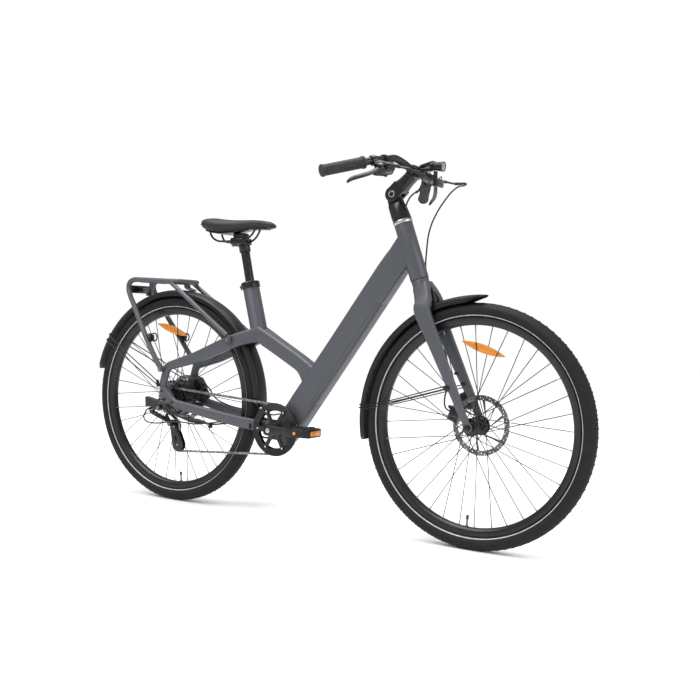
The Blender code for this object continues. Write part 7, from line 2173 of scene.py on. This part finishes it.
def make_bell():
    spot, along, ahead, down = control_frame(BELL_Y)
    middle = spot + ahead * 0.034
    face = (ahead * 0.6 + down * 0.8).normalized()
    ring = clamp_ring(BELL_Y, 0.005, 0.003)
    post = rod(spot + ahead * 0.0112, middle, 0.005, sides=24)
    base = carved(welded(ring, post), bar_bore())
    dome = turned(
        [
            (0.0196, -0.002), (0.0205, -0.0016), (0.0205, 0.0), (0.0201, 0.003), (0.0186, 0.0072), (0.0158, 0.0106),
            (0.0118, 0.0128),
            (0.007, 0.0138), (0.003, 0.014), (0.0, 0.014), (0.0, 0.0128), (0.011, 0.0116), (0.0172, 0.007),
            (0.019, 0.0028),
        ],
        facing(middle, face, along),
        80,
    )
    finished(
        joined(base, rod(middle - face * 0.001, middle + face * 0.013, 0.003)), "bell_clamp", "handlebar", PLASTIC,
        ["bell"],
    )
    finished(dome, "bell_dome", "handlebar", BLACK, angle=45)
    nut = rod(middle + face * 0.0138, middle + face * 0.0152, 0.0034, sides=6, edge=0.0004)
    finished(nut, "bell_nut", "handlebar", STEEL)
    pivot = middle + along * 0.0094 - face * 0.006
    side = face.cross(along)
    arm = drawn(
        [
            section(pivot + along * a, side * h, face * 0.0013, 0.0008, 3)
            for a, h in ((-0.004, 0.004), (0.002, 0.0044), (0.008, 0.003), (0.014, 0.0034), (0.018, 0.0045))
        ]
    )
    knob = turned(
        [(0.0, -0.001), (0.0024, -0.001), (0.0028, -0.0004), (0.0028, 0.0052), (0.002, 0.006), (0.0, 0.006)],
        facing(pivot + along * 0.015, face, along),
        28,
    )
    finished(joined(arm, knob), "bell_hammer", "bell_striker", BLACK, ["bell_striker"])


def make_display():
    face = Vector((-0.25, 0, 0.968)).normalized()
    ahead = Vector((face.z, 0, -face.x))
    middle = by_clamp(0.033, 0.024, 0.022)
    ring = clamp_ring(0.036, 0.0045, 0.0032)
    spot, _ = bar_point(0.036)
    case = drawn(
        [
            section(middle + face * d, ahead * (0.023 - e), LEFT * (0.02 - e), 0.006, 5)
            for d, e in (
                (-0.006, 0.0024), (-0.005, 0.0006), (-0.0036, 0.0), (0.004, 0.0), (0.0054, 0.0006), (0.006, 0.002)
            )
        ]
    )
    post = rod(spot + Vector((0.008, 0, 0.006)), middle + Vector((-0.01, 0.01, -0.001)), 0.005, sides=24)
    button = middle + face * 0.006 - ahead * 0.015
    pocket = rod(button - face * 0.0035, button + face * 0.01, 0.0053, sides=36)
    screen_bed = block(middle + ahead * 0.0045 + face * 0.006, (0.027, 0.032, 0.0012), 0.0, (ahead, LEFT))
    case = carved(welded(ring, case, post), bar_bore(), pocket, screen_bed)
    finished(case, "display_case", "handlebar", PLASTIC, ["display"])
    glass = block(middle + ahead * 0.0045 + face * 0.0057, (0.0266, 0.0316, 0.0008), 0.0003, (ahead, LEFT))
    finished(glass, "display_glass", "handlebar", SMOKED_GLASS_AND_PAINTED_SHADE)
    key = rod(button - face * 0.002, button + face * 0.0012, 0.005, sides=40, edge=0.0006)
    finished(key, "display_key", "display_button", RUBBER, ["display_button"])


def make_headlight():
    axis = Vector((1, 0, -0.1)).normalized()
    back = by_clamp(0.0502, 0, 0.016)
    shell = turned(
        [
            (0.0, 0.0), (0.008, 0.0), (0.0098, 0.0016), (0.0106, 0.005), (0.0118, 0.012), (0.0136, 0.028),
            (0.0148, 0.04),
            (0.0151, 0.0418), (0.0149, 0.0438), (0.0142, 0.044), (0.0134, 0.0436), (0.0131, 0.042), (0.013, 0.034),
            (0.0, 0.034),
        ],
        facing(back, axis),
        80,
    )
    stalk = block(by_clamp(0.0362, 0, 0.005), (0.04, 0.014, 0.01), 0.002, segments=3)
    keep_off = through(CLAMP, -0.05, 0.05, 0.0204, 64)
    lug = block(CLAMP + Vector((0.018, 0, -0.009)), (0.0147, 0.0407, 0.0227))
    lamp = carved(welded(shell, stalk), keep_off, lug)
    finished(lamp, "headlight_shell", "handlebar", PLASTIC, ["headlight"], 30)
    fins = [
        turned(
            [
                (0.01 + i * 0.0006, h), (0.0128 + i * 0.0005, h), (0.0128 + i * 0.0005, h + 0.0012),
                (0.01 + i * 0.0006, h + 0.0012),
            ],
            facing(back, axis), 64,
        )
        for i, h in enumerate((0.006, 0.009, 0.012))
    ]
    finished(joined(*fins), "headlight_fins", "handlebar", BLACK)
    bowl = turned(
        [
            (0.0, 0.0342), (0.008, 0.0344), (0.0118, 0.0372), (0.0128, 0.04), (0.0122, 0.04), (0.0076, 0.035),
            (0.0, 0.0349),
        ],
        facing(back, axis), 64,
    )
    finished(bowl, "headlight_bowl", "handlebar", SILVER)
    glass = turned(
        [(0.0, 0.0408), (0.0124, 0.0408), (0.0127, 0.0414), (0.0125, 0.0426), (0.009, 0.0436), (0.0, 0.044)],
        facing(back, axis), 64,
    )
    finished(glass, "headlight_glass", "handlebar", LAMP_GLASS, ["headlight_lens"], 50)
    frame_block = block(by_clamp(0.078, 0.004, -0.036), (0.007, 0.046, 0.023), 0.0024, segments=3)
    reflector = block(by_clamp(0.0822, 0.004, -0.036), (0.003, 0.041, 0.018), 0.001, segments=3)
    hanger = block(by_clamp(0.0662, 0.002, -0.0225), (0.009, 0.012, 0.045), 0.0012)
    foot = block(by_clamp(0.0712, 0.002, -0.038), (0.015, 0.011, 0.006), 0.001)
    finished(welded(hanger, foot, frame_block), "front_reflector_bracket", "handlebar", PLASTIC)
    # The front reflector is white in itself: its dark smoked finish is painted shade
    finished(reflector, "front_reflector", "handlebar", SMOKED_GLASS_AND_PAINTED_SHADE)
    lead = [
        back + Vector((0.001, 0.0, -0.006)), back + Vector((-0.006, 0.01, -0.018)),
        back + Vector((0.01, 0.024, -0.036)),
        back + Vector((0.026, 0.022, -0.03)), back + Vector((0.018, 0.012, -0.05)),
        back + Vector((-0.02, 0.006, -0.056)),
        by_clamp(0.01, 0.004, -0.056),
    ]
    finished(hose(lead, 0.0014, turns=8, ring=3), "headlight_lead", "handlebar", RUBBER, angle=60)


# Cables


def sag_free(points, radius):
    return hose(points, radius, turns=10, ring=4)


def make_front_brake_cable():
    nose = by_clamp(0.0985, 0.143, -0.018)
    boot = rod(CABLE_STOP, nose, 0.0048, 0.0036, 24, 0.0008)
    finished(boot, "front_brake_hose_boot", "handlebar", PLASTIC)
    course = [
        CABLE_STOP + Vector((0.0002, 0, 0)),
        CABLE_STOP.lerp(nose, 0.5),
        nose,
        nose + Vector((0.0045, -0.001, -0.0022)),
        nose + Vector((0.0012, -0.003, -0.006)),
        *(by_clamp(*at) for at in (
            (0.0822, 0.137, -0.027), (0.0654, 0.13, -0.04), (0.0441, 0.118, -0.071), (0.0236, 0.105, -0.1119),
            (0.0106, 0.09, -0.16), (0.0094, 0.074, -0.2279), (0.018, 0.06, -0.3),
        )),
        *(by_front(*at) for at in (
            (-0.186, 0.056, 0.399), (-0.176, 0.064, 0.344), (-0.152, 0.066, 0.259), (-0.127, 0.062, 0.179),
            (-0.118, 0.056, 0.112), (-0.128, 0.055, 0.07), (-0.123, 0.056, 0.04), (-0.11, 0.057, 0.033),
        )),
    ]
    bend = ("handlebar", by_clamp(0.018, 0.06, -0.3), by_clamp(0.0654, 0.13, -0.04))
    finished(sag_free(course, 0.0025), "front_brake_hose", "steering", RUBBER, ["front_brake_cable"], 60, bend)


def make_bar_cables():
    course = [
        Vector((CABLE_STOP.x + 0.0002, -CABLE_STOP.y, CABLE_STOP.z)),
        *(by_clamp(*at) for at in (
            (0.0882, -0.135, -0.026), (0.0972, -0.105, -0.04), (0.0802, -0.07, -0.052), (0.0412, -0.043, -0.061),
            (0.0062, -0.025, -0.07), (-0.0158, -0.012, -0.086), (-0.0253, -0.006, -0.1),
        )),
    ]
    main = sag_free(course, 0.0025)
    spot, along, ahead, down = control_frame(SHIFTER_Y)
    way = (ahead * 0.006 - along * 0.026).normalized()
    start = spot + ahead * 0.031 + down * 0.005 - along * 0.041 + way * 0.0002
    bend = start + way * 0.011
    course = [
        Vector((start.x, -start.y, start.z)),
        Vector((bend.x, -bend.y, bend.z)),
        *(by_clamp(*at) for at in (
            (0.0322, -0.064, -0.01), (0.0482, -0.05, -0.03), (0.0382, -0.04, -0.054), (0.0242, -0.034, -0.065),
        )),
    ]
    shift = sag_free(course, 0.0025)
    wrap = by_clamp(0.0242, -0.0345, -0.065)
    band = block(wrap, (0.006, 0.008, 0.008), 0.002)
    bend = ("steering", by_clamp(0.0242, -0.034, -0.065), by_clamp(-0.0253, -0.006, -0.1))
    finished(joined(main, shift), "control_hoses", "handlebar", RUBBER, ["control_cables"], 60, bend)
    finished(band, "hose_clip", "handlebar", PLASTIC)


# Calipers and the cables along the frame


def make_caliper(axle, disc_y, radius, angle, inward, outward):
    way = out_at(angle)
    middle = axle + way * (radius - 0.002)
    centre = middle + LEFT * (disc_y + (outward - inward) / 2)
    body = block(centre, (0.034, inward + outward, 0.046), 0.004, (way, LEFT), 3)
    slot = block(middle + LEFT * disc_y - way * 0.018, (0.06, 0.0034, 0.07), axes=(way, LEFT))
    body = carved(body, slot)
    groove = block(middle + LEFT * (disc_y + outward) + way * 0.004, (0.008, 0.004, 0.03), 0.001, (way, LEFT))
    return carved(body, groove), middle


def make_front_caliper():
    body, middle = make_caliper(FRONT_AXLE, FRONT_DISC_Y, FRONT_DISC_RADIUS, radians(162), 0.014, 0.018)
    lug = side_plate(
        front_points((-0.094, 0.047), (-0.052, 0.043), (-0.038, 0.053), (-0.06, 0.093), (-0.072, 0.091)),
        0.0442,
        0.0492,
        0.0008,
    )
    a = flat(middle)
    arm = side_plate(link_outline(a, (middle.x - 0.028, middle.z + 0.019), 0.008, 0.005, 12), 0.056, 0.06, 0.0008)
    body = softened(welded(body, lug, arm), 0.0005, 2, 45)
    finished(body, "front_caliper_body", "steering", BLACK, ["front_caliper"], 32)
    knob = turned(
        [
            (0.0, 0.0481), (0.0118, 0.0481), (0.0125, 0.049), (0.0125, 0.061), (0.0112, 0.063), (0.007, 0.0631),
            (0.006, 0.0622), (0.0, 0.0622),
        ],
        on_axle(Vector((middle.x, 0, middle.z))),
        48,
    )
    notches = [
        rod(
            round_wheel(Vector((middle.x, 0, middle.z)), 0.013, k * tau / 12, 0.052),
            round_wheel(Vector((middle.x, 0, middle.z)), 0.013, k * tau / 12, 0.066), 0.0012, sides=10,
        )
        for k in range(12)
    ]
    finished(carved(knob, joined(*notches)), "front_pad_adjuster", "steering", BLACK)
    bolts = []
    for spot in (by_front(-0.048, 0, 0.056), by_front(-0.062, 0, 0.085)):
        bolt = through(spot, 0.0561, 0.0605, 0.0052, 28, 0.0006)
        bolts.append(carved(bolt, through(spot, 0.0585, 0.062, 0.0026, 6)))
    arm_end = Vector((middle.x - 0.028, 0.061, middle.z + 0.019))
    bolts.append(through(arm_end, 0.0601, 0.0645, 0.004, 6, 0.0004))
    finished(joined(*bolts), "front_caliper_bolts", "steering", STEEL)


def make_rear_caliper():
    body, middle = make_caliper(REAR_AXLE, REAR_DISC_Y, REAR_DISC_RADIUS, radians(38), 0.017, 0.0147)
    finished(softened(body, 0.0005, 2, 45), "rear_caliper_body", "frame", BLACK, ["rear_caliper"], 32)
    knob = turned(
        [(0.0, 0.0325), (0.0125, 0.0325), (0.0125, 0.04), (0.0, 0.04)], on_axle(Vector((middle.x, 0, middle.z))), 40
    )
    end = along_tube(0.03, -TUBE_HALF - 0.0025)
    course = [
        middle + Vector((0.004, 0.044, 0.01)),
        *(by_rear(*at) for at in (
            (0.1, 0.046, 0.045), (0.135, 0.048, 0.008), (0.183, 0.042, -0.009), (0.26, 0.033, -0.02),
            (0.34, 0.029, -0.024), (0.41, 0.017, -0.028),
        )),
        end - TUBE_OUT * 0.01 + LEFT * 0.006,
        end + LEFT * 0.006 + TUBE_OUT * 0.003,
    ]
    finished(knob, "rear_pad_adjuster", "frame", PLASTIC)
    finished(sag_free(course, 0.0025), "rear_brake_hose", "frame", RUBBER, angle=60)


def make_rear_cables():
    axle_end = -(DROPOUT_INNER + 0.0075 + 0.013 + 0.0006)
    motor = [
        by_rear(0, axle_end, 0),
        by_rear(0.0, axle_end - 0.004, 0),
        *(by_rear(*at) for at in (
            (0.006, -0.0985, -0.004), (0.02, -0.099, -0.015), (0.038, -0.093, -0.027), (0.064, -0.083, -0.046),
            (0.096, -0.072, -0.06), (0.15, -0.066, -0.065), (0.21, -0.06, -0.071), (0.29, -0.05, -0.062),
            (0.36, -0.037, -0.07), (0.41, -0.023, -0.101), (0.433, -0.015, -0.095),
        )),
    ]
    gear = [
        ADJUSTER_END + ADJUSTER_WAY * 0.0002,
        ADJUSTER_END + ADJUSTER_WAY * 0.0066,
        *(by_rear(*at) for at in (
            (-0.07, -0.083, -0.05), (-0.074, -0.087, -0.064), (-0.06, -0.093, -0.078), (-0.03, -0.099, -0.083),
            (0.01, -0.101, -0.081), (0.05, -0.098, -0.074), (0.1, -0.088, -0.071), (0.15, -0.077, -0.074),
            (0.2, -0.064, -0.068), (0.28, -0.05, -0.056), (0.36, -0.037, -0.062), (0.42, -0.01, -0.08),
        )),
        along_tube(-0.018, -TUBE_HALF - 0.006) + LEFT * 0.002,
    ]
    start, end = Vector((0.1, -0.0716, 0.3008)), Vector((0.175, -0.0634, 0.294))
    line = (end - start).normalized()
    plug = turned(
        [
            (0.0, -0.006), (0.0036, -0.006), (0.0046, 0.003), (0.0066, 0.012), (0.0074, 0.02), (0.0086, 0.0215),
            (0.0086, 0.038), (0.0078, 0.039),
            (0.0078, 0.043), (0.0086, 0.044), (0.0086, 0.064), (0.0076, 0.066), (0.0068, 0.076), (0.005, 0.084),
            (0.0034, 0.092), (0.0, 0.092),
        ],
        facing(start, line),
        32,
    )
    clips = [
        block(Vector((0.21, -0.064, 0.2855)), (0.008, 0.018, 0.018), 0.0035, segments=3),
        block(Vector((0.36, -0.037, 0.295)), (0.008, 0.016, 0.019), 0.0035, segments=3),
    ]
    hoses = joined(sag_free(motor, 0.003), sag_free(gear, 0.0024))
    finished(hoses, "stay_cables", "frame", RUBBER, ["rear_cables"], 60)
    finished(joined(plug, *clips), "motor_plug_and_clips", "frame", PLASTIC)


# Carrier, tail light, stand


def make_carrier():
    half, z = 0.06, 0.772
    foot = by_rear(0.008, 0.094, 0.105)
    side = [
        foot,
        foot + Vector((-0.029, 0, 0.037)),
        Vector((-0.156, 0.0697, 0.693)),
        Vector((-0.174, half + 0.008, z - 0.05)),
        Vector((-0.185, half + 0.004, z - 0.024)),
        Vector((-0.182, half + 0.0015, z - 0.006)),
        Vector((-0.168, half, z + 0.003)),
        Vector((-0.148, half, z + 0.0045)),
        Vector((-0.128, half, z + 0.004)),
        Vector((0.01, half, z)),
        Vector((0.025, half - 0.003, z)),
        Vector((0.034, half - 0.012, z)),
        Vector((0.036, half - 0.026, z)),
    ]
    other = [Vector((p.x, -p.y, p.z)) for p in reversed(side)]
    pieces = [hose([*side, *other], 0.009, turns=10, ring=6)]
    lugs = []
    for sign in (-1, 1):
        top, end = Vector((0.005, sign * half, z)), by_rear(0.274, sign * 0.069, 0.233)
        pieces.append(hose([top, end], 0.0078, smooth=False, turns=1, ring=6))
        lugs.append(block(end + Vector((0.004, 0, -0.012)), (0.022, 0.0056, 0.026), 0.0022, segments=3))
        lugs.append(through(foot, sign * 0.0852, sign * 0.103, 0.0088, 40, 0.001))
    for x in (-0.13, -0.065, -0.005):
        pieces.append(hose([(x, -half, z), (x, half, z)], 0.006, smooth=False, turns=1, ring=6))
    rear_bracket = limb(
        [
            (-0.13, 0, z, 0.003, 0.014), (-0.1318, 0, z - 0.01, 0.003, 0.014), (-0.134, 0, z - 0.024, 0.003, 0.014),
            (-0.148, 0, z - 0.05, 0.003, 0.014),
        ],
        0.0012,
        3,
        3,
    )
    arm = limb([(-0.134, 0, z - 0.028, 0.006, 0.01), (-0.169, 0, z - 0.029, 0.006, 0.01)], 0.002, 1, 3)
    front_bracket = limb(
        [
            (0.035, 0, z, 0.003, 0.014), (0.033, 0, z - 0.011, 0.003, 0.014), (0.038, 0, z - 0.021, 0.003, 0.014),
            (0.064, 0, z - 0.03, 0.003, 0.014),
        ],
        0.0012,
        3,
        3,
    )
    finished(joined(*pieces, *lugs, rear_bracket, arm, front_bracket), "carrier_tubes", "frame", PAINT, ["carrier"], 40)
    bolts = []
    for sign in (-1, 1):
        end = by_rear(0.278, sign * 0.069, 0.22)
        outer = sign * 0.0722
        bolts.append(through(foot, sign * 0.1028, sign * 0.1052, 0.0062, 32, 0.0008))
        bolts.append(through(end, outer, outer + sign * 0.0026, 0.005, 28, 0.0006))
    bolts.append(rod((-0.14, 0.0, z - 0.04), (-0.1452, 0.0, z - 0.038), 0.0042, sides=6, edge=0.0005))
    finished(joined(*bolts), "carrier_bolts", "frame", STEEL)


def make_carrier_loops():
    """Flat strap loops on the rear legs, for an elastic cord."""
    loops = []
    for sign in (-1, 1):
        base = Vector((-0.06, sign * 0.0836, 0.572))
        leg = (Vector((-0.156, 0.0697, 0.693)) - Vector((-0.021, 0.094, 0.503))).normalized()
        leg = Vector((leg.x, leg.y * sign, leg.z))
        out = Vector((1, 0, 0.1)).normalized()
        up = leg
        outline = [
            base - up * 0.011 + out * 0.004, base - UP * 0.011 + out * 0.03, base + UP * 0.001 + out * 0.035,
            base + UP * 0.012 + out * 0.03, base + up * 0.011 + out * 0.004,
        ]
        loops.append(hose(outline, 0.0024, turns=6, ring=3))
        loops.append(rod(base - up * 0.013, base + up * 0.013, 0.0104, sides=32, edge=0.0008))
        loops.append(block(base + out * 0.015, (0.013, 0.005, 0.02), 0.0014, (out, LEFT)))
    finished(joined(*loops), "carrier_cord_loops", "frame", PLASTIC)


def make_tail_light():
    z = 0.743
    case = block(Vector((-0.1925, 0, z)), (0.019, 0.1, 0.028), 0.006, segments=4)
    back = block(Vector((-0.179, 0, z)), (0.017, 0.034, 0.018), 0.002)
    finished(welded(case, back), "tail_light_case", "frame", PLASTIC, ["tail_light"])
    glass = block(Vector((-0.204, 0, z)), (0.009, 0.094, 0.023), 0.0036, segments=4)
    finished(glass, "tail_light_glass", "frame", RED)


def make_kickstand():
    pivot = Vector((0.088, 0.0985, 0.338))
    way = Vector((-0.323, 0.005, -0.02)).normalized()
    over = Vector((-way.z, 0, way.x))
    eye = through(pivot, pivot.y - 0.0085, pivot.y + 0.0085, 0.013, 48, 0.0012)
    leg = rod(pivot + way * 0.006, pivot + way * 0.26, 0.0083, sides=36)
    upper = carved(welded(eye, leg), through(pivot, 0.05, 0.15, 0.0044, 32))
    finished(upper, "kickstand_leg", "kickstand", BLACK, ["kickstand"])
    rings = [
        section(pivot + way * d - over * lift, over * h, LEFT * w, c, 5)
        for d, h, w, c, lift in (
            (0.245, 0.0098, 0.0096, 0.006, 0.0),
            (0.248, 0.0106, 0.01, 0.006, 0.0),
            (0.285, 0.014, 0.0106, 0.005, 0.0025),
            (0.325, 0.0196, 0.0119, 0.004, 0.0065),
            (0.3285, 0.0188, 0.0112, 0.004, 0.007),
        )
    ]
    finished(drawn(rings), "kickstand_foot", "kickstand", GREY_RESIN)


# Seat


def make_seatpost():
    foot = SEAT_TUBE_TOP - SEAT_UP * 0.1
    top = SEAT_TUBE_TOP + SEAT_UP * SEAT_POST_SHOWN
    post = rod(foot, top, 0.015, sides=64, edge=0.0006)
    finished(post, "seat_post_tube", "seat", BLACK, ["seatpost"])


SADDLE_STATIONS = (
    (-0.188, 0.036, 0.223, 0.208), (-0.1825, 0.052, 0.23, 0.199), (-0.1695, 0.065, 0.2335, 0.19),
    (-0.142, 0.072, 0.2325, 0.183), (-0.11, 0.069, 0.2285, 0.179), (-0.078, 0.056, 0.2255, 0.181),
    (-0.045, 0.041, 0.2245, 0.187), (-0.007, 0.031, 0.225, 0.1925), (0.032, 0.0265, 0.2245, 0.193),
    (0.064, 0.024, 0.2215, 0.1925), (0.0845, 0.019, 0.2135, 0.1935), (0.0925, 0.01, 0.2055, 0.197),
)


def saddle_ring(x, half_width, top, bottom):
    """One section across the saddle: a low dip along the middle, round shoulders and a tucked skirt."""
    ring = []
    height = top - bottom
    for k in range(48):
        angle = tau * k / 48
        across, lift = cos(angle), sin(angle)
        y = half_width * copysign(abs(across) ** 0.8, across)
        if lift >= 0:
            z = bottom + height * 0.45 + height * 0.55 * abs(lift) ** 0.62
            z -= 0.0042 * exp(-((y / 0.011) ** 2)) * min(1.0, half_width / 0.05) * abs(lift)
        else:
            z = bottom + height * 0.45 - height * 0.45 * abs(lift) ** 0.7
            y *= 1.0 - 0.1 * abs(lift)
        ring.append(SEAT_TUBE_TOP + Vector((x, y, z)))
    return ring


def make_saddle():
    """A crowned, padded saddle: a soft pad blown up under its cover, with a stitched seam and a skirt."""
    stations = eased(SADDLE_STATIONS, 4)
    pad = drawn([saddle_ring(x, w - 0.0015, t - 0.001, b + 0.001) for x, w, t, b in stations])
    applied(pad, "REMESH", mode="VOXEL", voxel_size=0.0042, use_smooth_shade=True)
    start = [v.co.copy() for v in pad.data.vertices]
    take(pad)
    cloth = pad.modifiers.new("cover", "CLOTH")
    cloth.settings.use_pressure = True
    cloth.settings.uniform_pressure_force = 3.0
    cloth.settings.tension_stiffness = 40
    cloth.settings.compression_stiffness = 40
    cloth.settings.bending_stiffness = 2
    cloth.settings.effector_weights.gravity = 0.0
    cloth.point_cache.frame_start = 1
    cloth.point_cache.frame_end = 12
    for step in range(1, 13):
        bpy.context.scene.frame_set(step)
    bpy.ops.object.modifier_apply(modifier=cloth.name)
    bpy.context.scene.frame_set(1)
    for vertex, before in zip(pad.data.vertices, start):
        move = vertex.co - before
        if move.length > 0.0022:
            vertex.co = before + move.normalized() * 0.0022
    applied(pad, "SMOOTH", factor=0.5, iterations=3)
    applied(pad, "SUBSURF", levels=1, render_levels=1)
    finished(pad, "saddle_pad", "seat", COVER, ["saddle"], 70)
    seams = []
    for sign in (-1, 1):
        course = []
        for x, w, t, b in eased(SADDLE_STATIONS[1:-1], 3):
            height = t - b
            y = (w + 0.0009) * 0.985
            course.append(SEAT_TUBE_TOP + Vector((x, sign * y, b + height * 0.4)))
        seams.append(hose(course, 0.0011, turns=3, ring=2))
    finished(joined(*seams), "saddle_piping", "seat", COVER, angle=60)


def make_saddle_base():
    rings = []
    for x, w, _, b in eased(SADDLE_STATIONS[2:-2], 3):
        rings.append(section(SEAT_TUBE_TOP + Vector((x, 0, b + 0.0012)), UP * 0.0024, LEFT * w * 0.66, 0.0015, 3))
    shell = drawn(rings)
    finished(softened(shell, 0.0006), "saddle_shell", "seat", BLACK)
    rails = []
    for side in (-1, 1):
        course = [
            (-0.158, 0.031, 0.185), (-0.15, 0.029, 0.169), (-0.134, 0.024, 0.157), (-0.1149, 0.0215, 0.154),
            (-0.08, 0.0215, 0.154), (-0.0429, 0.0215, 0.154), (-0.0169, 0.02, 0.157), (0.0071, 0.016, 0.173),
            (0.0211, 0.0135, 0.193),
        ]
        rails.append(hose([SEAT_TUBE_TOP + Vector((x, side * y, z)) for x, y, z in course], 0.0035, turns=8, ring=5))
    finished(joined(*rails), "saddle_rails_wire", "seat", BLACK, ["saddle_rails"], 60)
    head = SEAT_TUBE_TOP + SEAT_UP * SEAT_POST_SHOWN
    clamp = block(head + Vector((-0.012, 0, 0.003)), (0.054, 0.056, 0.023), 0.0055, segments=4)
    groove = block(head + Vector((-0.012, 0, 0.003)), (0.06, 0.07, 0.0012))
    sleeve = turned(
        [(0.0152, 0), (0.018, 0), (0.019, 0.0015), (0.019, 0.038), (0.0182, 0.04), (0.0152, 0.04)],
        facing(head - SEAT_UP * 0.034, SEAT_UP),
        64,
    )
    bore = rod(head - SEAT_UP * 0.06, head + SEAT_UP * 0.0003, 0.0152, sides=64)
    yoke = block(head + Vector((-0.012, 0, 0.021)), (0.044, 0.034, 0.02), 0.004, segments=3)
    clamp = carved(welded(carved(clamp, groove), sleeve), bore)
    finished(yoke, "saddle_clamp_yoke", "seat", BLACK)
    finished(softened(clamp, 0.0005, 2, 45), "saddle_clamp", "seat", BLACK)
    bolt = cross_rod(head.x - 0.028, head.z - 0.01, -0.0205, 0.0205, 0.0042, 28)
    heads = [
        cross_rod(head.x - 0.028, head.z - 0.01, side * 0.0185, side * 0.0235, 0.0066, 6, 0.0007) for side in (-1, 1)
    ]
    finished(joined(bolt, *heads), "saddle_clamp_bolt", "seat", STEEL)


PIECES = (
    make_frame, make_battery, make_fittings, make_fork, make_axles, make_stem_base, make_stem_arm, make_front_mudguard,
    make_rear_mudguard, make_wheels, make_chain, make_cassette, make_jockeys, make_derailleur, make_cranks, make_pedals,
    make_bar, make_grips, make_brakes, make_shifter, make_bell, make_display, make_headlight, make_front_brake_cable,
    make_bar_cables, make_front_caliper, make_rear_caliper, make_rear_cables, make_carrier, make_carrier_loops,
    make_tail_light, make_kickstand, make_seatpost, make_saddle, make_saddle_base,
)


# Studio


def build_studio():
    """A plain pale floor and soft light from all round."""
    let_go()
    bpy.ops.mesh.primitive_plane_add(size=30)
    floor = bpy.context.object
    floor.name = "studio_floor"
    paper = bpy.data.materials.new("pale_floor")
    paper.use_nodes = True
    shader = paper.node_tree.nodes["Principled BSDF"]
    shader.inputs["Base Color"].default_value = (0.885, 0.885, 0.885, 1)
    shader.inputs["Roughness"].default_value = 0.9
    floor.data.materials.append(paper)
    world = bpy.data.worlds.new("studio")
    world.use_nodes = True
    nodes, links = world.node_tree.nodes, world.node_tree.links
    white = nodes["Background"]
    white.inputs[0].default_value = (1, 1, 1, 1)
    white.inputs[1].default_value = 1.02
    dim = nodes.new("ShaderNodeBackground")
    dim.inputs[0].default_value = (1, 1, 1, 1)
    dim.inputs[1].default_value = 0.56
    seen = nodes.new("ShaderNodeLightPath")
    either = nodes.new("ShaderNodeMixShader")
    links.new(seen.outputs["Is Camera Ray"], either.inputs[0])
    links.new(dim.outputs[0], either.inputs[1])
    links.new(white.outputs[0], either.inputs[2])
    links.new(either.outputs[0], nodes["World Output"].inputs[0])
    bpy.context.scene.world = world
    bpy.context.scene.view_settings.view_transform = "Standard"
    for name, spot, size, power, aim in (
        ("fill_panel", (4.4, -0.5, 2.2), 2.6, 70, (0, 0, 0.6)),
        ("top_panel", (-0.3, 0.2, 4.2), 2.4, 130, (0, 0, 0)),
    ):
        light = bpy.data.lights.new(name, "AREA")
        light.size = size
        light.energy = power
        panel = bpy.data.objects.new(name, light)
        panel.location = spot
        panel.rotation_euler = (Vector(aim) - Vector(spot)).to_track_quat("-Z", "Y").to_euler()
        bpy.context.collection.objects.link(panel)
    sun = bpy.data.lights.new("window_light", "SUN")
    sun.energy = 2.45
    sun.angle = radians(44)
    lamp = bpy.data.objects.new("window_light", sun)
    lamp.rotation_euler = Vector((0.35, 0.75, -1.0)).to_track_quat("-Z", "Y").to_euler()
    bpy.context.collection.objects.link(lamp)


def set_camera():
    turn, rise, roll = 0.548, 0.0335, 0.0337
    back = Vector((sin(turn) * cos(rise), -cos(turn) * cos(rise), sin(rise)))
    right = Vector((cos(turn), sin(turn), 0))
    up = back.cross(right)
    side = cos(roll) * right + sin(roll) * up
    top = -sin(roll) * right + cos(roll) * up
    lens = bpy.data.cameras.new("photograph")
    lens.lens = 48.02
    lens.sensor_width = 36
    lens.clip_start = 0.05
    camera = bpy.data.objects.new("photograph", lens)
    matrix = Matrix((side, top, back)).transposed().to_4x4()
    matrix.translation = Vector((2.2451 + REAR_X, -2.5094, 0.6627))
    camera.matrix_world = matrix
    bpy.context.collection.objects.link(camera)
    bpy.context.scene.camera = camera


refinish_nodes()
for make in PIECES:
    make()
build_studio()
set_camera()
